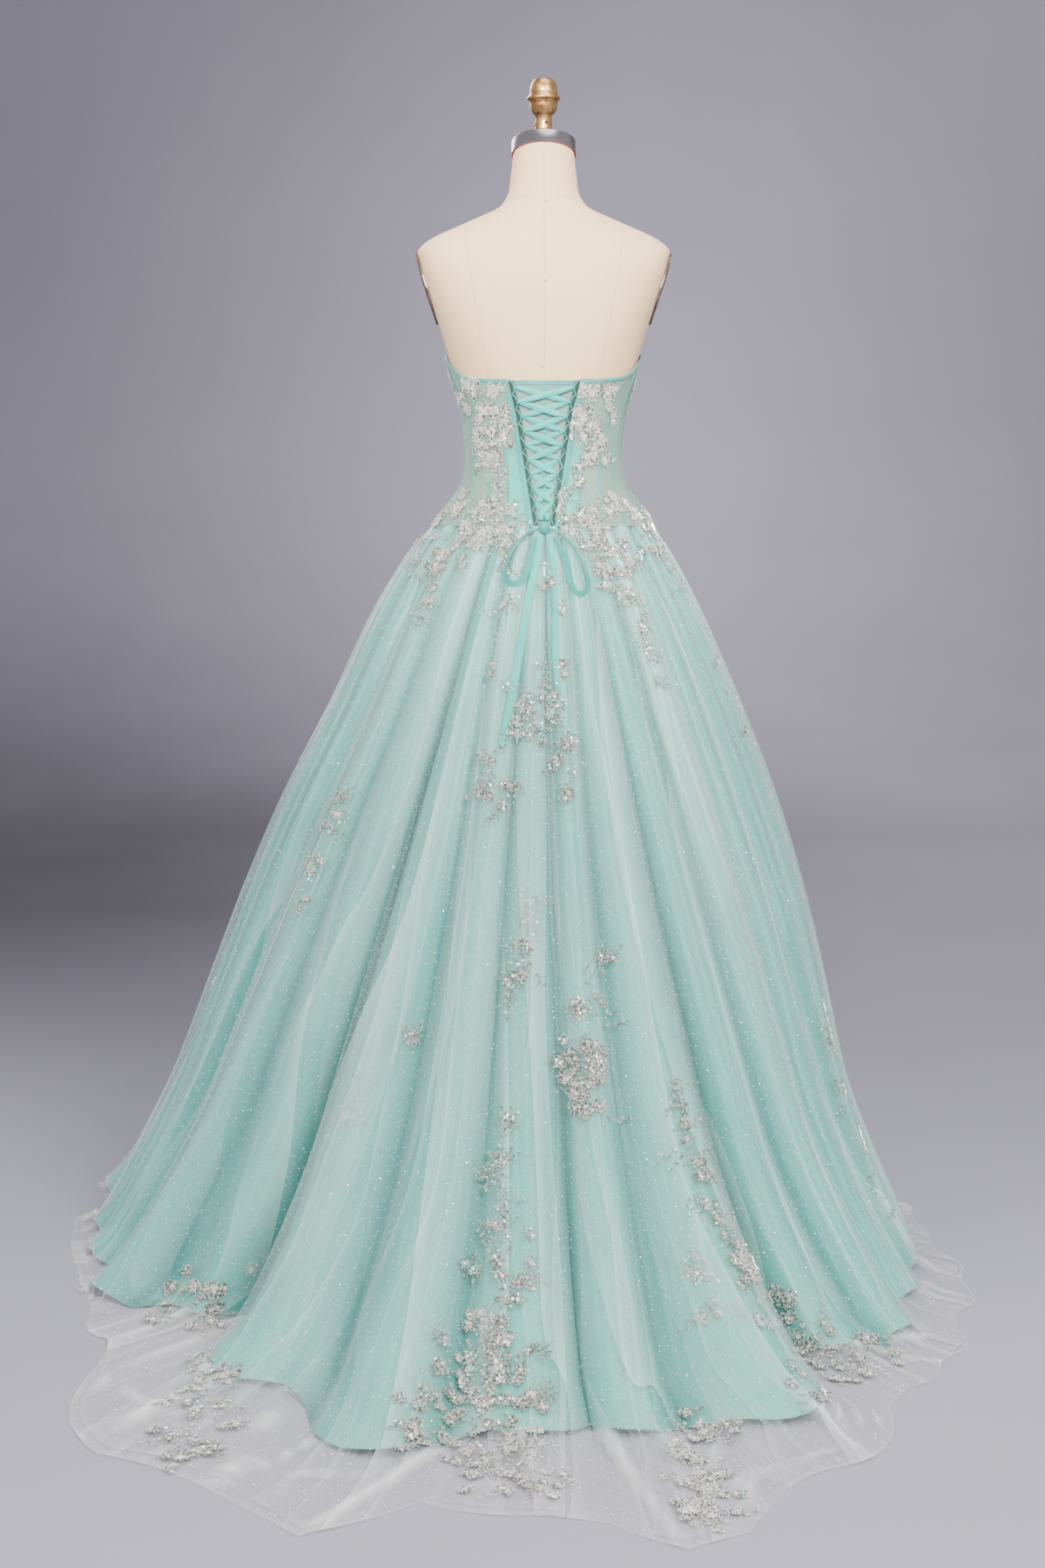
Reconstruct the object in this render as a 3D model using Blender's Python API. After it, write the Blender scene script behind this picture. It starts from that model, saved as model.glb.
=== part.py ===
"""A-line prom dress with a train, on a limbless dress form. Metres, +Z up, floor at z = 0.

The wearer faces -Y, so the lacing and the train are on the +Y side and the wearer's left is +X. An angle
round the dress is measured from the back (+Y) towards the wearer's left (+X), in degrees in the tables.
"""

import math

import bmesh
import bpy
import numpy as np
from mathutils import Matrix, Vector

SEAM_GAP = 0.0003  # between sewn pieces and between layers that lie on each other
HALF_SEAM = SEAM_GAP / 2
SHARP_ANGLE = math.radians(40)  # faces that meet at more than this are shaded as an edge

# ---------------------------------------------------------------- dress form and stand

# height, half width, depth to the back, depth to the front, centre's shift to the back,
# roundness (2 is an ellipse, more is squarer)
TORSO_ROWS = [
    (0.790, 0.1480, 0.1050, 0.0900, 0.000, 2.0),
    (0.804, 0.1600, 0.1180, 0.1000, 0.000, 2.0),
    (0.900, 0.1660, 0.1320, 0.1080, 0.000, 2.0),
    (0.990, 0.1550, 0.1260, 0.1040, 0.000, 2.0),
    (1.070, 0.1360, 0.1100, 0.0980, 0.000, 2.0),
    (1.126, 0.1170, 0.1010, 0.0950, 0.000, 2.0),
    (1.166, 0.1125, 0.0975, 0.0990, 0.000, 2.0),
    (1.195, 0.1140, 0.0995, 0.1100, 0.000, 2.0),
    (1.225, 0.1170, 0.1035, 0.1220, 0.000, 2.0),
    (1.255, 0.1235, 0.1075, 0.1300, 0.000, 2.1),
    (1.285, 0.1330, 0.1110, 0.1310, 0.000, 2.2),
    (1.315, 0.1415, 0.1130, 0.1260, 0.000, 2.3),
    (1.351, 0.1520, 0.1130, 0.1130, 0.000, 2.5),
    (1.402, 0.1690, 0.1080, 0.0950, 0.000, 2.7),
    (1.448, 0.1820, 0.0960, 0.0790, 0.000, 2.7),
    (1.470, 0.1835, 0.0850, 0.0700, -0.002, 2.6),
    (1.484, 0.1660, 0.0780, 0.0640, -0.003, 2.4),
    (1.503, 0.1250, 0.0700, 0.0560, -0.005, 2.2),
    (1.517, 0.0940, 0.0630, 0.0540, -0.007, 2.0),
    (1.529, 0.0680, 0.0580, 0.0550, -0.009, 2.0),
    (1.543, 0.0560, 0.0530, 0.0540, -0.011, 2.0),
    (1.575, 0.0490, 0.0480, 0.0490, -0.014, 2.0),
    (1.607, 0.0450, 0.0450, 0.0450, -0.016, 2.0),
]
TORSO_SIDES = 32
BUST_HEIGHT = 1.272  # the fullest level of the general figure under the cups
BUST_APART = 0.086  # half the distance between the cups' middles
BUST_SWELL = 0.014
FORM_BUST = 0.011  # the form's own swell under the cups
BUST_SPREAD = 0.050

NECK_TILT = math.radians(16.0)  # the ring slopes down to the front
NECK_CENTRE = Vector((0.0, TORSO_ROWS[-1][4], TORSO_ROWS[-1][0]))
RING_RADIUS = 0.0472
RING_HEIGHT = 0.0205
RING_BEVEL = 0.0012
RING_SIDES = 28
# finial profile from its foot on the ring to its top: height, radius
FINIAL_ROWS = [
    (0.0000, 0.0124),
    (0.0165, 0.0124),
    (0.0175, 0.0156),
    (0.0200, 0.0156),
    (0.0208, 0.0124),
    (0.0372, 0.0124),
    (0.0392, 0.0150),
    (0.0470, 0.0192),
    (0.0590, 0.0206),
    (0.0605, 0.0244),
    (0.0655, 0.0244),
    (0.0670, 0.0204),
    (0.0800, 0.0190),
    (0.0880, 0.0150),
    (0.0922, 0.0072),
]
FINIAL_SIDES = 20
PLATE_MIDDLE = 1.412  # arm plates
PLATE_HALF_HEIGHT = 0.052
PLATE_HALF_DEPTH = 0.034
PLATE_THICK = 0.0030
PLATE_SEAT = 0.0005  # from the form's surface
PLATE_RINGS = 3
PLATE_SIDES = 18
POLE_RADIUS = 0.0160
# base profile from the floor up: height, radius
BASE_ROWS = [
    (0.0000, 0.1750),
    (0.0120, 0.1750),
    (0.0180, 0.1650),
    (0.0260, 0.0350),
]
POLE_SIDES = 20
BASE_SIDES = 40

# ---------------------------------------------------------------- bodice

# height, half width, back, front of the bodice's inner side
BODICE_ROWS = [
    (1.045, 0.1720, 0.1360, 0.1240),
    (1.066, 0.1640, 0.1265, 0.1165),
    (1.080, 0.1545, 0.1210, 0.1120),
    (1.095, 0.1420, 0.1150, 0.1080),
    (1.111, 0.1295, 0.1090, 0.1040),
    (1.126, 0.1215, 0.1050, 0.1015),
    (1.142, 0.1175, 0.1020, 0.1005),
    (1.166, 0.1147, 0.0998, 0.1013),
    (1.195, 0.1162, 0.1018, 0.1123),
    (1.225, 0.1193, 0.1058, 0.1243),
    (1.255, 0.1259, 0.1099, 0.1323),
    (1.285, 0.1355, 0.1134, 0.1333),
    (1.315, 0.1440, 0.1154, 0.1283),
    (1.351, 0.1545, 0.1154, 0.1153),
]
WAIST_HALF_WIDTH = 0.1147  # of the bodice, where it is narrowest
BODICE_WALL = 0.0014
TRIM_WALL = 0.0009
WAIST_SHARE = 0.47  # the waist's place between the bodice's bottom and its top edge
WAIST_SEAM = 1.0660  # height of the seam between the bodice and the skirt
# angle, height of the bodice's top edge
EDGE_ROWS = [
    (0.0, 1.2780),
    (35.0, 1.2780),
    (62.0, 1.2860),
    (85.0, 1.3100),
    (115.0, 1.3240),
    (143.0, 1.3360),
    (163.0, 1.3200),
    (180.0, 1.3000),
]
# seams: name, angle at the bottom, at the waist and at the top edge
SEAM_ROWS = [
    ("back", 19.0, 28.0, 36.0),
    ("side_back", 32.0, 46.0, 58.0),
    ("back_side", 46.0, 62.0, 74.0),
    ("side", 88.0, 90.0, 93.0),
    ("princess", 156.0, 155.0, 144.0),
]
OPENING_TOP = 0.0485  # half width of the lacing's V at its top and its bottom
OPENING_FOOT = 0.0150
PLACKET_WIDTH = 0.0088
CHANNEL_WIDTH = 0.0034
BINDING_HEIGHT = 0.0052
BODICE_STEPS = 8  # rows of faces up a panel
PANEL_STEP = math.radians(11.0)  # widest face round a panel

TRIM_LIFT = BODICE_WALL + 0.0004  # what lies on a panel, from the panel's inner side
BINDING_LIFT = BODICE_WALL + 0.0007
MODESTY_LIFT = -0.0016  # from the panels' inner side, so behind them
MODESTY_WALL = 0.0010
MODESTY_PAST = 0.0100  # how far it goes on behind each placket
MODESTY_TOP = 0.985  # its top and bottom edge, as shares of the bodice's height
MODESTY_FOOT = 0.0025
MODESTY_HALF = 5  # faces across each half
MODESTY_BAND = 0.0060
BONE_WIDTH = 0.0060
LOOP_COUNT = 10
LOOP_FIRST = 0.990  # the loops' places between the bodice's bottom and top
LOOP_LAST = 0.012
LOOP_REACH = 0.0068
LOOP_CORD = 0.0016
LOOP_STEPS = 4  # points along each loop
LOOP_POWER = 0.7  # under 1 a loop is rounder than a sine wave
LOOP_CLEAR = 0.0006  # from the placket's edge
LOOP_LIFT = 0.0010
LACING_WIDTH = 0.0100
LACING_WALL = 0.0006
LACING_LAYER = 0.0012  # between the two layers of a folded ribbon
LACING_LIFT = 0.0022  # first layer, from the panels' inner side
LACING_APART = 0.0023  # from the first half of the ribbon to the half over it
LACING_STEPS = 5
LACING_END = 0.0008  # the ribbon's two ends at the knot: from the centre, and from the panels' inner side
LACING_RISE = 0.0085

# ---------------------------------------------------------------- skirt

# height, then the lining's inner half sizes to the left, right, back and front, the tulle's distance
# from the lining, the share of the hem's outline and the rise of a fold's ridge
SKIRT_ROWS = [
    (1.066, 0.1640, 0.1640, 0.1265, 0.1165, 0.0004, 0.00, 0.000),
    (1.020, 0.1970, 0.1830, 0.1530, 0.1380, 0.0020, 0.00, 0.000),
    (0.930, 0.2480, 0.2270, 0.2010, 0.1790, 0.0040, 0.00, 0.000),
    (0.800, 0.3080, 0.2830, 0.2650, 0.2290, 0.0055, 0.00, 0.000),
    (0.660, 0.3800, 0.3370, 0.3350, 0.2820, 0.0060, 0.00, 0.000),
    (0.520, 0.4410, 0.3820, 0.4100, 0.3270, 0.0060, 0.03, 0.000),
    (0.380, 0.4960, 0.4180, 0.4930, 0.3650, 0.0060, 0.08, 0.000),
    (0.240, 0.5520, 0.4520, 0.5930, 0.3990, 0.0055, 0.22, 0.000),
    (0.125, 0.6120, 0.4980, 0.7050, 0.4280, 0.0045, 0.46, 0.004),
    (0.038, 0.6610, 0.5430, 0.8190, 0.4530, 0.0030, 0.78, 0.010),
    (0.000, 0.6950, 0.5700, 0.9000, 0.4700, 0.0004, 1.00, 0.009),
]
WALL_LINING = 0.0012
WALL_TULLE = 0.0010
TULLE_RUN = 0.35  # the row between the lining's hem and the tulle's, as a share of the way
TULLE_RISE = 0.006  # of a ridge on the floor, beside the lining's hem
TULLE_FLAT = 0.4  # how much of that rise is gone at the tulle's own hem
RIDGE_POWER = 0.8  # under 1 a fold's ridge is broad and its valley narrow
MID_SHARE = 0.55  # where down the skirt a fold has its middle depth
LOW_SHARE = 0.85  # and from where on it has its low depth
COLUMNS_PER_FOLD = 3
# folds: name, angle at the waist and at the hem, depth at the waist, half way and low down (mm),
# reach of the lining's hem in the valley and on the ridge after it, and of the tulle's
FOLD_ROWS = [
    ("centre_back", 0.0, -3.5, 5, 18, 22, 0.825, 0.850, 1.090, 1.066),
    ("back_left_1", 9.0, 8.0, 5, 13, 16, 0.880, 0.932, 1.035, 1.150),
    ("back_left_2", 19.5, 19.5, 5, 17, 24, 0.862, 0.785, 1.075, 1.045),
    ("deep_left", 31.0, 41.0, 7, 52, 74, 0.510, 0.660, 0.900, 0.800),
    ("left_1", 44.0, 54.0, 5, 12, 16, 0.705, 0.722, 0.768, 0.745),
    ("left_2", 58.0, 67.0, 6, 28, 28, 0.665, 0.692, 0.728, 0.722),
    ("left_3", 72.0, 80.0, 6, 14, 16, 0.672, 0.686, 0.714, 0.712),
    ("left_side", 88.0, 93.0, 5, 12, 20, 0.630, 0.712, 0.675, 0.735),
    ("left_4", 104.0, 111.0, 6, 15, 18, 0.630, 0.610, 0.660, 0.636),
    ("front_left_1", 118.0, 123.0, 6, 14, 18, 0.556, 0.566, 0.584, 0.592),
    ("front_left_2", 131.0, 134.0, 5, 17, 20, 0.524, 0.530, 0.552, 0.556),
    ("front_left_3", 144.0, 146.0, 6, 13, 15, 0.498, 0.508, 0.524, 0.534),
    ("front_left_4", 157.0, 158.0, 5, 16, 19, 0.482, 0.492, 0.508, 0.518),
    ("front_left_5", 170.0, 170.0, 5, 12, 14, 0.474, 0.486, 0.500, 0.512),
    ("front_right_5", 183.0, 182.0, 5, 15, 17, 0.472, 0.484, 0.498, 0.510),
    ("front_right_4", 196.0, 195.0, 6, 12, 14, 0.476, 0.486, 0.502, 0.512),
    ("front_right_3", 209.0, 208.0, 5, 16, 20, 0.480, 0.492, 0.506, 0.518),
    ("front_right_2", 222.0, 221.0, 6, 13, 15, 0.490, 0.504, 0.516, 0.530),
    ("front_right_1", 236.0, 235.0, 5, 17, 19, 0.504, 0.520, 0.530, 0.548),
    ("right_4", 250.0, 248.0, 6, 14, 16, 0.516, 0.536, 0.546, 0.566),
    ("right_3", 263.0, 261.0, 5, 13, 15, 0.528, 0.550, 0.560, 0.580),
    ("right_side", 276.0, 274.0, 5, 14, 16, 0.540, 0.560, 0.578, 0.596),
    ("right_2", 289.0, 287.0, 6, 15, 17, 0.562, 0.588, 0.612, 0.655),
    ("right_1", 302.0, 300.0, 6, 22, 24, 0.600, 0.630, 0.682, 0.710),
    ("back_right_4", 314.5, 312.0, 6, 26, 22, 0.650, 0.700, 0.740, 0.790),
    ("back_right_3", 327.5, 322.0, 5, 13, 14, 0.725, 0.690, 0.815, 0.840),
    ("deep_right", 340.0, 331.0, 6, 30, 60, 0.625, 0.868, 0.870, 1.010),
    ("back_right_2", 350.5, 349.0, 5, 15, 26, 0.848, 0.856, 1.130, 1.162),
]
# panels of the lining and of the tulle: name, first fold, last fold, both in the valley
SKIRT_PANELS = [
    ("back_left", "centre_back", "left_side"),
    ("front", "left_side", "right_side"),
    ("back_right", "right_side", "centre_back"),
]
ZIP_PART = 0.0050  # half width of the little V over the zip's slider, at the seam with the bodice

# ---------------------------------------------------------------- zip and bow

SLIDER_HEIGHT = 1.0120
SLIDER_WIDTH = 0.0062
SLIDER_LENGTH = 0.0092
SLIDER_THICK = 0.0014
SLIDER_LIFT = 0.0006  # from the tulle's ridges
EAR_THICK = 0.0008
EAR_RISE = 0.0036
EAR_LENGTH = 0.0026
EAR_SINK = 0.0004  # into the slider's body, which it is one piece with
PIN_SIZE = 0.0008
PIN_RISE = 0.0026
TAB_WIDTH = 0.0030
TAB_LENGTH = 0.0200
TAB_THICK = 0.0009
# plate of the tab from its eye down: half width, distance from the pin
TAB_ROWS = [
    (0.0015, 0.0040),
    (0.0019, 0.0130),
    (0.0019, 0.0184),
    (0.0010, TAB_LENGTH),
]
TAB_LEAN = math.radians(9.0)  # from the slider's plane to the cloth
TAB_EYE = 0.0018  # the eye's opening round the pin
TAB_EYE_WALL = 0.0007

RIBBON_WIDTH = 0.0110
LOOP_RIBBON = 0.0090  # the ribbon's width in the bow's loops
LOOP_LEAN = math.radians(35)  # how far the loops' ribbon leans on its edge
RIBBON_WALL = 0.0009
KNOT_HEIGHT = 1.0645
KNOT_SIZE = (0.0080, 0.0060, 0.0095)
KNOT_LIFT = 0.0062
KNOT_RINGS = 6
KNOT_SIDES = 12
EDGE_SLACK = 1e-6  # a place on an edge counts for both faces
BACK_FOLDS = 4  # folds on each side of the centre back that a ribbon can lie on
RIBBON_REACH = 0.008  # a ribbon passes over what the tulle has this far to each side
TOP_CLEAR = 0.006  # below the waist seam, where a ribbon's distance is still measured from the tulle
BACK_SLOPE = 0.58  # how fast the back runs in above it
RIBBON_FACES = Vector((0, 1, 0.45))  # the way that a ribbon's face looks
# bow and tails: sideways from the centre back (+ is the wearer's left), height, distance from the tulle
BOW_LEFT = [
    (0.0078, 1.0640, 0.0075),
    (0.0220, 1.0590, 0.0105),
    (0.0380, 1.0440, 0.0120),
    (0.0520, 1.0210, 0.0100),
    (0.0560, 1.0000, 0.0075),
    (0.0480, 0.9870, 0.0055),
    (0.0330, 0.9900, 0.0060),
    (0.0245, 1.0060, 0.0085),
    (0.0190, 1.0280, 0.0100),
    (0.0130, 1.0500, 0.0100),
]
BOW_RIGHT = [
    (-0.0078, 1.0640, 0.0075),
    (-0.0240, 1.0570, 0.0105),
    (-0.0420, 1.0390, 0.0120),
    (-0.0560, 1.0130, 0.0100),
    (-0.0625, 0.9900, 0.0065),
    (-0.0565, 0.9735, 0.0045),
    (-0.0435, 0.9750, 0.0045),
    (-0.0370, 0.9920, 0.0060),
    (-0.0320, 1.0150, 0.0080),
    (-0.0250, 1.0340, 0.0095),
    (-0.0140, 1.0510, 0.0100),
]
TAIL_LONG = [
    (0.0064, 1.0553, 0.0035),
    (0.0072, 1.0480, 0.0030),
    (0.0100, 1.0250, 0.0024),
    (0.0160, 0.9950, 0.0014),
    (0.0240, 0.9550, 0.0012),
    (0.0320, 0.9100, 0.0012),
    (0.0400, 0.8650, 0.0012),
    (0.0500, 0.8150, 0.0012),
    (0.0600, 0.7650, 0.0012),
]
TAIL_SHORT = [
    (-0.0064, 1.0553, 0.0035),
    (-0.0080, 1.0480, 0.0030),
    (-0.0120, 1.0250, 0.0024),
    (-0.0160, 0.9950, 0.0014),
    (-0.0160, 0.9550, 0.0012),
    (-0.0150, 0.9100, 0.0012),
    (-0.0160, 0.8700, 0.0012),
    (-0.0200, 0.8350, 0.0012),
]
RIBBON_STEPS = 3  # faces between two points of a tail's route
LOOP_RIBBON_STEPS = 2  # and of a loop's

# material: colour, roughness, metallic
MATERIALS = {
    "form_canvas": ((0.76, 0.68, 0.55), 0.85, 0.0),
    "steel_polished": ((0.30, 0.29, 0.30), 0.22, 1.0),
    "brass_aged": ((0.56, 0.40, 0.17), 0.35, 1.0),
    "plate_bronze": ((0.16, 0.11, 0.08), 0.40, 1.0),
    "stand_painted": ((0.06, 0.06, 0.06), 0.45, 0.0),
    "mesh_sheer": ((0.60, 0.74, 0.67), 0.70, 0.0),
    "satin_mint": ((0.30, 0.66, 0.61), 0.38, 0.0),
    "tulle_glitter": ((0.55, 0.72, 0.68), 0.60, 0.0),
    "zip_metal": ((0.55, 0.70, 0.66), 0.35, 1.0),
}


# ---------------------------------------------------------------- tables and grids


def smooth_column(keys, values, at):
    """A smooth curve through a table's column: cubic, with the slope at each row from its neighbours."""
    keys = np.asarray(keys, float)
    values = np.asarray(values, float)
    slopes = np.gradient(values, keys)
    at = np.clip(np.asarray(at, float), keys[0], keys[-1])
    i = np.clip(np.searchsorted(keys, at) - 1, 0, len(keys) - 2)
    span = keys[i + 1] - keys[i]
    t = (at - keys[i]) / span
    a = (2 * t**3 - 3 * t**2 + 1) * values[i]
    b = (t**3 - 2 * t**2 + t) * span * slopes[i]
    c = (3 * t**2 - 2 * t**3) * values[i + 1]
    d = (t**3 - t**2) * span * slopes[i + 1]
    return a + b + c + d


def column(rows, index):
    return [row[index] for row in rows]


def section_point(angle, half_width, back, front, shift, roundness):
    """A point of a body section: the angle runs from the back to the wearer's left."""
    s = np.sin(angle)
    c = np.cos(angle)
    power = 2.0 / roundness
    depth = np.where(c > 0, back, front)
    x = half_width * np.sign(s) * np.abs(s) ** power
    y = depth * np.sign(c) * np.abs(c) ** power + shift
    return x, y


def bust(x, y, z, swell):
    """How far the cups swell the front at a point, along -Y."""
    side = (np.abs(x) - BUST_APART) / BUST_SPREAD
    level = (z - BUST_HEIGHT) / BUST_SPREAD
    return np.where(y < 0, swell * np.exp(-(side**2) - level**2), 0.0)


def torso_point(angle, z):
    sizes = [smooth_column(column(TORSO_ROWS, 0), column(TORSO_ROWS, k), z) for k in range(1, 6)]
    x, y = section_point(angle, *sizes)
    return np.stack([x, y - bust(x, y, z, FORM_BUST), z + 0 * x], axis=-1)


def bodice_point(angle, z):
    rows = BODICE_ROWS
    sizes = [smooth_column(column(rows, 0), column(rows, k), z) for k in range(1, 4)]
    roundness = smooth_column(column(TORSO_ROWS, 0), column(TORSO_ROWS, 5), z)
    x, y = section_point(angle, *sizes, 0.0, roundness)
    return np.stack([x, y - bust(x, y, z, BUST_SWELL), z + 0 * x], axis=-1)


def top_height(angle):
    """Height of the bodice's top edge at an angle."""
    from_back = np.degrees(np.abs(np.arctan2(np.sin(angle), np.cos(angle))))
    return smooth_column(column(EDGE_ROWS, 0), column(EDGE_ROWS, 1), from_back)


def unit(vectors):
    return vectors / np.linalg.norm(vectors, axis=-1, keepdims=True)


def both_ways(points):
    """For each point along the second axis, the sum of the unit steps to it and from it."""
    steps = unit(np.diff(points, axis=1))
    return np.concatenate([steps[:, :1], steps], axis=1) + np.concatenate([steps, steps[:, -1:]], axis=1)


def grid_normals(points, closed):
    """Unit normals of a grid of points, [row, column], whose rows run down and columns to the left."""
    if closed:
        ring = np.concatenate([points[:, -1:], points, points[:, :1]], axis=1)
        across = both_ways(ring)[:, 1:-1]
    else:
        across = both_ways(points)
    down = both_ways(points.swapaxes(0, 1)).swapaxes(0, 1)
    return unit(np.cross(across, down))


# ---------------------------------------------------------------- solids


def material(name):
    found = bpy.data.materials.get(name)
    if found:
        return found
    colour, roughness, metallic = MATERIALS[name]
    made = bpy.data.materials.new(name)
    made.use_nodes = True
    shader = made.node_tree.nodes["Principled BSDF"]
    shader.inputs["Base Color"].default_value = (*colour, 1.0)
    shader.inputs["Roughness"].default_value = roughness
    shader.inputs["Metallic"].default_value = metallic
    return made


def add_object(name, verts, faces, finish, smooth=True):
    """One closed solid, with its faces pointing out."""
    mesh = bpy.data.meshes.new(name)
    mesh.from_pydata([tuple(v) for v in verts], [], faces)
    shape = bmesh.new()
    shape.from_mesh(mesh)
    bmesh.ops.recalc_face_normals(shape, faces=shape.faces)
    shape.to_mesh(mesh)
    shape.free()
    mesh.materials.append(material(finish))
    if smooth:
        mesh.shade_smooth()
        mesh.set_sharp_from_angle(angle=SHARP_ANGLE)
    made = bpy.data.objects.new(name, mesh)
    bpy.context.scene.collection.objects.link(made)
    return made


def wall(name, inner, outer, finish):
    """A wall between two grids of points. All quads are cut the same way, so that layers stay parallel."""
    rows, cols = inner.shape[:2]
    count = rows * cols
    faces = []

    def cell(a, b, c, d):
        faces.append((a, b, c))
        faces.append((a, c, d))

    for r in range(rows - 1):
        for k in range(cols - 1):
            a, b, c, d = r * cols + k, r * cols + k + 1, (r + 1) * cols + k + 1, (r + 1) * cols + k
            cell(a, b, c, d)
            cell(a + count, b + count, c + count, d + count)
    for k in range(cols - 1):
        for start in (0, (rows - 1) * cols):
            cell(start + k, start + k + 1, start + k + 1 + count, start + k + count)
    for r in range(rows - 1):
        for k in (0, cols - 1):
            a, b = r * cols + k, (r + 1) * cols + k
            cell(a, b, b + count, a + count)
    verts = np.concatenate([inner.reshape(-1, 3), outer.reshape(-1, 3)])
    return add_object(name, verts, faces, finish)


def turned(name, rows, sides, finish, place=None):
    """A solid turned round +Z from (height, radius) rows, with flat ends, then moved to its place."""
    verts = []
    for height, radius in rows:
        for k in range(sides):
            angle = 2 * math.pi * k / sides
            verts.append(Vector((radius * math.cos(angle), radius * math.sin(angle), height)))
    faces = [tuple(range(sides)), tuple(range((len(rows) - 1) * sides, len(rows) * sides))]
    for r in range(len(rows) - 1):
        for k in range(sides):
            n = (k + 1) % sides
            faces.append((r * sides + k, r * sides + n, (r + 1) * sides + n, (r + 1) * sides + k))
    if place is not None:
        verts = [place @ v for v in verts]
    return add_object(name, verts, faces, finish)


def strip(name, centres, across, out, width, thick, finish):
    """A flat ribbon along a route: a rectangle, width by thick, at each point."""
    verts = []
    for centre, side, up in zip(centres, across, out):
        for u, v in ((-0.5, 0.0), (0.5, 0.0), (0.5, 1.0), (-0.5, 1.0)):
            verts.append(centre + side * (u * width) + up * (v * thick))
    count = len(centres)
    faces = [(0, 1, 2, 3), tuple(4 * (count - 1) + k for k in range(4))]
    for r in range(count - 1):
        for k in range(4):
            n = (k + 1) % 4
            a, b, c, d = 4 * r + k, 4 * r + n, 4 * r + 4 + n, 4 * r + 4 + k
            faces.append((a, b, c))
            faces.append((a, c, d))
    return add_object(name, verts, faces, finish)


# ---------------------------------------------------------------- form


def make_form():
    heights = column(TORSO_ROWS, 0)
    angles = np.arange(TORSO_SIDES) * 2 * math.pi / TORSO_SIDES
    rings = np.array([torso_point(angles, np.full(TORSO_SIDES, z)) for z in heights])
    rings[-1, :, 2] += (rings[-1, :, 1] - NECK_CENTRE.y) * math.tan(NECK_TILT)
    faces = [tuple(range(TORSO_SIDES))]
    last = (len(heights) - 1) * TORSO_SIDES
    faces.append(tuple(range(last, last + TORSO_SIDES)))
    for r in range(len(heights) - 1):
        for k in range(TORSO_SIDES):
            n = (k + 1) % TORSO_SIDES
            a, b = r * TORSO_SIDES + k, r * TORSO_SIDES + n
            faces.append((a, b, b + TORSO_SIDES))
            faces.append((a, b + TORSO_SIDES, a + TORSO_SIDES))
    add_object("form_torso", rings.reshape(-1, 3), faces, "form_canvas")


def make_neck():
    """The ring lies on the sloping neck; the finial stands upright on it, its foot cut to the slope."""
    seat = Matrix.Translation(NECK_CENTRE) @ Matrix.Rotation(NECK_TILT, 4, "X")
    seat = seat @ Matrix.Translation((0, 0, SEAM_GAP))
    low = RING_HEIGHT - RING_BEVEL
    ring = [(0, RING_RADIUS), (low, RING_RADIUS), (RING_HEIGHT, RING_RADIUS - RING_BEVEL)]
    turned("neck_ring", ring, RING_SIDES, "steel_polished", seat)
    foot = seat @ Vector((0, 0, RING_HEIGHT + SEAM_GAP))
    finial = turned("finial", FINIAL_ROWS, FINIAL_SIDES, "brass_aged", Matrix.Translation(foot))
    for vert in finial.data.vertices[:FINIAL_SIDES]:
        vert.co.z += (vert.co.y - foot.y) * math.tan(NECK_TILT)


def make_arm_plates():
    """Oval plates over the arm stumps, made from the form's own surface, moved out."""
    rings = PLATE_RINGS
    sides = PLATE_SIDES
    for side, name in ((1, "arm_plate_left"), (-1, "arm_plate_right")):
        layers = []
        for lift in (PLATE_SEAT, PLATE_SEAT + PLATE_THICK):
            middle = torso_point(np.array([math.pi / 2]), np.array([PLATE_MIDDLE]))[0]
            points = [middle + np.array([lift, 0, 0])]
            for ring in range(1, rings + 1):
                for k in range(sides):
                    turn = 2 * math.pi * k / sides
                    y = PLATE_HALF_DEPTH * ring / rings * math.cos(turn)
                    z = PLATE_MIDDLE + PLATE_HALF_HEIGHT * ring / rings * math.sin(turn)
                    points.append(np.array([side_width(y, z) + lift, y, z]))
            layers.append(np.array(points) * np.array([side, 1, 1]))
        count = len(layers[0])
        faces = []
        for base in (0, count):
            for k in range(sides):
                n = (k + 1) % sides
                faces.append((base, base + 1 + k, base + 1 + n))
                for ring in range(rings - 1):
                    a = base + 1 + ring * sides
                    faces.append((a + k, a + n, a + sides + n, a + sides + k))
        rim = 1 + (rings - 1) * sides
        for k in range(sides):
            n = (k + 1) % sides
            faces.append((rim + k, rim + n, count + rim + n, count + rim + k))
        add_object(name, np.concatenate(layers), faces, "plate_bronze")


def side_width(y, z):
    """The form's greatest half width at a depth y and height z, near its side."""
    width, back, front = (
        float(smooth_column(column(TORSO_ROWS, 0), column(TORSO_ROWS, k), z)) for k in (1, 2, 3)
    )
    roundness = float(smooth_column(column(TORSO_ROWS, 0), column(TORSO_ROWS, 5), z))
    depth = back if y > 0 else front
    return width * (1 - min(abs(y) / depth, 1) ** roundness) ** (1 / roundness)


def make_stand():
    foot = BASE_ROWS[-1][0] + SEAM_GAP
    top = TORSO_ROWS[0][0] - SEAM_GAP
    turned("stand_pole", [(foot, POLE_RADIUS), (top, POLE_RADIUS)], POLE_SIDES, "stand_painted")
    turned("stand_base", BASE_ROWS, BASE_SIDES, "stand_painted")


# ---------------------------------------------------------------- bodice


def opening_half(share):
    """Half width of the lacing's V at a share of the bodice's height."""
    return OPENING_FOOT + (OPENING_TOP - OPENING_FOOT) * share


def back_height(share):
    return WAIST_SEAM + (EDGE_ROWS[0][1] - WAIST_SEAM) * share


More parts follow.
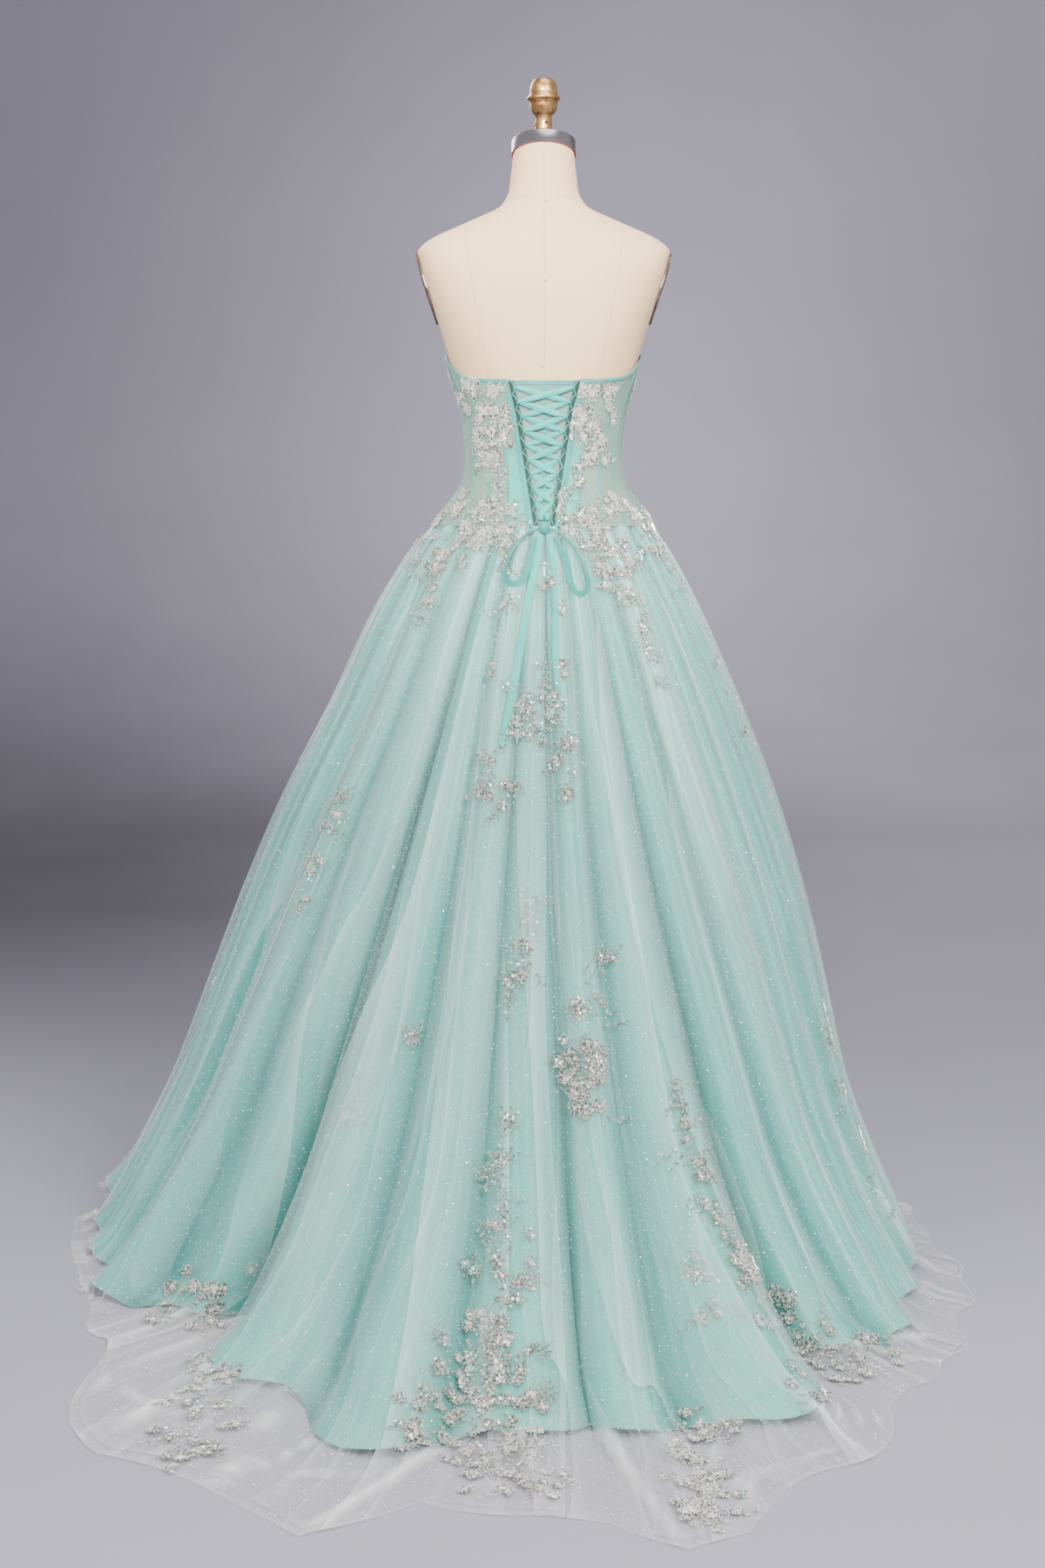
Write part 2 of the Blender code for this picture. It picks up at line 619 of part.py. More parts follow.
def seam_angle(name, share):
    """Angle of a seam on the wearer's left, at a share of the bodice's height."""
    if name == "opening":
        width = smooth_column(column(BODICE_ROWS, 0), column(BODICE_ROWS, 1), back_height(share))
        return np.arcsin(opening_half(share) / width)
    row = next(r for r in SEAM_ROWS if r[0] == name)
    return np.radians(smooth_column([0.0, WAIST_SHARE, 1.0], row[1:], share))


def bodice_grid(first, last):
    """Points on the bodice's inner side between two lines of angles, rows from the top down."""
    shares = np.linspace(1, 0, BODICE_STEPS + 1)
    columns = int(math.ceil(float(np.max(np.abs(last - first))) / PANEL_STEP)) + 1
    t = np.linspace(0, 1, columns)
    angles = first[:, None] * (1 - t) + last[:, None] * t
    z = WAIST_SEAM + (top_height(angles) - WAIST_SEAM) * shares[:, None]
    return bodice_point(angles, z)


def layer(name, grid, lift, thick, finish):
    """A wall at a distance from a grid of points. Its first and last rows stay level."""
    normals = grid_normals(grid, False)
    inner = grid + normals * lift
    outer = grid + normals * (lift + thick)
    for points in (inner, outer):
        points[-1, :, 2] = grid[-1, :, 2]
    return wall(name, inner, outer, finish)


def mirrored(grid):
    """The same grid on the wearer's right, with its columns still running to the left."""
    return grid[:, ::-1] * np.array([-1, 1, 1])


def along(row, distance):
    """The point of a row of points at a distance from its first one."""
    steps = np.linalg.norm(np.diff(row, axis=0), axis=1)
    reached = np.concatenate([[0], np.cumsum(steps)])
    return np.array([np.interp(distance, reached, row[:, k]) for k in range(3)])


def panel_grids():
    """The wearer's left panels from the lacing to the princess seam, then the front panel."""
    shares = np.linspace(1, 0, BODICE_STEPS + 1)
    names = ["opening"] + column(SEAM_ROWS, 0)
    pieces = ["centre_back", "side_back", "back_side", "side", "side_front"]
    turn = HALF_SEAM / WAIST_HALF_WIDTH
    grids = {}
    for piece, first, last in zip(pieces, names[:-1], names[1:]):
        grids[piece] = bodice_grid(seam_angle(first, shares) + turn, seam_angle(last, shares) - turn)
    near = seam_angle("princess", shares) + turn
    grids["front"] = bodice_grid(near, 2 * math.pi - near)
    return grids


def make_panels(grids):
    for piece, grid in grids.items():
        if piece == "front":
            layer("bodice_front", grid, 0.0, BODICE_WALL, "mesh_sheer")
            continue
        layer(f"bodice_{piece}_left", grid, 0.0, BODICE_WALL, "mesh_sheer")
        layer(f"bodice_{piece}_right", mirrored(grid), 0.0, BODICE_WALL, "mesh_sheer")


def make_channels(grids):
    """Boning channels over the seams, from under the binding to the waist seam."""
    half = CHANNEL_WIDTH / 2
    names = list(grids)
    for seam, before, after in zip(column(SEAM_ROWS, 0), names[:-1], names[1:]):
        rows = []
        for left, right in zip(grids[before], grids[after]):
            edge = (left[-1] + right[0]) / 2
            rows.append([along(left[::-1], half), edge, along(right, half)])
        grid = np.array(rows)
        grid[0] += unit(grid[1] - grid[0]) * (BINDING_HEIGHT + 2 * SEAM_GAP)
        layer(f"channel_{seam}_left", grid, TRIM_LIFT, TRIM_WALL, "satin_mint")
        layer(f"channel_{seam}_right", mirrored(grid), TRIM_LIFT, TRIM_WALL, "satin_mint")


def make_binding(grids):
    """One binding from placket to placket, made from the panels' top edges."""
    start = PLACKET_WIDTH + 2 * SEAM_GAP
    left = [np.array([along(row, start) for row in grids["centre_back"][:2]])]
    pieces = list(grids.values())
    for here, after in zip(pieces[:-1], pieces[1:]):
        left.extend(here[:2, k] for k in range(1, here.shape[1] - 1))
        left.append((here[:2, -1] + after[:2, 0]) / 2)
    left = np.stack(left, axis=1)
    both = np.concatenate([left, grids["front"][:2, 1:-1], mirrored(left)], axis=1)
    step = unit(both[1] - both[0]) * BINDING_HEIGHT
    normals = grid_normals(both, False)
    inner = np.stack([both[0], both[0] + step]) + normals * BINDING_LIFT
    wall("bodice_binding", inner, inner + normals * TRIM_WALL, "satin_mint")


def make_plackets(grids):
    reach = np.array([HALF_SEAM, PLACKET_WIDTH / 2, PLACKET_WIDTH])
    grid = np.array([[along(row, d) for d in reach] for row in grids["centre_back"]])
    layer("placket_left", grid, TRIM_LIFT, TRIM_WALL, "satin_mint")
    layer("placket_right", mirrored(grid), TRIM_LIFT, TRIM_WALL, "satin_mint")


def back_point(x, z, lift):
    """A point at a distance from the bodice's inner side behind the lacing, and the normal there."""
    width = float(smooth_column(column(BODICE_ROWS, 0), column(BODICE_ROWS, 1), z))
    angle = math.asin(x / width)
    step = 0.01
    here = bodice_point(np.array([angle]), np.array([z]))[0]
    beside = bodice_point(np.array([angle + step]), np.array([z]))[0]
    above = bodice_point(np.array([angle]), np.array([z + step]))[0]
    normal = np.cross(above - here, beside - here)
    normal /= np.linalg.norm(normal)
    return Vector(here + normal * lift), Vector(normal)


def make_modesty():
    """Sheer panel behind the lacing, with a satin band at its top and a satin bone down its middle."""
    shares = np.linspace(MODESTY_TOP, MODESTY_FOOT, BODICE_STEPS + 1)
    rows = []
    for share in shares:
        reach = opening_half(share) + MODESTY_PAST
        sides = np.linspace(-reach, reach, 2 * MODESTY_HALF + 1)
        rows.append([back_point(float(x), back_height(share), 0.0)[0] for x in sides])
    grid = np.array(rows)
    layer("modesty_panel", grid, MODESTY_LIFT, MODESTY_WALL, "mesh_sheer")
    lift = MODESTY_LIFT + MODESTY_WALL + SEAM_GAP
    down = unit(grid[1] - grid[0])
    inside = slice(2, 2 * MODESTY_HALF - 1)
    band = np.stack([grid[0], grid[0] + down * MODESTY_BAND])[:, inside]
    layer("modesty_band", band, lift, TRIM_WALL, "satin_mint")
    middle = grid[:, MODESTY_HALF]
    half = unit(grid[:, MODESTY_HALF + 1] - grid[:, MODESTY_HALF - 1]) * BONE_WIDTH / 2
    bone = np.stack([middle - half, middle + half], axis=1)
    bone[0] += down[MODESTY_HALF] * (MODESTY_BAND + SEAM_GAP)
    layer("modesty_bone", bone, lift, TRIM_WALL, "satin_mint")


def make_loops():
    """One cord for each side, bent into loops along the placket's edge."""
    steps = LOOP_COUNT * LOOP_STEPS
    for side, name in ((1, "loops_left"), (-1, "loops_right")):
        centres, sideways, out = [], [], []
        for k in range(steps + 1):
            share = LOOP_FIRST + (LOOP_LAST - LOOP_FIRST) * k / steps
            turn = (k % LOOP_STEPS) / LOOP_STEPS
            bulge = math.sin(math.pi * turn) ** LOOP_POWER if turn else 0.0
            x = opening_half(share) - LOOP_CORD / 2 - LOOP_CLEAR - (LOOP_REACH - LOOP_CORD) * bulge
            point, normal = back_point(side * x, back_height(share), LOOP_LIFT)
            centres.append(point)
            out.append(normal)
        for k in range(steps + 1):
            run = centres[min(k + 1, steps)] - centres[max(k - 1, 0)]
            sideways.append(run.cross(out[k]).normalized())
        strip(name, centres, sideways, out, LOOP_CORD, LOOP_CORD, "satin_mint")


def loop_place(index):
    """Share of the bodice's height at the middle of a loop, and how far its cord is from the centre."""
    share = LOOP_FIRST + (LOOP_LAST - LOOP_FIRST) * (index + 0.5) / LOOP_COUNT
    fold = (LACING_LAYER + LACING_WALL) / 2
    return share, opening_half(share) - LOOP_REACH - LOOP_CLEAR - SEAM_GAP - fold


def make_lacing():
    """Each half of the ribbon runs from side to side, one loop down each time, and folds back there."""
    for half, (name, side) in enumerate((("lacing_under", 1), ("lacing_over", -1))):
        base = LACING_LIFT + half * LACING_APART
        centres, tall, out = [], [], []
        face = 1

        def add(x, share, lift, outward):
            point, normal = back_point(x, back_height(share), lift)
            tangent = Vector((0, 0, 1)) - normal * normal.z
            up = (normal if outward is None else outward) * face
            centres.append(point - up * (LACING_WALL / 2))
            tall.append(tangent.normalized())
            out.append(up)

        for index in range(LOOP_COUNT - 1):
            share, reach = loop_place(index)
            next_share, next_reach = loop_place(index + 1)
            under_next = index < LOOP_COUNT - 2  # the last run comes out from under this one, to the knot
            for k in range(LACING_STEPS + 1):
                t = k / LACING_STEPS
                x = side * (reach * (1 - t) - next_reach * t)
                lift = base + (LACING_LAYER if under_next and t > 0.5 else 0.0)
                add(x, share * (1 - t) + next_share * t, lift, None)
            side = -side
            tip = side * (next_reach + LACING_LAYER / 2)
            add(tip, next_share, base + LACING_LAYER / 2, Vector((side if under_next else -side, 0, 0)))
            face = -face
        start = base + LACING_LAYER
        slant = (LACING_RISE - start) / (next_reach - LACING_END)
        normal = back_point(0.0, back_height(next_share), 0.0)[1]
        slanted = (normal + Vector((side * slant, 0, 0))).normalized()
        add(side * next_reach, next_share, start, slanted)
        add(side * LACING_END, next_share, LACING_RISE, slanted)
        strip(name, centres, tall, out, LACING_WIDTH, LACING_WALL, "satin_mint")


# ---------------------------------------------------------------- skirt


def quarter_radius(angle, left, right, back, front):
    s = np.sin(angle)
    c = np.cos(angle)
    side = np.where(s > 0, left, right)
    depth = np.where(c > 0, back, front)
    return 1 / np.hypot(s / side, c / depth)


def fold_columns():
    """For each column of the skirt: its fold, its place between two valleys, and its angles and values."""
    count = len(FOLD_ROWS)
    columns = []
    for i, row in enumerate(FOLD_ROWS):
        after = FOLD_ROWS[(i + 1) % count]
        turn = 360.0 if i == count - 1 else 0.0
        for k in range(COLUMNS_PER_FOLD):
            t = k / COLUMNS_PER_FOLD
            mixed = [a * (1 - t) + b * t for a, b in zip(row[3:6], after[3:6])]
            columns.append(
                {
                    "top": row[1] * (1 - t) + (after[1] + turn) * t,
                    "hem": row[2] * (1 - t) + (after[2] + turn) * t,
                    "ridge": math.sin(math.pi * t) ** RIDGE_POWER if k else 0.0,
                    "depths": mixed,
                    "lining": (row[6] * (1 - t) + after[6] * t, row[7]),
                    "tulle": (row[8] * (1 - t) + after[8] * t, row[9]),
                }
            )
    return columns


def skirt_grids():
    """Points of the lining's inner side, and of the tulle's rows on the floor past the lining's hem."""
    columns = fold_columns()
    last = len(SKIRT_ROWS) - 1
    grid = np.zeros((len(SKIRT_ROWS), len(columns), 3))
    for r, (z, left, right, back, front, _, hem_share, rise) in enumerate(SKIRT_ROWS):
        down = r / last
        for k, col in enumerate(columns):
            angle = math.radians(col["top"] * (1 - down) + col["hem"] * down)
            ridge = col["ridge"]
            depth = np.interp(down, [0.0, MID_SHARE, LOW_SHARE], col["depths"])
            base = float(quarter_radius(angle, left, right, back, front))
            valley, crest = col["lining"]
            hem = valley * (1 - ridge) + crest * ridge
            radius = base - depth / 1000 * (1 - ridge)
            if r == last:
                radius = hem
            else:
                radius += hem_share * (hem - float(quarter_radius(angle, *SKIRT_ROWS[-1][1:5])))
            height = WAIST_SEAM - SEAM_GAP if r == 0 else z + rise * ridge
            grid[r, k] = (radius * math.sin(angle), radius * math.cos(angle), height)
    train = []
    for share in (TULLE_RUN, 1.0):
        ring = np.zeros((len(columns), 3))
        for k, col in enumerate(columns):
            angle = math.radians(col["hem"])
            ridge = col["ridge"]
            near = float(np.hypot(grid[-1, k, 0], grid[-1, k, 1]))
            valley, crest = col["tulle"]
            far = valley * (1 - ridge) + crest * ridge
            radius = near + (far - near) * share
            height = TULLE_RISE * ridge * (1 - TULLE_FLAT * share)
            ring[k] = (radius * math.sin(angle), radius * math.cos(angle), height)
        train.append(ring)
    return grid, np.array(train)


def cut_panel(grid, first, last):
    """The columns of a grid from one fold's valley to another's, round the back if need be."""
    names = column(FOLD_ROWS, 0)
    start = names.index(first) * COLUMNS_PER_FOLD
    end = names.index(last) * COLUMNS_PER_FOLD
    if end <= start:
        end += grid.shape[1]
    picked = [k % grid.shape[1] for k in range(start, end + 1)]
    return grid[:, picked].copy()


def part_edge(inner, outer, column_index, toward, gaps):
    """Moves a panel's edge column along the panel, so that it stands clear of its neighbour."""
    for r, gap in enumerate(gaps):
        step = inner[r, toward] - inner[r, column_index]
        step = step / np.linalg.norm(step) * gap
        inner[r, column_index] += step
        outer[r, column_index] += step


def make_skirt():
    grid, train = skirt_grids()
    hem = len(grid) - 1
    normals = grid_normals(np.concatenate([grid, train[:1]]), True)[: hem + 1]
    lining_out = grid + normals * WALL_LINING
    lining_out[hem, :, 2] = np.maximum(lining_out[hem, :, 2], WALL_LINING)
    ease = np.array(column(SKIRT_ROWS, 5))[:, None, None]
    tulle_in = np.concatenate([lining_out + normals * ease, train])
    tulle_in[hem, :, 2] = lining_out[hem, :, 2] + SEAM_GAP
    tulle_out = tulle_in + grid_normals(tulle_in, True) * WALL_TULLE
    for points in (lining_out, tulle_in, tulle_out):
        points[0, :, 2] = grid[0, :, 2]
    tulle_out[hem:, :, 2] = tulle_in[hem:, :, 2] + WALL_TULLE
    for cloth, inner, outer in (("lining", grid, lining_out), ("tulle", tulle_in, tulle_out)):
        finish = "satin_mint" if cloth == "lining" else "tulle_glitter"
        for name, first, last in SKIRT_PANELS:
            panel_in = cut_panel(inner, first, last)
            panel_out = cut_panel(outer, first, last)
            gaps = np.full(len(panel_in), SEAM_GAP)
            zip_gaps = gaps.copy()
            zip_gaps[0] += ZIP_PART
            part_edge(panel_in, panel_out, 0, 1, zip_gaps if first == "centre_back" else gaps)
            part_edge(panel_in, panel_out, -1, -2, zip_gaps if last == "centre_back" else gaps)
            wall(f"{cloth}_{name}", panel_in, panel_out, finish)
    return tulle_out


# ---------------------------------------------------------------- ribbons and zip on the skirt


def surface_at(tulle, x, z):
    """The tulle's outer side near the centre back, at a sideways place and a height."""
    count = tulle.shape[1]
    best = None
    at = np.array([x, z])
    for r in range(len(SKIRT_ROWS) - 1):
        for k in range(-BACK_FOLDS * COLUMNS_PER_FOLD, BACK_FOLDS * COLUMNS_PER_FOLD):
            a, b = tulle[r, k % count], tulle[r, (k + 1) % count]
            c, d = tulle[r + 1, (k + 1) % count], tulle[r + 1, k % count]
            for p, q, s in ((a, b, c), (a, c, d)):
                flat = np.array([[q[0] - p[0], s[0] - p[0]], [q[2] - p[2], s[2] - p[2]]])
                det = np.linalg.det(flat)
                if abs(det) < EDGE_SLACK**2:
                    continue
                u, v = np.linalg.solve(flat, at - p[[0, 2]])
                if min(u, v) >= -EDGE_SLACK and u + v <= 1 + EDGE_SLACK:
                    point = p + u * (q - p) + v * (s - p)
                    if best is None or point[1] > best[1]:
                        best = point
    return best


def smooth_route(points, steps):
    """A smooth route through points, with a number of steps between two of them."""
    points = np.array(points)
    keys = np.arange(len(points))
    at = np.linspace(0, len(points) - 1, (len(points) - 1) * steps + 1)
    return np.stack([smooth_column(keys, points[:, k], at) for k in range(3)], axis=1)


def envelope_y(tulle, x, z, reach):
    """How far back the tulle goes around a place, so that what lies there passes over the small folds."""
    found = [surface_at(tulle, x + dx, z) for dx in (-reach, 0.0, reach)]
    return max(point[1] for point in found if point is not None)


def behind(tulle, x, z):
    """The dress's reach to the back at a place near the seam of bodice and skirt."""
    top = WAIST_SEAM - TOP_CLEAR
    return envelope_y(tulle, x, min(z, top), RIBBON_REACH) - BACK_SLOPE * max(z - top, 0)


def make_ribbon(name, tulle, route, steps, width, lean):
    """A ribbon whose route is given sideways, by height and by its distance from the tulle."""
    points = []
    for x, z, lift in smooth_route(route, steps):
        points.append(Vector((x, behind(tulle, x, z) + lift, z)))
    count = len(points)
    across, out = [], []
    for k in range(count):
        run = (points[min(k + 1, count - 1)] - points[max(k - 1, 0)]).normalized()
        side = run.cross(RIBBON_FACES).normalized()
        side.rotate(Matrix.Rotation(lean, 3, run))
        across.append(side)
        out.append(side.cross(run).normalized())
    strip(name, points, across, out, width, RIBBON_WALL, "satin_mint")


def make_bow(tulle):
    rings = []
    for k in range(1, KNOT_RINGS):
        turn = math.pi * k / KNOT_RINGS
        rings.append((-math.cos(turn), math.sin(turn)))
    centre = Vector((0, behind(tulle, 0.0, KNOT_HEIGHT) + KNOT_LIFT, KNOT_HEIGHT))
    place = Matrix.Translation(centre) @ Matrix.Diagonal((*KNOT_SIZE, 1))
    turned("bow_knot", rings, KNOT_SIDES, "satin_mint", place)
    make_ribbon("bow_loop_left", tulle, BOW_LEFT, LOOP_RIBBON_STEPS, LOOP_RIBBON, LOOP_LEAN)
    make_ribbon("bow_loop_right", tulle, BOW_RIGHT, LOOP_RIBBON_STEPS, LOOP_RIBBON, -LOOP_LEAN)
    make_ribbon("bow_tail_long", tulle, TAIL_LONG, RIBBON_STEPS, RIBBON_WIDTH, 0.0)
    make_ribbon("bow_tail_short", tulle, TAIL_SHORT, RIBBON_STEPS, RIBBON_WIDTH, 0.0)


def make_zip(tulle):
    """The slider lies on the tulle at the foot of the little V; its pull tab swings on the slider's pin."""
    y = envelope_y(tulle, 0.0, SLIDER_HEIGHT, SLIDER_WIDTH / 2)
    low = envelope_y(tulle, 0.0, SLIDER_HEIGHT - TAB_LENGTH, SLIDER_WIDTH / 2)
    slope = math.atan2(low - y, TAB_LENGTH)
    seat = Matrix.Translation((0, y + SLIDER_LIFT, SLIDER_HEIGHT)) @ Matrix.Rotation(slope, 4, "X")

    def block(size, centre):
        shape = bmesh.new()
        bmesh.ops.create_cube(shape, size=1.0)
        bmesh.ops.scale(shape, vec=size, verts=shape.verts)
        bmesh.ops.translate(shape, vec=centre, verts=shape.verts)
        return shape

    low_end = -SLIDER_LENGTH / 2
    profile = [(0, low_end), (SLIDER_THICK, low_end), (SLIDER_THICK, -low_end), (0, -low_end)]
    verts = [seat @ Vector((s * SLIDER_WIDTH / 2, out, up)) for s in (-1, 1) for out, up in profile]
    faces = [(0, 1, 2, 3), (4, 5, 6, 7), (0, 1, 5, 4), (1, 2, 6, 5), (2, 3, 7, 6), (3, 0, 4, 7)]
    base = add_object("zip_slider", verts, faces, "zip_metal", smooth=False)
    ear_x = TAB_WIDTH / 2 + SEAM_GAP + EAR_THICK / 2
    extras = []
    for s in (-1, 1):
        size = (EAR_THICK, EAR_RISE, EAR_LENGTH)
        extras.append(block(size, (s * ear_x, SLIDER_THICK + EAR_RISE / 2 - EAR_SINK, 0)))
    extras.append(block((2 * ear_x, PIN_SIZE, PIN_SIZE), (0, SLIDER_THICK + PIN_RISE, 0)))
    for k, extra in enumerate(extras):
        mesh = bpy.data.meshes.new(f"slider_piece_{k}")
        extra.transform(seat)
        extra.to_mesh(mesh)
        extra.free()
        piece = bpy.data.objects.new(f"slider_piece_{k}", mesh)
        piece.hide_render = True
        piece.display_type = "WIRE"
        bpy.context.scene.collection.objects.link(piece)
        joined = base.modifiers.new(f"join_{k}", "BOOLEAN")
        joined.operation = "UNION"
        joined.object = piece
    make_tab(seat)


def make_tab(seat):
    """The pull tab: a square eye round the pin and a tapered plate, hung from the joint's axis."""
    pin_out = SLIDER_THICK + PIN_RISE
    hole = TAB_EYE / 2
    rim = hole + TAB_EYE_WALL
    half = TAB_WIDTH / 2
    shape = bmesh.new()

    def ring_points(size):
        return [(-size, -size), (size, -size), (size, size), (-size, size)]

    inner = [[shape.verts.new((s * half, o, u)) for o, u in ring_points(hole)] for s in (-1, 1)]
    outer = [[shape.verts.new((s * half, o, u)) for o, u in ring_points(rim)] for s in (-1, 1)]
    for s in range(2):
        for k in range(4):
            n = (k + 1) % 4
            shape.faces.new((inner[s][k], inner[s][n], outer[s][n], outer[s][k]))
    for k in range(4):
        n = (k + 1) % 4
        shape.faces.new((inner[0][k], inner[0][n], inner[1][n], inner[1][k]))
    for k in range(1, 4):
        n = (k + 1) % 4
        shape.faces.new((outer[0][k], outer[0][n], outer[1][n], outer[1][k]))
    ring = [outer[0][0], outer[0][1], outer[1][1], outer[1][0]]
    thick = TAB_THICK / 2
    for width, down in TAB_ROWS:
        corners = ((-width, -thick), (-width, thick), (width, thick), (width, -thick))
        below = [shape.verts.new((x, out, -down)) for x, out in corners]
        for k in range(4):
            n = (k + 1) % 4
            shape.faces.new((ring[k], ring[n], below[n], below[k]))
        ring = below
    shape.faces.new(ring)
    bmesh.ops.recalc_face_normals(shape, faces=shape.faces)
    mesh = bpy.data.meshes.new("zip_pull_tab")
    shape.to_mesh(mesh)
    shape.free()
    mesh.materials.append(material("zip_metal"))
    tab = bpy.data.objects.new("zip_pull_tab", mesh)
    tab.matrix_world = seat @ Matrix.Translation((0, pin_out, 0)) @ Matrix.Rotation(-TAB_LEAN, 4, "X")
    bpy.context.scene.collection.objects.link(tab)


def main():
    for old in list(bpy.data.objects):
        bpy.data.objects.remove(old)
    make_form()
    make_neck()
    make_arm_plates()
    make_stand()
    grids = panel_grids()
    make_panels(grids)
    make_channels(grids)
    make_binding(grids)
    make_plackets(grids)
    make_modesty()
    make_loops()
    make_lacing()
    tulle = make_skirt()
    make_bow(tulle)
    make_zip(tulle)


main()
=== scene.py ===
"""A-line prom dress with a train, laced at the back, on a limbless canvas dress form.

Metres, +Z up. The wearer faces -Y; the lacing and the train are on the +Y side. An angle round the dress runs
from the back (+Y) towards the wearer's left (+X).
"""

import functools
import itertools
import math

import bmesh
import bpy
import numpy as np
from mathutils import Matrix, Vector
from mathutils.bvhtree import BVHTree


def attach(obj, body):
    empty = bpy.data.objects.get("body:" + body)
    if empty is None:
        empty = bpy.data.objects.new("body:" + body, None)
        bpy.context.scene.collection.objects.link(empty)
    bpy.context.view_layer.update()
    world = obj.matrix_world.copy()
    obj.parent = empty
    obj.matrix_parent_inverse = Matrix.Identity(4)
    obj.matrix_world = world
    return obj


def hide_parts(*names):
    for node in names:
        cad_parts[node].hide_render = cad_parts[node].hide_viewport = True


bl_info = {
    "name": "A-line prom dress on a dress form",
    "version": (1, 0, 0),
    "blender": (4, 5, 0),
    "location": "3D View > Sidebar > Dress",
    "description": "Builds the gown's cloth, lacing, lace and beads and the dress form round the packed frame",
    "category": "Add Mesh",
}

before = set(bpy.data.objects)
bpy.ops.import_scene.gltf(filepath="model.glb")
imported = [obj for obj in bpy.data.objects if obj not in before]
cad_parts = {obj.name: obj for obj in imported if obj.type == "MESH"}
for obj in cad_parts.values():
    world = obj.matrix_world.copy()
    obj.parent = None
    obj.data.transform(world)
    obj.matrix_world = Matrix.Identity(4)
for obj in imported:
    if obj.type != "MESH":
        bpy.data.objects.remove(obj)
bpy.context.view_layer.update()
BODY = "dress"

# ---------------------------------------------------------------- the cloth's shape, as in the part

SEAM_GAP = 0.0003
HALF_SEAM = SEAM_GAP / 2

# height, half width, depth to the back, depth to the front, centre's shift, roundness
TORSO_ROWS = [
    (0.79, 0.148, 0.105, 0.09, 0.0, 2.0), (0.804, 0.16, 0.118, 0.1, 0.0, 2.0), (0.9, 0.166, 0.132, 0.108, 0.0, 2.0),
    (0.99, 0.155, 0.126, 0.104, 0.0, 2.0), (1.07, 0.136, 0.11, 0.098, 0.0, 2.0),
    (1.126, 0.117, 0.101, 0.095, 0.0, 2.0), (1.166, 0.1125, 0.0975, 0.099, 0.0, 2.0),
    (1.195, 0.114, 0.0995, 0.11, 0.0, 2.0), (1.225, 0.117, 0.1035, 0.122, 0.0, 2.0),
    (1.255, 0.1235, 0.1075, 0.13, 0.0, 2.1), (1.285, 0.133, 0.111, 0.131, 0.0, 2.2),
    (1.315, 0.1415, 0.113, 0.126, 0.0, 2.3), (1.351, 0.152, 0.113, 0.113, 0.0, 2.5),
    (1.402, 0.169, 0.108, 0.095, 0.0, 2.7), (1.448, 0.182, 0.096, 0.079, 0.0, 2.7),
    (1.47, 0.1835, 0.085, 0.07, -0.002, 2.6), (1.484, 0.166, 0.078, 0.064, -0.003, 2.4),
    (1.503, 0.125, 0.07, 0.056, -0.005, 2.2), (1.517, 0.094, 0.063, 0.054, -0.007, 2.0),
    (1.529, 0.068, 0.058, 0.055, -0.009, 2.0), (1.543, 0.056, 0.053, 0.054, -0.011, 2.0),
    (1.575, 0.049, 0.048, 0.049, -0.014, 2.0), (1.607, 0.045, 0.045, 0.045, -0.016, 2.0),
]
BUST_HEIGHT = 1.272
BUST_APART = 0.086
BUST_SWELL = 0.014
FORM_BUST = 0.011
BUST_SPREAD = 0.050
NECK_TILT = math.radians(16.0)
NECK_CENTRE = Vector((0.0, TORSO_ROWS[-1][4], TORSO_ROWS[-1][0]))
RING_RADIUS = 0.0472
RING_HEIGHT = 0.0205
# height over the ring, radius
FINIAL_PROFILE = [
    (0.0, 0.0124), (0.0002, 0.0152), (0.0016, 0.0156), (0.0026, 0.015), (0.003, 0.0124), (0.01, 0.0122),
    (0.0165, 0.0124), (0.0175, 0.013), (0.02, 0.0126), (0.028, 0.0121), (0.0372, 0.0122), (0.0382, 0.0132),
    (0.04, 0.0154), (0.043, 0.0176), (0.047, 0.0192), (0.053, 0.0203), (0.0582, 0.0206), (0.0592, 0.0216),
    (0.06, 0.024), (0.0612, 0.0247), (0.063, 0.0244), (0.0646, 0.0232), (0.066, 0.0216), (0.0672, 0.0206),
    (0.072, 0.0203), (0.078, 0.0196), (0.082, 0.0184), (0.0855, 0.0165), (0.0885, 0.0138), (0.0905, 0.0104),
    (0.0918, 0.0062), (0.0922, 0.002),
]

# height, half width, back, front of the bodice's inner side
BODICE_ROWS = [
    (1.045, 0.172, 0.136, 0.124), (1.066, 0.164, 0.1265, 0.1165), (1.08, 0.1545, 0.121, 0.112),
    (1.095, 0.142, 0.115, 0.108), (1.111, 0.1295, 0.109, 0.104), (1.126, 0.1215, 0.105, 0.1015),
    (1.142, 0.1175, 0.102, 0.1005), (1.166, 0.1147, 0.0998, 0.1013), (1.195, 0.1162, 0.1018, 0.1123),
    (1.225, 0.1193, 0.1058, 0.1243), (1.255, 0.1259, 0.1099, 0.1323), (1.285, 0.1355, 0.1134, 0.1333),
    (1.315, 0.144, 0.1154, 0.1283), (1.351, 0.1545, 0.1154, 0.1153),
]
BODICE_WALL = 0.0014
MESH_LIFT = 0.0004
TRIM_WALL = 0.0009
WAIST_SHARE = 0.47
WAIST_SEAM = 1.0660
EDGE_ROWS = [
    (0.0, 1.278), (35.0, 1.278), (62.0, 1.286), (85.0, 1.31), (115.0, 1.324), (143.0, 1.336), (163.0, 1.32),
    (180.0, 1.3),
]
SEAM_ROWS = [
    ("back", 19.0, 28.0, 36.0), ("side_back", 32.0, 46.0, 58.0), ("back_side", 46.0, 62.0, 74.0),
    ("side", 88.0, 90.0, 93.0), ("princess", 156.0, 155.0, 144.0),
]
OPENING_TOP = 0.0485
OPENING_FOOT = 0.0150
PLACKET_WIDTH = 0.0088
CHANNEL_WIDTH = 0.0034
BINDING_HEIGHT = 0.0052
TRIM_LIFT = BODICE_WALL + 0.0004
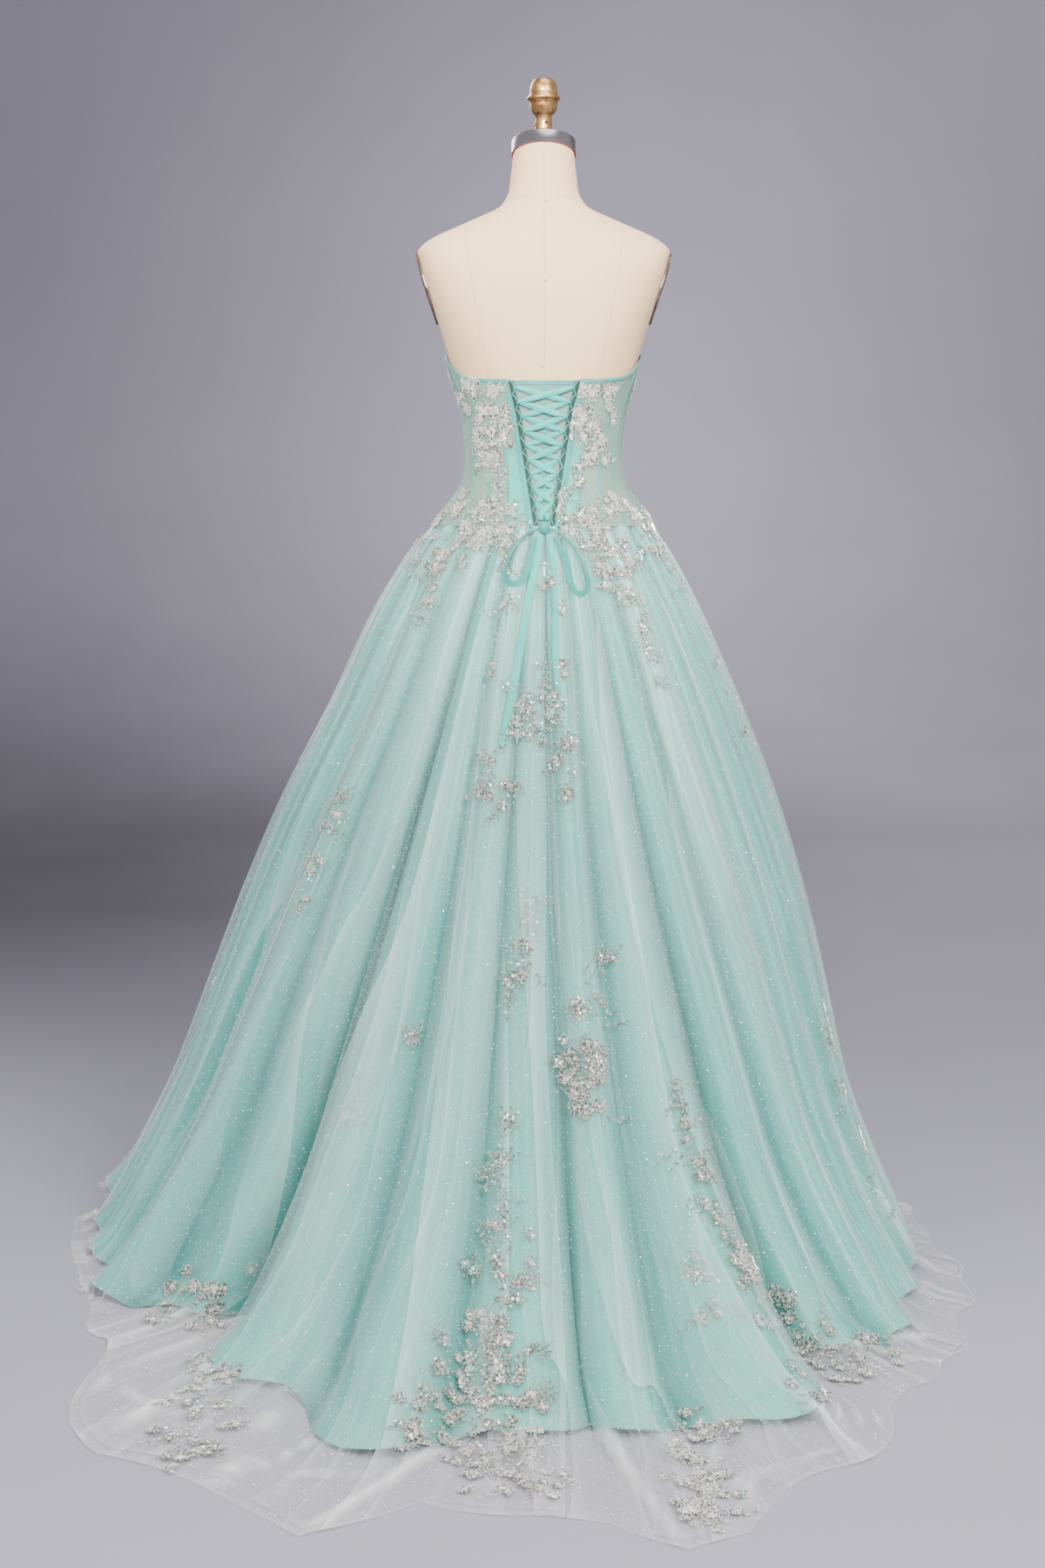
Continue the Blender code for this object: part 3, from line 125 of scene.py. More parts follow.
BINDING_LIFT = BODICE_WALL + 0.0007
MODESTY_LIFT = -0.0016
MODESTY_WALL = 0.0010
MODESTY_PAST = 0.0100
MODESTY_TOP = 0.985
MODESTY_FOOT = 0.0025
MODESTY_BAND = 0.0060
BONE_WIDTH = 0.0060
LOOP_COUNT = 10
LOOP_FIRST = 0.990
LOOP_LAST = 0.012
LOOP_REACH = 0.0068
LOOP_CORD = 0.0016
LOOP_CLEAR = 0.0006
LOOP_LIFT = 0.0010
LACING_WIDTH = 0.0112
LACING_WALL = 0.0006
LACING_LAYER = 0.0012
LACING_LIFT = 0.0022
LACING_APART = 0.0023

# height, the lining's half sizes left, right, back, front, the tulle's distance, hem share, ridge's rise
SKIRT_ROWS = [
    (1.066, 0.164, 0.164, 0.1265, 0.1165, 0.0004, 0.0, 0.0), (1.02, 0.197, 0.183, 0.153, 0.138, 0.002, 0.0, 0.0),
    (0.93, 0.248, 0.227, 0.201, 0.179, 0.004, 0.0, 0.0), (0.8, 0.308, 0.283, 0.265, 0.229, 0.0055, 0.0, 0.0),
    (0.66, 0.38, 0.337, 0.335, 0.282, 0.006, 0.0, 0.0), (0.52, 0.441, 0.382, 0.41, 0.327, 0.006, 0.03, 0.0),
    (0.38, 0.496, 0.418, 0.493, 0.365, 0.006, 0.08, 0.0), (0.24, 0.552, 0.452, 0.593, 0.399, 0.0055, 0.22, 0.0),
    (0.125, 0.612, 0.498, 0.705, 0.428, 0.0045, 0.46, 0.004), (0.038, 0.661, 0.543, 0.819, 0.453, 0.003, 0.78, 0.01),
    (0.0, 0.695, 0.57, 0.9, 0.47, 0.0004, 1.0, 0.009),
]
WALL_LINING = 0.0012
TULLE_RISE = 0.006
TULLE_FLAT = 0.4
RIDGE_POWER = 0.85
MID_SHARE = 0.55
LOW_SHARE = 0.85
# name, angle at waist and hem, depths (mm), the lining's reach, the tulle's reach, how white the tulle's ridge
# after the valley is, up and low
FOLD_ROWS = [
    ("centre_back", 0.0, -3.5, 5, 18, 22, 0.825, 0.85, 1.09, 1.066, 0.42, 0.55),
    ("back_left_1", 9.0, 8.0, 5, 13, 16, 0.88, 0.932, 1.035, 1.15, 0.58, 0.62),
    ("back_left_2", 19.5, 19.5, 5, 17, 24, 0.862, 0.785, 1.075, 1.045, 0.3, 0.5),
    ("deep_left", 31.0, 41.0, 7, 52, 74, 0.51, 0.66, 0.9, 0.8, 0.6, 0.55),
    ("left_1", 44.0, 54.0, 5, 12, 16, 0.705, 0.722, 0.768, 0.745, 0.62, 0.48),
    ("left_2", 58.0, 67.0, 6, 28, 28, 0.665, 0.692, 0.728, 0.722, 0.34, 0.34),
    ("left_3", 72.0, 80.0, 6, 14, 16, 0.672, 0.686, 0.714, 0.712, 0.52, 0.36),
    ("left_side", 88.0, 93.0, 5, 12, 20, 0.63, 0.712, 0.675, 0.735, 0.5, 0.42),
    ("left_4", 104.0, 111.0, 6, 15, 18, 0.63, 0.61, 0.66, 0.636, 0.4, 0.5),
    ("front_left_1", 118.0, 123.0, 6, 14, 18, 0.556, 0.566, 0.584, 0.592, 0.58, 0.52),
    ("front_left_2", 131.0, 134.0, 5, 17, 20, 0.524, 0.53, 0.552, 0.556, 0.36, 0.46),
    ("front_left_3", 144.0, 146.0, 6, 13, 15, 0.498, 0.508, 0.524, 0.534, 0.55, 0.55),
    ("front_left_4", 157.0, 158.0, 5, 16, 19, 0.482, 0.492, 0.508, 0.518, 0.4, 0.5),
    ("front_left_5", 170.0, 170.0, 5, 12, 14, 0.474, 0.486, 0.5, 0.512, 0.48, 0.56),
    ("front_right_5", 183.0, 182.0, 5, 15, 17, 0.472, 0.484, 0.498, 0.51, 0.56, 0.5),
    ("front_right_4", 196.0, 195.0, 6, 12, 14, 0.476, 0.486, 0.502, 0.512, 0.34, 0.46),
    ("front_right_3", 209.0, 208.0, 5, 16, 20, 0.48, 0.492, 0.506, 0.518, 0.58, 0.56),
    ("front_right_2", 222.0, 221.0, 6, 13, 15, 0.49, 0.504, 0.516, 0.53, 0.4, 0.48),
    ("front_right_1", 236.0, 235.0, 5, 17, 19, 0.504, 0.52, 0.53, 0.548, 0.52, 0.5),
    ("right_4", 250.0, 248.0, 6, 14, 16, 0.516, 0.536, 0.546, 0.566, 0.42, 0.5),
    ("right_3", 263.0, 261.0, 5, 13, 15, 0.528, 0.55, 0.56, 0.58, 0.5, 0.44),
    ("right_side", 276.0, 274.0, 5, 14, 16, 0.54, 0.56, 0.578, 0.596, 0.46, 0.44),
    ("right_2", 289.0, 287.0, 6, 15, 17, 0.562, 0.588, 0.612, 0.655, 0.4, 0.5),
    ("right_1", 302.0, 300.0, 6, 22, 24, 0.6, 0.63, 0.682, 0.71, 0.36, 0.52),
    ("back_right_4", 314.5, 312.0, 6, 26, 22, 0.65, 0.7, 0.74, 0.79, 0.6, 0.62),
    ("back_right_3", 327.5, 322.0, 5, 13, 14, 0.725, 0.69, 0.815, 0.84, 0.34, 0.55),
    ("deep_right", 340.0, 331.0, 6, 30, 60, 0.625, 0.868, 0.87, 1.01, 0.6, 0.62),
    ("back_right_2", 350.5, 349.0, 5, 15, 26, 0.848, 0.856, 1.13, 1.162, 0.34, 0.6),
]
SKIRT_PANELS = [
    ("back_left", "centre_back", "left_side"),
    ("front", "left_side", "right_side"),
    ("back_right", "right_side", "centre_back"),
]
FINE_COLUMNS = 14  # columns of faces to a fold
FINE_ROWS = 96  # rows from the waist to the lining's hem
TRAIN_ROWS = 14  # and from there to the tulle's hem
HIP_ROWS = 34  # rows of the net that the waist's lace runs over
HIP_LACE = 700  # lace above this image row is laid over the waist seam
TRAIN_LACE = 1300  # and lace below this one is the train's
UP = Vector((0, 0, 1))
FLOOR_UP = Vector((0, -1, 0.2))  # the lace's upright on the floor

# creases in the satin: angle at the waist and at the hem, from and to (shares of the skirt's length), half
# width and depth in mm, a ridge above 0 and a trough below
SATIN_CREASES = [
    (4.0, 2.0, 0.0, 0.55, 7, -2.4), (13.5, 14.5, 0.02, 0.7, 9, 2.2), (16.5, 16.0, 0.0, 0.42, 6, -2.0),
    (24.0, 27.5, 0.05, 0.96, 14, 3.2), (27.5, 33.0, 0.0, 0.88, 9, -3.6), (36.5, 46.5, 0.08, 0.62, 12, 2.8),
    (39.5, 49.0, 0.0, 0.4, 7, -2.2), (48.5, 58.5, 0.1, 1.0, 16, 3.4), (53.0, 62.0, 0.0, 0.72, 10, -3.0),
    (63.0, 71.5, 0.04, 0.84, 14, -3.4), (67.0, 75.0, 0.2, 1.0, 12, 3.0), (77.0, 84.0, 0.0, 0.6, 8, -2.4),
    (82.0, 88.0, 0.12, 0.95, 15, 3.0), (94.0, 99.0, 0.0, 0.78, 9, -2.6), (99.0, 105.0, 0.15, 1.0, 14, 3.2),
    (109.0, 116.0, 0.0, 0.66, 8, -2.2), (125.0, 129.0, 0.06, 0.92, 12, 2.6), (138.0, 141.0, 0.0, 0.58, 8, -2.4),
    (150.0, 152.0, 0.1, 1.0, 13, 2.8), (163.0, 163.0, 0.0, 0.74, 9, -2.6), (176.0, 176.0, 0.05, 0.88, 12, 2.4),
    (188.0, 187.0, 0.0, 0.62, 8, -2.2), (203.0, 202.0, 0.12, 1.0, 14, 2.8), (215.0, 214.0, 0.0, 0.7, 9, -2.6),
    (229.0, 228.0, 0.08, 0.9, 12, 2.4), (242.0, 241.0, 0.0, 0.56, 8, -2.2), (256.0, 255.0, 0.1, 1.0, 13, 2.8),
    (270.0, 268.0, 0.0, 0.76, 9, -2.6), (281.0, 279.5, 0.06, 0.94, 12, 2.8), (293.0, 291.5, 0.0, 0.82, 9, -3.0),
    (298.0, 296.0, 0.18, 1.0, 13, 3.2), (307.5, 305.0, 0.0, 0.64, 8, -2.6), (319.0, 315.5, 0.08, 0.97, 14, 3.4),
    (323.5, 319.0, 0.0, 0.8, 9, -3.2), (333.0, 326.0, 0.05, 0.9, 10, -2.8), (336.5, 328.5, 0.2, 1.0, 12, 3.0),
    (345.0, 339.0, 0.0, 0.6, 8, -2.4), (347.5, 344.0, 0.25, 1.0, 14, 3.6), (355.0, 353.5, 0.05, 0.86, 8, 2.4),
    (357.5, 356.0, 0.0, 0.5, 6, -2.2),
]
# creases low down in the satin, where it meets the floor
HEM_CREASES = [
    (11.0, 10.0, 0.8, 1.0, 16, 5.0), (15.0, 15.5, 0.84, 1.0, 10, -4.5), (23.0, 24.0, 0.8, 1.0, 18, 6.0),
    (27.0, 30.0, 0.86, 1.0, 12, -5.0), (31.0, 35.0, 0.88, 1.0, 12, 5.0), (52.0, 60.5, 0.86, 1.0, 14, 5.0),
    (58.0, 67.5, 0.84, 1.0, 12, -5.0), (70.0, 78.0, 0.86, 1.0, 13, 5.0), (86.0, 91.0, 0.82, 1.0, 15, -5.0),
    (97.0, 103.0, 0.84, 1.0, 14, 5.0), (120.0, 126.0, 0.88, 1.0, 14, -4.0), (168.0, 168.0, 0.88, 1.0, 15, 4.0),
    (212.0, 211.0, 0.86, 1.0, 14, -4.0), (264.0, 262.0, 0.88, 1.0, 14, 4.0), (301.0, 299.0, 0.84, 1.0, 14, 5.0),
    (309.0, 307.5, 0.86, 1.0, 12, -5.0), (325.0, 320.5, 0.84, 1.0, 14, 5.0), (343.0, 337.5, 0.82, 1.0, 16, 5.5),
    (352.0, 350.0, 0.8, 1.0, 12, -6.0), (356.5, 355.5, 0.82, 1.0, 14, 6.0),
]
# folds of the upper tulle: angle at the waist and at the hem, from and to, half width and height in mm, and how
# much whiter the doubled net is there
TULLE_FOLDS = [
    (-8.0, -7.0, 0.12, 1.0, 10, 7.0, 0.2), (-5.5, -4.2, 0.0, 1.0, 5, 4.0, 0.24),
    (-2.2, -1.5, 0.28, 1.0, 9, 6.0, 0.22), (2.6, 1.0, 0.05, 1.0, 6, 5.0, 0.26), (5.4, 4.8, 0.0, 0.8, 5, 4.0, 0.18),
    (7.2, 5.6, 0.3, 1.0, 12, 8.0, 0.22), (11.5, 10.8, 0.0, 1.0, 10, 7.0, 0.24),
    (14.8, 13.2, 0.1, 1.0, 12, 8.0, 0.26), (18.0, 17.5, 0.0, 0.9, 6, 5.0, 0.18),
    (21.5, 22.5, 0.06, 1.0, 12, 8.0, 0.16), (25.0, 29.0, 0.2, 1.0, 16, 9.0, 0.22),
    (28.5, 34.5, 0.45, 1.0, 14, 8.0, 0.24), (33.5, 42.0, 0.0, 0.95, 7, 5.0, 0.3),
    (36.0, 46.0, 0.02, 0.92, 16, 8.0, 0.22), (40.5, 50.0, 0.1, 1.0, 12, 7.0, 0.18),
    (45.5, 54.5, 0.0, 0.86, 12, 7.0, 0.24), (49.5, 59.0, 0.16, 1.0, 16, 9.0, 0.24),
    (55.5, 64.0, 0.0, 0.84, 7, 5.0, 0.24), (60.5, 69.5, 0.05, 1.0, 9, 6.0, 0.14),
    (66.0, 74.0, 0.12, 0.92, 12, 7.0, 0.18), (70.5, 79.0, 0.0, 1.0, 8, 6.0, 0.24),
    (76.0, 83.5, 0.08, 0.9, 12, 8.0, 0.2), (81.0, 87.5, 0.0, 1.0, 9, 6.0, 0.26),
    (86.0, 92.5, 0.1, 1.0, 14, 9.0, 0.22), (92.0, 98.0, 0.0, 0.9, 8, 6.0, 0.26),
    (98.0, 104.0, 0.06, 1.0, 14, 8.0, 0.2), (106.0, 112.0, 0.0, 0.86, 8, 6.0, 0.24),
    (114.0, 118.5, 0.1, 1.0, 13, 8.0, 0.2), (121.0, 125.0, 0.0, 0.94, 7, 5.0, 0.24),
    (128.5, 131.5, 0.12, 1.0, 12, 7.0, 0.18), (136.5, 138.5, 0.0, 0.82, 7, 5.0, 0.26),
    (143.0, 145.0, 0.08, 1.0, 14, 8.0, 0.2), (152.0, 153.5, 0.0, 0.92, 8, 6.0, 0.24),
    (160.0, 160.5, 0.14, 1.0, 12, 7.0, 0.18), (167.0, 167.0, 0.0, 0.88, 7, 5.0, 0.26),
    (174.0, 174.0, 0.06, 1.0, 14, 8.0, 0.2), (182.0, 181.0, 0.0, 0.94, 8, 6.0, 0.24),
    (190.0, 189.0, 0.1, 1.0, 12, 7.0, 0.18), (198.5, 197.5, 0.0, 0.84, 7, 5.0, 0.26),
    (206.0, 205.0, 0.08, 1.0, 14, 8.0, 0.2), (214.0, 213.0, 0.0, 0.9, 8, 6.0, 0.24),
    (223.5, 222.5, 0.12, 1.0, 12, 7.0, 0.18), (231.0, 230.0, 0.0, 0.86, 7, 5.0, 0.26),
    (239.0, 238.0, 0.06, 1.0, 14, 8.0, 0.2), (247.0, 245.5, 0.0, 0.92, 8, 6.0, 0.24),
    (256.0, 254.0, 0.1, 1.0, 12, 7.0, 0.18), (263.5, 261.5, 0.0, 0.88, 7, 5.0, 0.26),
    (270.5, 268.5, 0.06, 1.0, 14, 9.0, 0.22), (278.0, 276.0, 0.0, 0.94, 8, 6.0, 0.24),
    (284.0, 282.0, 0.12, 1.0, 14, 8.0, 0.22), (290.5, 288.5, 0.0, 0.8, 6, 5.0, 0.28),
    (296.0, 294.0, 0.06, 1.0, 14, 9.0, 0.2), (301.0, 299.0, 0.0, 0.9, 8, 6.0, 0.26),
    (306.5, 303.5, 0.14, 1.0, 14, 8.0, 0.2), (311.5, 309.0, 0.0, 1.0, 9, 6.0, 0.18),
    (316.5, 313.5, 0.04, 1.0, 12, 8.0, 0.26), (321.0, 316.5, 0.0, 0.9, 8, 6.0, 0.28),
    (325.0, 320.0, 0.18, 1.0, 14, 9.0, 0.2), (330.5, 324.5, 0.0, 0.94, 7, 5.0, 0.22),
    (334.0, 327.0, 0.1, 1.0, 12, 8.0, 0.2), (338.0, 330.0, 0.0, 1.0, 6, 5.0, 0.3),
    (343.0, 336.0, 0.03, 1.0, 14, 8.0, 0.24), (346.5, 341.0, 0.0, 0.94, 8, 6.0, 0.26),
    (349.0, 345.5, 0.24, 1.0, 12, 8.0, 0.22),
]
# straight folds and crossings of the net on the floor: angle and reach of one end, of the other end, half
# width in mm, whiteness
FLOOR_FOLDS = [
    (-9.0, 0.86, -13.5, 1.12, 5, 0.34), (-11.5, 0.88, -15.5, 1.13, 4, 0.26), (-4.0, 0.84, -7.0, 1.15, 6, 0.36),
    (-20.0, 0.84, -29.0, 0.93, 6, 0.36), (-33.0, 0.66, -40.0, 0.82, 6, 0.3), (-27.0, 0.7, -44.0, 0.74, 4, 0.28),
    (3.0, 0.82, 0.0, 1.06, 6, 0.32), (8.0, 0.9, 13.5, 1.14, 7, 0.38), (16.0, 0.88, 22.0, 1.09, 5, 0.3),
    (24.0, 0.8, 20.0, 1.1, 5, 0.28), (28.0, 0.72, 33.0, 1.02, 6, 0.34), (37.0, 0.56, 31.0, 1.03, 7, 0.36),
    (42.0, 0.6, 40.0, 0.94, 6, 0.3), (47.0, 0.64, 46.0, 0.83, 5, 0.3), (30.0, 0.92, 42.0, 0.88, 4, 0.26),
    (12.0, 1.0, 22.0, 1.02, 4, 0.24), (-10.0, 1.02, -22.0, 0.95, 4, 0.24), (60.0, 0.68, 62.0, 0.76, 5, 0.26),
    (85.0, 0.62, 88.0, 0.72, 5, 0.26), (-58.0, 0.6, -57.0, 0.7, 5, 0.26),
]
GATHER_COUNT = 190  # fine gathers of the net, all round
GATHER_SEED = 11

# pleats of the nets that show as whiter bands: layer, pleats to a fold, wander, drift across and down,
# sharpness, whiteness
PLEAT_LAYERS = [
    (0, 0.85, 3.4, (0.55, 0.9, 0.0), 4.5, 0.62), (1, 1.6, 3.0, (0.75, 1.2, 0.0), 6.0, 0.5),
    (2, 3.7, 4.2, (1.1, 1.7, 0.0), 8.0, 0.4), (3, 9.0, 5.0, (2.2, 4.0, 0.0), 6.0, 0.16),
]
VALLEY_SHARE = 0.22  # how much of the pleats' whiteness is left down in a valley
FLOOR_START = 0.84  # share of the net's length from which it lies on the floor
FLOOR_NET = (0.94, 0.90, 0.90)  # and its colour there, where no satin lies under it
NET_CLEAR = 0.0012  # from the lower net to the upper
NET_LAY = (0.0016, 0.0008)  # lowest height of the upper and the lower net over the floor
MOST_VEIL = 0.80
VEIL_OVER = (0.01, 0.34, 0.50, 0.40, 0.08)  # the upper net's whiteness: even, ridges, folds, gathers, at the waist
VEIL_UNDER = (0.02, 0.10, 0.30)  # the lower net's: even, ridges, gathers
VEIL_FLOOR = (0.015, 0.04, 1.7, 0.22)  # and on the floor: even, ridges, folds, the hem's edge
FLOOR_FOLD_WIDTH = 1.1
FLOOR_FOLD_RISE = 0.0045
UNDER_REACH = 0.93  # how far the lower net goes on the floor, as a share of the upper one
PRESS_FOOT = 0.74  # the ribbon's ends and the bow press the skirt in above this height
PRESS_REACH = 0.024  # and as far as this round them

# seams of the canvas: height and distance from the middle of the princess seam
PRINCESS_ROWS = [(1.0, 0.062), (1.19, 0.066), (1.32, 0.088), (1.4, 0.102), (1.47, 0.112), (1.512, 0.116)]
PRINCESS_FOOT = 1.0  # the height where these rows begin, and their full height and reach
PRINCESS_TALL = 0.6
PRINCESS_WIDE = 0.2
NECK_SEAM = 1.5390
SEAM_HALF = 0.0012
PINS = [(626.6, 231), (626, 322), (622, 421)]  # pins down the middle seam, by image point

SATIN_FOLD_SHADE = (0.30, 0.40, 0.42)  # painted shade: the satin's colour at the bottom of a fold, as shares of its own
# painted shade for the gaps beside the lacing's loops, on the modesty panel's sides
GAP_SHADE = (0.030, 0.085, 0.070)
BRASS_TONES = [
    (0.28, (0.16, 0.055, 0.022)), (0.42, (0.42, 0.2, 0.07)), (0.58, (0.66, 0.42, 0.16)), (0.8, (0.8, 0.62, 0.3)),
]
BEAD_TONES = [
    (0.36, (0.26, 0.26, 0.2)), (0.46, (0.6, 0.6, 0.5)), (0.56, (0.94, 0.93, 0.86)), (0.66, (1.0, 1.0, 0.98)),
]

# ---------------------------------------------------------------- ribbon routes, as in the part

TAIL_LONG = [
    (0.0064, 0.1381, 1.0553), (0.0066, 0.1391, 1.0534), (0.0068, 0.1401, 1.0516), (0.0072, 0.1422, 1.048),
    (0.0079, 0.1459, 1.0418), (0.0088, 0.1507, 1.0338), (0.01, 0.156, 1.025), (0.0117, 0.1609, 1.0159),
    (0.0137, 0.1659, 1.006), (0.016, 0.172, 0.995), (0.0185, 0.1786, 0.9826), (0.0213, 0.186, 0.9691),
    (0.024, 0.1937, 0.955), (0.0267, 0.2017, 0.9404), (0.0293, 0.2097, 0.9252), (0.032, 0.2162, 0.91),
    (0.0346, 0.2222, 0.8952), (0.0372, 0.2283, 0.8804), (0.04, 0.2364, 0.865), (0.0432, 0.2451, 0.8487),
    (0.0466, 0.2532, 0.8319), (0.05, 0.2611, 0.815), (0.0533, 0.269, 0.7983), (0.0567, 0.2776, 0.7817),
    (0.06, 0.2864, 0.765),
]
TAIL_SHORT = [
    (-0.0064, 0.1378, 1.0553), (-0.0068, 0.1391, 1.0534), (-0.0073, 0.1401, 1.0516), (-0.008, 0.1421, 1.048),
    (-0.0092, 0.1458, 1.0418), (-0.0106, 0.1506, 1.0338), (-0.012, 0.1558, 1.025), (-0.0135, 0.1607, 1.0159),
    (-0.015, 0.1657, 1.006), (-0.016, 0.1715, 0.995), (-0.0163, 0.1782, 0.9826), (-0.0162, 0.1857, 0.9691),
    (-0.016, 0.1935, 0.955), (-0.0157, 0.2017, 0.9402), (-0.0152, 0.2099, 0.9248), (-0.015, 0.2174, 0.91),
    (-0.0151, 0.2244, 0.8961), (-0.0154, 0.2311, 0.8828), (-0.016, 0.2375, 0.87), (-0.0171, 0.2435, 0.858),
    (-0.0186, 0.2492, 0.8465), (-0.02, 0.2548, 0.835),
]
BOW_LEFT = [
    (0.0078, 0.1367, 1.064), (0.0148, 0.1395, 1.0621), (0.022, 0.1424, 1.059), (0.03, 0.146, 1.0526),
    (0.038, 0.152, 1.044), (0.0457, 0.1572, 1.0329), (0.052, 0.1625, 1.021), (0.0554, 0.1658, 1.0099),
    (0.056, 0.1709, 1.0), (0.0532, 0.1749, 0.992), (0.048, 0.1778, 0.987), (0.0405, 0.1778, 0.9867),
    (0.033, 0.1764, 0.99), (0.0282, 0.1747, 0.9968), (0.0245, 0.1726, 1.006), (0.0216, 0.1677, 1.0166),
    (0.019, 0.1617, 1.028), (0.016, 0.1549, 1.039), (0.013, 0.1477, 1.05),
]
BOW_RIGHT = [
    (-0.0078, 0.1367, 1.064), (-0.0158, 0.14, 1.0612), (-0.024, 0.1432, 1.057), (-0.0331, 0.1475, 1.0492),
    (-0.042, 0.1543, 1.039), (-0.0497, 0.16, 1.0263), (-0.056, 0.1652, 1.013), (-0.0605, 0.1679, 1.0009),
    (-0.0625, 0.172, 0.99), (-0.0607, 0.1779, 0.9802), (-0.0565, 0.182, 0.9735), (-0.05, 0.1839, 0.9722),
    (-0.0435, 0.1823, 0.975), (-0.0397, 0.179, 0.9822), (-0.037, 0.1741, 0.992), (-0.0345, 0.1689, 1.0034),
    (-0.032, 0.1638, 1.015), (-0.0289, 0.1597, 1.0249), (-0.025, 0.157, 1.034), (-0.0198, 0.1521, 1.0426),
    (-0.014, 0.1469, 1.051),
]
RIBBON_WIDTH = 0.0110
LOOP_RIBBON = 0.0090
LOOP_LEAN = math.radians(35)
LOOP_TWIST = math.radians(22)
RIBBON_WALL = 0.0009
RIBBON_FACES = Vector((0, 1, 0.45))
KNOT_CENTRE = Vector((0.0, 0.1341, 1.0645))
KNOT_SIZE = Vector((0.0080, 0.0060, 0.0095))
ZIP_FOOT = 1.0150  # the teeth run from the waist seam down to the slider
ZIP_HEAD = 1.0560
ZIP_STEP = 0.00145
ZIP_TOOTH = Vector((0.0011, 0.0006, 0.0006))

# ---------------------------------------------------------------- camera

CAMERA_PLACE = Vector((0.0312, 3.5, 1.13))
CAMERA_DOWN = math.radians(7.4)
CAMERA_LENS = 53.4
CAMERA_SENSOR = 36.0
IMAGE_SIZE = (1200, 1800)

# the studio paper's gradient of painted light and shade, given row by row: y, z, its tone at the left and at the right
PAPER_ROWS = [
    (9.0, 0.0, 0.52, 0.51), (2.6, 0.0, 0.51, 0.52), (1.2, 0.0, 0.51, 0.52), (0.2, 0.0, 0.46, 0.47),
    (-0.6, 0.0, 0.36, 0.42), (-1.3, 0.0, 0.22, 0.36), (-1.9, 0.0, 0.14, 0.32), (-2.6, 0.0, 0.09, 0.28),
    (-3.9, 0.0, 0.09, 0.23), (-5.5, 0.1, 0.14, 0.23), (-6.55, 0.42, 0.22, 0.24), (-7.3, 0.88, 0.26, 0.25),
    (-7.6, 1.43, 0.27, 0.25), (-7.65, 2.2, 0.27, 0.25), (-7.65, 3.4, 0.26, 0.25), (-7.65, 9.2, 0.24, 0.23),
]
PAPER_HALF = 9.0
PAPER_BEND = -5.2  # the paper rises behind this place
PAPER_FADE = (1.6, 2.2)  # half width in which the left tone goes over to the right one: on the floor, on the wall
POOL = (0.22, -0.14, 1.58, 1.36, 1.86)  # soft pool of light painted on the paper: added tone, place and reach across and up

# place, aim, size, watts and spread in degrees
LIGHTS = [
    ("light_key", (-1.9, 3.6, 3.2), (0, 0.2, 1.0), 1.7, 188.0, 180),
    ("light_fill", (3.2, 3.2, 2.4), (0, 0.2, 0.9), 2.6, 62.0, 180),
    ("light_top", (-0.4, 0.6, 4.2), (0, 0.3, 0.2), 2.4, 72.0, 180),
    ("light_upper", (0.4, 3.3, 2.5), (0, 0.1, 1.50), 0.6, 5.0, 24),
    ("light_back", (-2.2, -3.4, 4.0), (-1.9, -7.4, 1.3), 3.0, 160.0, 180),
    ("light_front", (1.7, -4.2, 3.0), (0, -0.2, 0.9), 2.4, 70.0, 120),
]
LIGHT_COLOUR = (1.0, 0.985, 0.97)
SKY_COLOUR = (0.84, 0.84, 0.90, 1.0)
SKY_POWER = 0.85

# ---------------------------------------------------------------- lace

LACE_FULLNESS = {"bodice": 2.1, "upper": 1.6, "train": 1.4, "front": 0.6}  # motifs laid for each one listed
BEAD_STEP = 0.0048  # from bead to bead along a petal's edge
SEQUIN_CUP = 0.22  # depth of a sequin's cup, as a share of its radius
STITCH_SHARE = 0.68  # of a stitch's pitch, the rest being the gap
THREAD_RADIUS = 0.00022
PETAL_ROWS = 4

# places of the lace by image point: x, y, half width and half height of the cluster in image points, flowers,
# leaves, share of aqua sequins, on the upper net (1) or under it (0)
BODICE_LACE = [
    (541, 444, 11, 10, 4, 2, 0.0), (570, 448, 9, 7, 3, 1, 0.0), (554, 474, 12, 10, 4, 2, 0.1),
    (576, 476, 8, 10, 3, 1, 0.0), (566, 500, 18, 12, 6, 2, 0.0), (549, 506, 7, 10, 2, 1, 0.1),
    (567, 524, 8, 8, 3, 2, 0.0), (517, 446, 3, 20, 2, 4, 0.2), (528, 500, 3, 26, 1, 4, 0.2),
    (574, 556, 5, 16, 0, 5, 0.5), (588, 596, 7, 14, 1, 4, 0.7), (530, 577, 9, 20, 4, 4, 0.1),
    (560, 586, 16, 14, 5, 3, 0.1), (676, 449, 12, 8, 4, 1, 0.0), (699, 450, 8, 10, 3, 2, 0.1),
    (670, 478, 15, 9, 5, 2, 0.0), (664, 500, 12, 14, 4, 1, 0.0), (689, 496, 8, 16, 3, 2, 0.1),
    (672, 522, 12, 9, 4, 2, 0.0), (727, 450, 3, 22, 2, 4, 0.2), (716, 508, 4, 24, 1, 4, 0.2),
    (662, 552, 6, 14, 1, 4, 0.3), (643, 582, 7, 18, 2, 4, 0.3), (674, 590, 14, 14, 4, 3, 0.2),
    (700, 576, 12, 18, 5, 3, 0.1), (726, 588, 9, 16, 3, 4, 0.1), (508, 592, 9, 12, 3, 3, 0.1),
    (545, 604, 12, 8, 3, 2, 0.1), (574, 610, 8, 8, 2, 2, 0.4), (656, 606, 9, 9, 2, 2, 0.3),
    (690, 606, 12, 8, 3, 2, 0.1), (746, 600, 9, 12, 3, 3, 0.1), (534, 458, 6, 16, 2, 1, 0.0),
    (583, 496, 6, 16, 2, 1, 0.0), (556, 528, 8, 8, 2, 1, 0.1), (655, 470, 6, 18, 2, 1, 0.0),
    (700, 478, 8, 16, 2, 1, 0.0), (690, 524, 8, 8, 2, 1, 0.1),
]
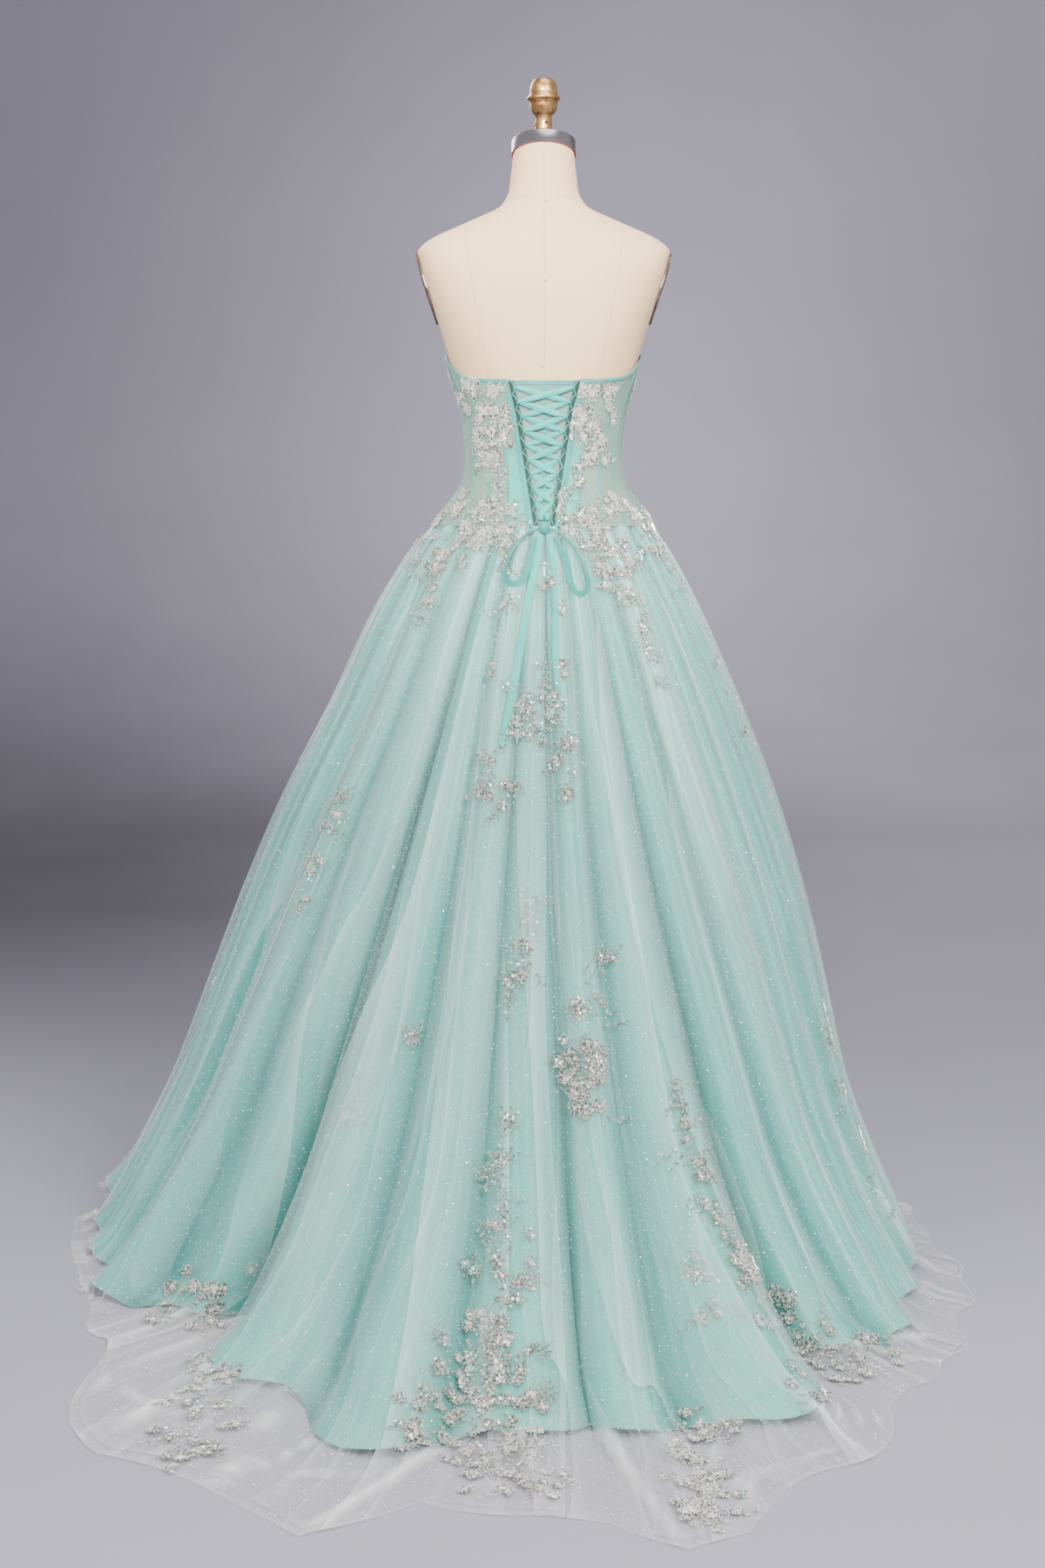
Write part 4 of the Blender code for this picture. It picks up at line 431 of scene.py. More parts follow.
SKIRT_LACE = [
    (519, 624, 15, 15, 5, 3, 0.1, 1), (490, 632, 10, 12, 2, 3, 0.1, 1), (540, 618, 14, 8, 3, 2, 0.1, 1),
    (578, 622, 7, 8, 1, 2, 0.3, 1), (664, 622, 9, 8, 2, 2, 0.2, 1), (704, 628, 14, 12, 4, 2, 0.1, 1),
    (726, 640, 10, 12, 3, 2, 0.1, 1), (760, 636, 9, 14, 2, 3, 0.1, 1), (776, 668, 5, 14, 0, 3, 0.2, 1),
    (700, 668, 9, 10, 2, 2, 0.2, 1), (510, 640, 9, 10, 2, 2, 0.1, 1), (503, 650, 12, 12, 3, 3, 0.2, 1),
    (530, 648, 8, 8, 2, 2, 0.0, 1), (554, 622, 9, 8, 3, 2, 0.0, 1), (496, 680, 6, 14, 1, 4, 0.4, 1),
    (484, 708, 4, 14, 0, 3, 0.6, 1), (577, 650, 6, 8, 1, 2, 0.1, 1), (579, 698, 8, 8, 1, 2, 0.6, 1),
    (575, 725, 4, 10, 0, 2, 0.0, 0), (629, 670, 5, 6, 2, 0, 0.0, 1), (646, 697, 5, 7, 1, 1, 0.5, 1),
    (681, 620, 9, 10, 3, 2, 0.1, 1), (689, 648, 10, 12, 3, 3, 0.0, 1), (711, 655, 12, 12, 2, 3, 0.3, 1),
    (722, 684, 14, 12, 4, 2, 0.2, 1), (742, 622, 10, 14, 2, 3, 0.1, 1), (738, 724, 5, 16, 1, 4, 0.4, 1),
    (744, 752, 5, 12, 0, 3, 0.5, 1), (755, 783, 5, 8, 0, 2, 0.0, 1), (838, 790, 5, 30, 1, 5, 0.0, 1),
    (568, 768, 6, 6, 1, 0, 0.0, 1), (623, 768, 6, 9, 0, 2, 0.0, 1), (648, 766, 7, 8, 1, 1, 0.0, 1),
    (596, 800, 11, 12, 2, 4, 0.9, 1), (597, 826, 12, 12, 2, 4, 0.9, 1), (597, 850, 9, 7, 1, 2, 0.9, 1),
    (628, 806, 9, 14, 2, 4, 0.9, 1), (630, 830, 12, 10, 2, 4, 0.8, 1), (628, 850, 10, 6, 1, 2, 0.9, 1),
    (557, 866, 12, 8, 1, 3, 0.0, 1), (655, 854, 8, 8, 1, 3, 0.0, 1), (566, 888, 4, 14, 0, 3, 0.2, 1),
    (640, 880, 7, 8, 1, 2, 0.3, 1), (556, 914, 8, 9, 1, 2, 0.0, 1), (584, 912, 12, 12, 2, 2, 0.0, 1),
    (567, 938, 4, 8, 0, 2, 0.0, 1), (650, 906, 12, 12, 2, 2, 0.0, 1), (390, 924, 8, 10, 1, 3, 0.0, 1),
    (378, 948, 6, 6, 0, 3, 0.0, 1), (360, 995, 12, 6, 1, 4, 0.5, 1), (347, 1038, 6, 6, 1, 1, 0.0, 1),
    (606, 1036, 8, 16, 2, 3, 0.0, 0), (610, 1066, 7, 14, 2, 2, 0.0, 0), (600, 1100, 8, 22, 1, 6, 0.2, 1),
    (586, 1132, 6, 14, 0, 5, 0.1, 1), (470, 1190, 6, 16, 0, 3, 0.0, 0), (684, 1090, 4, 16, 0, 3, 0.1, 1),
    (680, 1130, 7, 18, 0, 4, 0.3, 1), (664, 1160, 7, 14, 1, 4, 0.3, 1), (694, 1164, 6, 14, 0, 4, 0.5, 1),
    (655, 1208, 14, 14, 4, 3, 0.1, 1), (680, 1206, 12, 10, 3, 3, 0.3, 1), (668, 1236, 22, 16, 6, 4, 0.1, 1),
    (672, 1264, 16, 14, 5, 3, 0.0, 1), (410, 1252, 10, 16, 2, 5, 0.9, 0), (400, 1284, 6, 12, 1, 3, 0.5, 0),
    (780, 1262, 5, 26, 0, 5, 0.2, 1), (790, 1310, 7, 26, 1, 6, 0.2, 1), (806, 1352, 9, 18, 3, 4, 0.1, 1),
    (822, 1396, 10, 20, 3, 5, 0.5, 1), (846, 1436, 12, 18, 4, 4, 0.1, 1), (869, 1470, 18, 18, 5, 4, 0.1, 1),
    (866, 1500, 16, 16, 5, 3, 0.0, 0), (900, 1502, 20, 18, 5, 4, 0.1, 1), (934, 1538, 26, 20, 7, 5, 0.1, 1),
    (966, 1572, 30, 20, 8, 5, 0.1, 1), (1008, 1560, 24, 20, 5, 5, 0.3, 1), (930, 1590, 16, 10, 3, 4, 0.1, 1),
    (798, 1448, 9, 12, 3, 1, 0.4, 0), (812, 1504, 14, 12, 4, 2, 0.0, 0), (806, 1470, 10, 16, 1, 3, 0.7, 0),
    (580, 1300, 8, 30, 1, 6, 0.6, 1), (566, 1356, 12, 30, 1, 7, 0.7, 1), (574, 1410, 14, 26, 1, 8, 0.3, 1),
    (545, 1450, 10, 10, 1, 3, 0.9, 1), (585, 1470, 16, 22, 2, 7, 0.1, 1), (552, 1520, 14, 20, 4, 3, 0.1, 0),
    (608, 1440, 8, 40, 3, 3, 0.0, 0), (560, 1528, 26, 14, 5, 5, 0.1, 1), (530, 1570, 30, 20, 6, 6, 0.4, 1),
    (590, 1566, 26, 22, 6, 6, 0.1, 1), (500, 1612, 30, 20, 6, 6, 0.3, 1), (556, 1620, 34, 22, 8, 7, 0.2, 1),
    (620, 1606, 24, 24, 5, 6, 0.1, 1), (470, 1650, 24, 16, 4, 5, 0.1, 1), (530, 1664, 34, 20, 8, 6, 0.2, 1),
    (590, 1662, 34, 22, 8, 6, 0.1, 1), (570, 1700, 34, 14, 7, 5, 0.0, 1), (630, 1700, 22, 16, 5, 4, 0.1, 1),
    (300, 1446, 22, 10, 2, 6, 0.2, 0), (350, 1360, 8, 20, 1, 4, 0.2, 0), (196, 1500, 28, 14, 7, 4, 0.1, 1),
    (240, 1490, 22, 14, 6, 3, 0.1, 1), (230, 1520, 26, 6, 2, 4, 0.0, 1), (232, 1562, 16, 16, 4, 3, 0.3, 1),
    (262, 1580, 14, 14, 4, 3, 0.3, 1), (214, 1606, 30, 20, 7, 5, 0.3, 1), (262, 1622, 20, 14, 3, 4, 0.1, 1),
    (188, 1650, 16, 12, 3, 4, 0.6, 1), (234, 1652, 22, 16, 5, 3, 0.2, 1), (206, 1676, 14, 8, 3, 2, 0.0, 1),
    (795, 1640, 18, 14, 6, 2, 0.2, 1), (834, 1644, 18, 8, 3, 3, 0.0, 1), (790, 1664, 16, 10, 3, 3, 0.1, 1),
    (812, 1690, 20, 14, 4, 4, 0.7, 1), (790, 1716, 24, 18, 6, 4, 0.1, 1), (830, 1724, 24, 16, 4, 5, 0.5, 1),
    (806, 1746, 20, 10, 5, 2, 0.0, 1), (960, 1230, 6, 40, 2, 6, 0.1, 1), (1004, 1350, 6, 26, 1, 4, 0.1, 1),
]
# lace on the hidden front and sides: angle, height, half angle, half height (m), flowers, leaves, aqua share
FRONT_BODICE_LACE = [
    (100.0, 1.27, 6.0, 0.022, 4, 3, 0.1), (112.0, 1.225, 8.0, 0.022, 5, 3, 0.1),
    (124.0, 1.29, 7.0, 0.018, 5, 2, 0.0), (138.0, 1.27, 8.0, 0.026, 6, 3, 0.1), (152.0, 1.29, 8.0, 0.016, 5, 2, 0.1),
    (166.0, 1.262, 9.0, 0.024, 5, 3, 0.0), (130.0, 1.18, 8.0, 0.02, 3, 4, 0.3), (158.0, 1.19, 8.0, 0.022, 4, 4, 0.2),
    (180.0, 1.15, 7.0, 0.03, 4, 4, 0.2), (108.0, 1.105, 10.0, 0.024, 6, 4, 0.2),
    (134.0, 1.095, 10.0, 0.02, 6, 4, 0.1), (160.0, 1.092, 10.0, 0.018, 5, 4, 0.2),
]
FRONT_SKIRT_LACE = [
    (82.0, 1.02, 6.0, 0.03, 4, 4, 0.2), (100.0, 1.0, 7.0, 0.034, 5, 4, 0.2), (122.0, 0.985, 7.0, 0.034, 5, 5, 0.1),
    (146.0, 0.99, 7.0, 0.03, 5, 4, 0.2), (170.0, 0.985, 8.0, 0.034, 6, 5, 0.1), (112.0, 0.9, 3.0, 0.045, 1, 5, 0.4),
    (136.0, 0.905, 3.0, 0.045, 1, 5, 0.4), (160.0, 0.89, 3.0, 0.05, 2, 5, 0.3), (150.0, 0.7, 5.0, 0.06, 4, 6, 0.7),
    (176.0, 0.64, 4.0, 0.06, 4, 6, 0.6), (120.0, 0.56, 4.0, 0.06, 4, 5, 0.2), (98.0, 0.42, 4.0, 0.07, 3, 6, 0.1),
    (162.0, 0.33, 5.0, 0.07, 5, 7, 0.3), (138.0, 0.17, 6.0, 0.06, 8, 7, 0.1), (172.0, 0.12, 6.0, 0.05, 8, 7, 0.2),
    (116.0, 0.09, 5.0, 0.04, 7, 6, 0.1),
]


class DressLooks(bpy.types.PropertyGroup):
    """Sizes and colours of the gown that a user may change."""

    satin: bpy.props.FloatVectorProperty(
        name="Satin", description="Colour of the lining, trims and ribbons", subtype="COLOR",
        default=(0.035, 0.560, 0.460), min=0.0, max=1.0,
    )
    tulle: bpy.props.FloatVectorProperty(
        name="Tulle", description="Colour of the net of the overskirt", subtype="COLOR",
        default=(0.62, 0.94, 0.87), min=0.0, max=1.0,
    )
    mesh: bpy.props.FloatVectorProperty(
        name="Bodice mesh", description="Colour of the bodice's sheer mesh", subtype="COLOR",
        default=(0.34, 0.52, 0.42), min=0.0, max=1.0,
    )
    lace: bpy.props.FloatVectorProperty(
        name="Lace", description="Colour of the embroidery thread", subtype="COLOR",
        default=(0.93, 0.91, 0.78), min=0.0, max=1.0,
    )
    canvas: bpy.props.FloatVectorProperty(
        name="Canvas", description="Colour of the form's cover", subtype="COLOR",
        default=(0.95, 0.65, 0.36), min=0.0, max=1.0,
    )
    bead: bpy.props.FloatProperty(
        name="Bead", description="Diameter of a lace bead", unit="LENGTH", default=0.0026, min=0.0005, max=0.01,
    )
    sequin: bpy.props.FloatProperty(
        name="Sequin", description="Diameter of a sequin", unit="LENGTH", default=0.0050, min=0.001, max=0.02,
    )
    flower: bpy.props.FloatProperty(
        name="Flower", description="Radius of a lace flower", unit="LENGTH", default=0.0125, min=0.004, max=0.05,
    )
    flake: bpy.props.FloatProperty(
        name="Glitter flake", description="Size of a glitter flake", unit="LENGTH", default=0.0013,
        min=0.0002, max=0.01,
    )
    glitter: bpy.props.FloatProperty(
        name="Glitter", description="Flakes of glitter on a square metre of net", default=12000.0, min=0.0,
        max=40000.0,
    )
    stitch: bpy.props.FloatProperty(
        name="Stitch", description="Length of a stitch and its gap", unit="LENGTH", default=0.0032,
        min=0.001, max=0.02,
    )


# ---------------------------------------------------------------- curves and grids


def smooth_column(keys, values, at):
    """A smooth curve through a table's column: cubic, with the slope at each row from its neighbours."""
    keys = np.asarray(keys, float)
    values = np.asarray(values, float)
    slopes = np.gradient(values, keys)
    at = np.clip(np.asarray(at, float), keys[0], keys[-1])
    i = np.clip(np.searchsorted(keys, at) - 1, 0, len(keys) - 2)
    span = keys[i + 1] - keys[i]
    t = (at - keys[i]) / span
    a = (2 * t**3 - 3 * t**2 + 1) * values[i]
    b = (t**3 - 2 * t**2 + t) * span * slopes[i]
    c = (3 * t**2 - 2 * t**3) * values[i + 1]
    d = (t**3 - t**2) * span * slopes[i + 1]
    return a + b + c + d


def column(rows, index):
    return [row[index] for row in rows]


def soft_step(low, high, at):
    t = np.clip((at - low) / (high - low), 0.0, 1.0)
    return t * t * (3 - 2 * t)


def section_point(angle, half_width, back, front, shift, roundness):
    s = np.sin(angle)
    c = np.cos(angle)
    power = 2.0 / roundness
    depth = np.where(c > 0, back, front)
    x = half_width * np.sign(s) * np.abs(s) ** power
    y = depth * np.sign(c) * np.abs(c) ** power + shift
    return x, y


def bust(x, y, z, swell):
    side = (np.abs(x) - BUST_APART) / BUST_SPREAD
    level = (z - BUST_HEIGHT) / BUST_SPREAD
    return np.where(y < 0, swell * np.exp(-(side**2) - level**2), 0.0)


def torso_point(angle, z):
    sizes = [smooth_column(column(TORSO_ROWS, 0), column(TORSO_ROWS, k), z) for k in range(1, 6)]
    x, y = section_point(angle, *sizes)
    return np.stack([x, y - bust(x, y, z, FORM_BUST), z + 0 * x], axis=-1)


def bodice_point(angle, z):
    sizes = [smooth_column(column(BODICE_ROWS, 0), column(BODICE_ROWS, k), z) for k in range(1, 4)]
    roundness = smooth_column(column(TORSO_ROWS, 0), column(TORSO_ROWS, 5), z)
    x, y = section_point(angle, *sizes, 0.0, roundness)
    return np.stack([x, y - bust(x, y, z, BUST_SWELL), z + 0 * x], axis=-1)


def top_height(angle):
    from_back = np.degrees(np.abs(np.arctan2(np.sin(angle), np.cos(angle))))
    return smooth_column(column(EDGE_ROWS, 0), column(EDGE_ROWS, 1), from_back)


def unit(vectors):
    return vectors / np.maximum(np.linalg.norm(vectors, axis=-1, keepdims=True), 1e-12)


def both_ways(points):
    steps = unit(np.diff(points, axis=1))
    return np.concatenate([steps[:, :1], steps], axis=1) + np.concatenate([steps, steps[:, -1:]], axis=1)


def grid_normals(points, closed=False):
    """Unit normals of a grid of points, [row, column], whose rows run down and columns to the left."""
    if closed:
        ring = np.concatenate([points[:, -1:], points, points[:, :1]], axis=1)
        across = both_ways(ring)[:, 1:-1]
    else:
        across = both_ways(points)
    down = both_ways(points.swapaxes(0, 1)).swapaxes(0, 1)
    return unit(np.cross(across, down))


def mirrored(grid):
    return grid[:, ::-1] * np.array([-1, 1, 1])


def along(row, distance):
    steps = np.linalg.norm(np.diff(row, axis=0), axis=1)
    reached = np.concatenate([[0], np.cumsum(steps)])
    return np.array([np.interp(distance, reached, row[:, k]) for k in range(3)])


def finer(points, steps):
    """A smooth route through points, with a number of steps between two of them."""
    points = np.array(points, float)
    keys = np.arange(len(points))
    at = np.linspace(0, len(points) - 1, (len(points) - 1) * steps + 1)
    return np.stack([smooth_column(keys, points[:, k], at) for k in range(points.shape[1])], axis=1)


# ---------------------------------------------------------------- making pieces


def new_piece(name, verts, faces, material, uvs=None, marks=None, smooth=True, sharp=40.0):
    """A mesh object at the origin. uvs has one pair for each vertex; marks are named numbers for each vertex."""
    name = f"{name}_detail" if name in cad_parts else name
    mesh = bpy.data.meshes.new(name)
    mesh.from_pydata([tuple(v) for v in verts], [], [tuple(f) for f in faces])
    loops = np.empty(len(mesh.loops), dtype=np.int32)
    mesh.loops.foreach_get("vertex_index", loops)
    if uvs is not None:
        layer = mesh.uv_layers.new(name="UVMap")
        layer.data.foreach_set("uv", np.asarray(uvs, np.float32)[loops].ravel())
    for key, values in (marks or {}).items():
        values = np.asarray(values, np.float32)
        vector = values.ndim > 1 and values.shape[-1] == 3
        mark = mesh.attributes.new(key, "FLOAT_VECTOR" if vector else "FLOAT", "POINT")
        mark.data.foreach_set("vector" if vector else "value", values.ravel())
    mesh.materials.append(material)
    if smooth:
        mesh.shade_smooth()
        if sharp:
            mesh.set_sharp_from_angle(angle=math.radians(sharp))
    mesh.update()
    made = bpy.data.objects.new(name, mesh)
    bpy.context.scene.collection.objects.link(made)
    return made


def grid_faces(rows, cols, start=0, flip=False, closed=False):
    spans = cols if closed else cols - 1
    r, k = np.meshgrid(np.arange(rows - 1), np.arange(spans), indexing="ij")
    n = (k + 1) % cols
    quads = np.stack([r * cols + k, r * cols + n, (r + 1) * cols + n, (r + 1) * cols + k], axis=-1)
    quads = quads.reshape(-1, 4) + start
    return quads[:, ::-1] if flip else quads


def grid_uvs(grid):
    """Distances over the cloth in metres: across and down."""
    across = np.linalg.norm(np.diff(grid, axis=1), axis=2)
    down = np.linalg.norm(np.diff(grid, axis=0), axis=2)
    u = np.concatenate([np.zeros((grid.shape[0], 1)), np.cumsum(across, axis=1)], axis=1)
    v = np.concatenate([np.zeros((1, grid.shape[1])), np.cumsum(down, axis=0)], axis=0)
    return np.stack([u - u[:, -1:] / 2, -v], axis=-1).reshape(-1, 2)


def sheet_piece(name, grid, material, marks=None):
    """A single sheet of cloth on a grid."""
    rows, cols = grid.shape[:2]
    marks = {key: value.reshape(rows * cols, -1) for key, value in (marks or {}).items()}
    return new_piece(name, grid.reshape(-1, 3), grid_faces(rows, cols), material, grid_uvs(grid), marks, sharp=None)


def wall_piece(name, inner, outer, material, marks=None, sharp=60.0):
    """A closed wall between two grids."""
    rows, cols = inner.shape[:2]
    count = rows * cols
    faces = [grid_faces(rows, cols, count), grid_faces(rows, cols, 0, flip=True)]
    rim = []
    for k in range(cols - 1):
        rim.append((k + 1, k, k + count, k + 1 + count))
        low = (rows - 1) * cols + k
        rim.append((low, low + 1, low + 1 + count, low + count))
    for r in range(rows - 1):
        a, b = r * cols, (r + 1) * cols
        rim.append((a, b, b + count, a + count))
        a, b = a + cols - 1, b + cols - 1
        rim.append((b, a, a + count, b + count))
    verts = np.concatenate([inner.reshape(-1, 3), outer.reshape(-1, 3)])
    uvs = np.concatenate([grid_uvs(outer)] * 2)
    marks = {key: np.concatenate([value.reshape(-1)] * 2) for key, value in (marks or {}).items()}
    faces = [tuple(f) for part in faces for f in part] + rim
    return new_piece(name, verts, faces, material, uvs, marks, sharp=sharp)


def ring_faces(rows, sides, flip=False):
    """Faces of a body of rings, closed at both ends."""
    ends = [tuple(range(sides))[::-1], tuple(range((rows - 1) * sides, rows * sides))]
    if flip:
        ends = [end[::-1] for end in ends]
    return ends + [tuple(f) for f in grid_faces(rows, sides, flip=flip, closed=True).tolist()]


def tube(name, points, radius, sides, material):
    """A round cord along points, with closed ends."""
    points = np.asarray(points, float)
    run = unit(np.gradient(points, axis=0))
    side = np.cross(run[0], [0.3, 0.2, 1.0])
    verts = []
    for p, t in zip(points, run):
        side = unit(side - t * np.dot(side, t))
        other = np.cross(t, side)
        for turn in np.arange(sides) * math.tau / sides:
            verts.append(p + radius * (side * math.cos(turn) + other * math.sin(turn)))
    return new_piece(name, verts, ring_faces(len(points), sides), material)


def ribbon(name, centres, across, out, widths, thick, cup, material):
    """A closed satin ribbon, cupped across by a share of its width; its inner side is on the route."""
    centres, across, out = (np.asarray(a, float) for a in (centres, across, out))
    widths = np.broadcast_to(widths, (len(centres),))
    cup = np.broadcast_to(cup, (len(centres),))
    places = np.linspace(-0.5, 0.5, 7)
    bend = (1 - (2 * places) ** 2)[None, :, None]
    flat = centres[:, None] + across[:, None] * (places[None, :, None] * widths[:, None, None])
    inner = flat + out[:, None] * (bend * (cup * widths)[:, None, None])
    outer = inner + out[:, None] * thick
    if np.dot(np.cross(across[0], centres[1] - centres[0]), out[0]) < 0:
        inner, outer = inner[:, ::-1], outer[:, ::-1]
    return wall_piece(name, inner, outer, material)


def lathe(name, rows, sides, material, place=Matrix()):
    """A turned solid from (height, radius) rows, closed by its ends."""
    turns = np.arange(sides) * math.tau / sides
    verts = [place @ Vector((r * math.cos(t), r * math.sin(t), h)) for h, r in rows for t in turns]
    return new_piece(name, verts, ring_faces(len(rows), sides), material, sharp=50.0)


BOX_FACES = [(0, 1, 3, 2), (4, 6, 7, 5), (0, 4, 5, 1), (2, 3, 7, 6), (1, 5, 7, 3), (0, 2, 6, 4)]


def facing(point, direction):
    """A place at a point whose Z looks along a direction."""
    return Matrix.Translation(point) @ direction.to_track_quat("Z", "Y").to_matrix().to_4x4()


def settle(piece, *nodes):
    """The piece rides on the dress and stands for the CAD nodes that are named."""
    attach(piece, BODY)
    if nodes:
        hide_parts(*nodes)
    return piece


def paint_slots(name, *nodes):
    """Gives the CAD nodes that stay as they are their finish."""
    for node in nodes:
        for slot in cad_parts[node].material_slots:
            slot.material = finish(name)


# ---------------------------------------------------------------- materials


class Nodes:
    """Short hand for building one material's nodes."""

    def __init__(self, name):
        self.material = bpy.data.materials.new(name)
        self.material.use_nodes = True
        self.tree = self.material.node_tree
        self.shader = self.tree.nodes["Principled BSDF"]

    def add(self, kind, **values):
        node = self.tree.nodes.new(kind)
        for key, value in values.items():
            setattr(node, key, value)
        return node

    def link(self, source, target):
        self.tree.links.new(source, target)

    def put(self, **values):
        for key, value in values.items():
            self.shader.inputs[key.replace("_", " ")].default_value = value
        return self

    def math(self, operation, a, b=None, clamp=False):
        node = self.add("ShaderNodeMath", operation=operation, use_clamp=clamp)
        for socket, value in zip(node.inputs, (a, b)):
            if isinstance(value, (int, float)):
                socket.default_value = value
            elif value is not None:
                self.link(value, socket)
        return node.outputs[0]

    def blend(self, a, share_a, b, share_b):
        return self.math("ADD", self.math("MULTIPLY", a, share_a), self.math("MULTIPLY", b, share_b))

    def mix(self, factor, a, b):
        """A colour between two, each a socket or three numbers."""
        node = self.add("ShaderNodeMix", data_type="RGBA")
        for index, value in ((0, factor), (6, a), (7, b)):
            if isinstance(value, tuple):
                node.inputs[index].default_value = (*value, 1.0)
            else:
                self.link(value, node.inputs[index])
        return node.outputs[2]

    def colour(self, socket):
        self.link(socket, self.shader.inputs["Base Color"])

    def place(self, kind="Object", scale=(1, 1, 1), turn=(0, 0, 0)):
        coordinates = self.add("ShaderNodeTexCoord")
        mapping = self.add("ShaderNodeMapping")
        mapping.inputs["Scale"].default_value = scale
        mapping.inputs["Rotation"].default_value = turn
        self.link(coordinates.outputs[kind], mapping.inputs["Vector"])
        return mapping.outputs["Vector"]

    def noise(self, vector, scale, detail=3.0, roughness=0.5):
        node = self.add("ShaderNodeTexNoise")
        node.inputs["Scale"].default_value = scale
        node.inputs["Detail"].default_value = detail
        node.inputs["Roughness"].default_value = roughness
        self.link(vector, node.inputs["Vector"])
        return node.outputs["Fac"]

    def wave(self, vector, scale, direction="X"):
        node = self.add("ShaderNodeTexWave", bands_direction=direction)
        node.inputs["Scale"].default_value = scale
        self.link(vector, node.inputs["Vector"])
        return node.outputs["Fac"]

    def ramp(self, factor, stops):
        node = self.add("ShaderNodeValToRGB")
        elements = node.color_ramp.elements
        while len(elements) < len(stops):
            elements.new(0.5)
        for element, (at, colour) in zip(elements, stops):
            element.position = at
            element.color = (*colour, 1.0)
        self.link(factor, node.inputs["Fac"])
        return node.outputs["Color"]

    def bump(self, height, distance, strength=1.0):
        node = self.add("ShaderNodeBump")
        node.inputs["Distance"].default_value = distance
        node.inputs["Strength"].default_value = strength
        self.link(height, node.inputs["Height"])
        self.link(node.outputs["Normal"], self.shader.inputs["Normal"])

    def mark(self, name):
        return self.add("ShaderNodeAttribute", attribute_name=name).outputs["Fac"]


def shade(colour, factor):
    return tuple(min(1.0, c * factor) for c in colour)


@functools.lru_cache(maxsize=None)
def finish(name):
    """The gown's finishes, each built once."""
    return FINISHES[name](bpy.context.scene.dress_looks)


def satin_finish(looks):
    """Satin with soft clouds of tone, painted shade that darkens it towards each fold's valley, and a fine twill."""
    n = Nodes("satin_mint_soft")
    colour = tuple(looks.satin)
    cloth = n.place("UV")
    cloudy = n.noise(n.place("Object"), 9.0, 3.0)
    crest = n.ramp(cloudy, [(0.30, shade(colour, 0.90)), (0.55, colour), (0.80, shade(colour, 1.10))])
    # painted shade: from the dark fold colour in a valley to the full satin on a crest, by the crest mark
    deep = tuple(c * share for c, share in zip(colour, SATIN_FOLD_SHADE))
    n.colour(n.mix(n.math("POWER", n.mark("crest"), 0.9, clamp=True), deep, crest))
    n.put(Roughness=0.34, Sheen_Weight=0.25, Sheen_Roughness=0.4, Specular_IOR_Level=0.6, Anisotropic=0.35)
    n.put(Sheen_Tint=(0.85, 1.0, 0.97, 1.0))
    weave = n.blend(n.wave(cloth, 520.0, "X"), 0.7, n.wave(cloth, 300.0, "Y"), 0.3)
    n.bump(n.blend(weave, 0.12, n.noise(cloth, 60.0, 2.0), 0.9), 0.0006, 0.5)
    return n.material


def trim_finish(name, light):
    """Ribbed satin of the trims and the lacing, by its lightness against the skirt's satin."""

    def make(looks):
        n = Nodes(name)
        colour = shade(tuple(looks.satin), light)
        cloth = n.place("UV")
        cloudy = n.noise(n.place("Object"), 45.0, 2.0)
        n.colour(n.ramp(cloudy, [(0.25, shade(colour, 0.92)), (0.75, shade(colour, 1.16))]))
        n.put(Roughness=0.42, Sheen_Weight=0.3, Specular_IOR_Level=0.5)
        n.bump(n.blend(n.wave(cloth, 600.0, "Y"), 0.3, n.noise(cloth, 220.0, 2.0), 1.0), 0.0004, 0.5)
        return n.material

    return make


def tulle_finish(name, share, offset):
    """Sheer net: whiter where its pleats lie on each other. Each pleat has a sharp edge on one side."""

    def make(looks):
        n = Nodes(name)
        colour = tuple(looks.tulle)
        cloudy = n.noise(n.place("Object"), 7.0, 3.0)
        base = n.ramp(cloudy, [(0.30, shade(colour, 0.95)), (0.75, shade(colour, 1.05))])
        n.put(Roughness=0.62, Sheen_Weight=0.2, Specular_IOR_Level=0.3)
        gather = n.add("ShaderNodeAttribute", attribute_name="gather").outputs["Vector"]
        parts = n.add("ShaderNodeSeparateXYZ")
        n.link(gather, parts.inputs[0])
        across = parts.outputs["X"]
        spread = n.math("MULTIPLY", n.math("SUBTRACT", parts.outputs["Y"], FLOOR_START), 12.0, clamp=True)
        n.colour(n.mix(spread, base, FLOOR_NET))
        white = 0.0
        for step, pleats, wander, drift, power, strength in PLEAT_LAYERS:
            mapping = n.add("ShaderNodeMapping")
            mapping.inputs["Scale"].default_value = drift
            mapping.inputs["Location"].default_value = (offset + step, step * 2.3, 0)
            n.link(gather, mapping.inputs["Vector"])
            sway = n.noise(mapping.outputs["Vector"], 1.0, 2.0)
            at = n.blend(across, pleats, sway, wander)
            saw = n.math("FRACT", n.math("ADD", at, offset))
            if step % 2:
                saw = n.math("SUBTRACT", 1.0, saw)
            some = n.math("MULTIPLY", n.math("SUBTRACT", sway, 0.30), 3.0, clamp=True)
            edge = n.math("MULTIPLY", n.math("POWER", saw, power), some)
            white = n.math("ADD", n.math("MULTIPLY", edge, strength), white)
        crest = n.math("ADD", n.math("MULTIPLY", parts.outputs["Z"], 1.0 - VALLEY_SHARE), VALLEY_SHARE)
        white = n.math("ADD", n.math("MULTIPLY", white, crest), n.mark("veil"))
        threads = n.add("ShaderNodeTexNoise")
        threads.inputs["Scale"].default_value = 900.0
        n.link(n.place("UV"), threads.inputs["Vector"])
        grain = n.math("MULTIPLY", n.math("SUBTRACT", threads.outputs["Fac"], 0.5), 0.16)
        alpha = n.math("MULTIPLY", n.math("ADD", white, grain), share, clamp=True)
        n.link(alpha, n.shader.inputs["Alpha"])
        return n.material

    return make


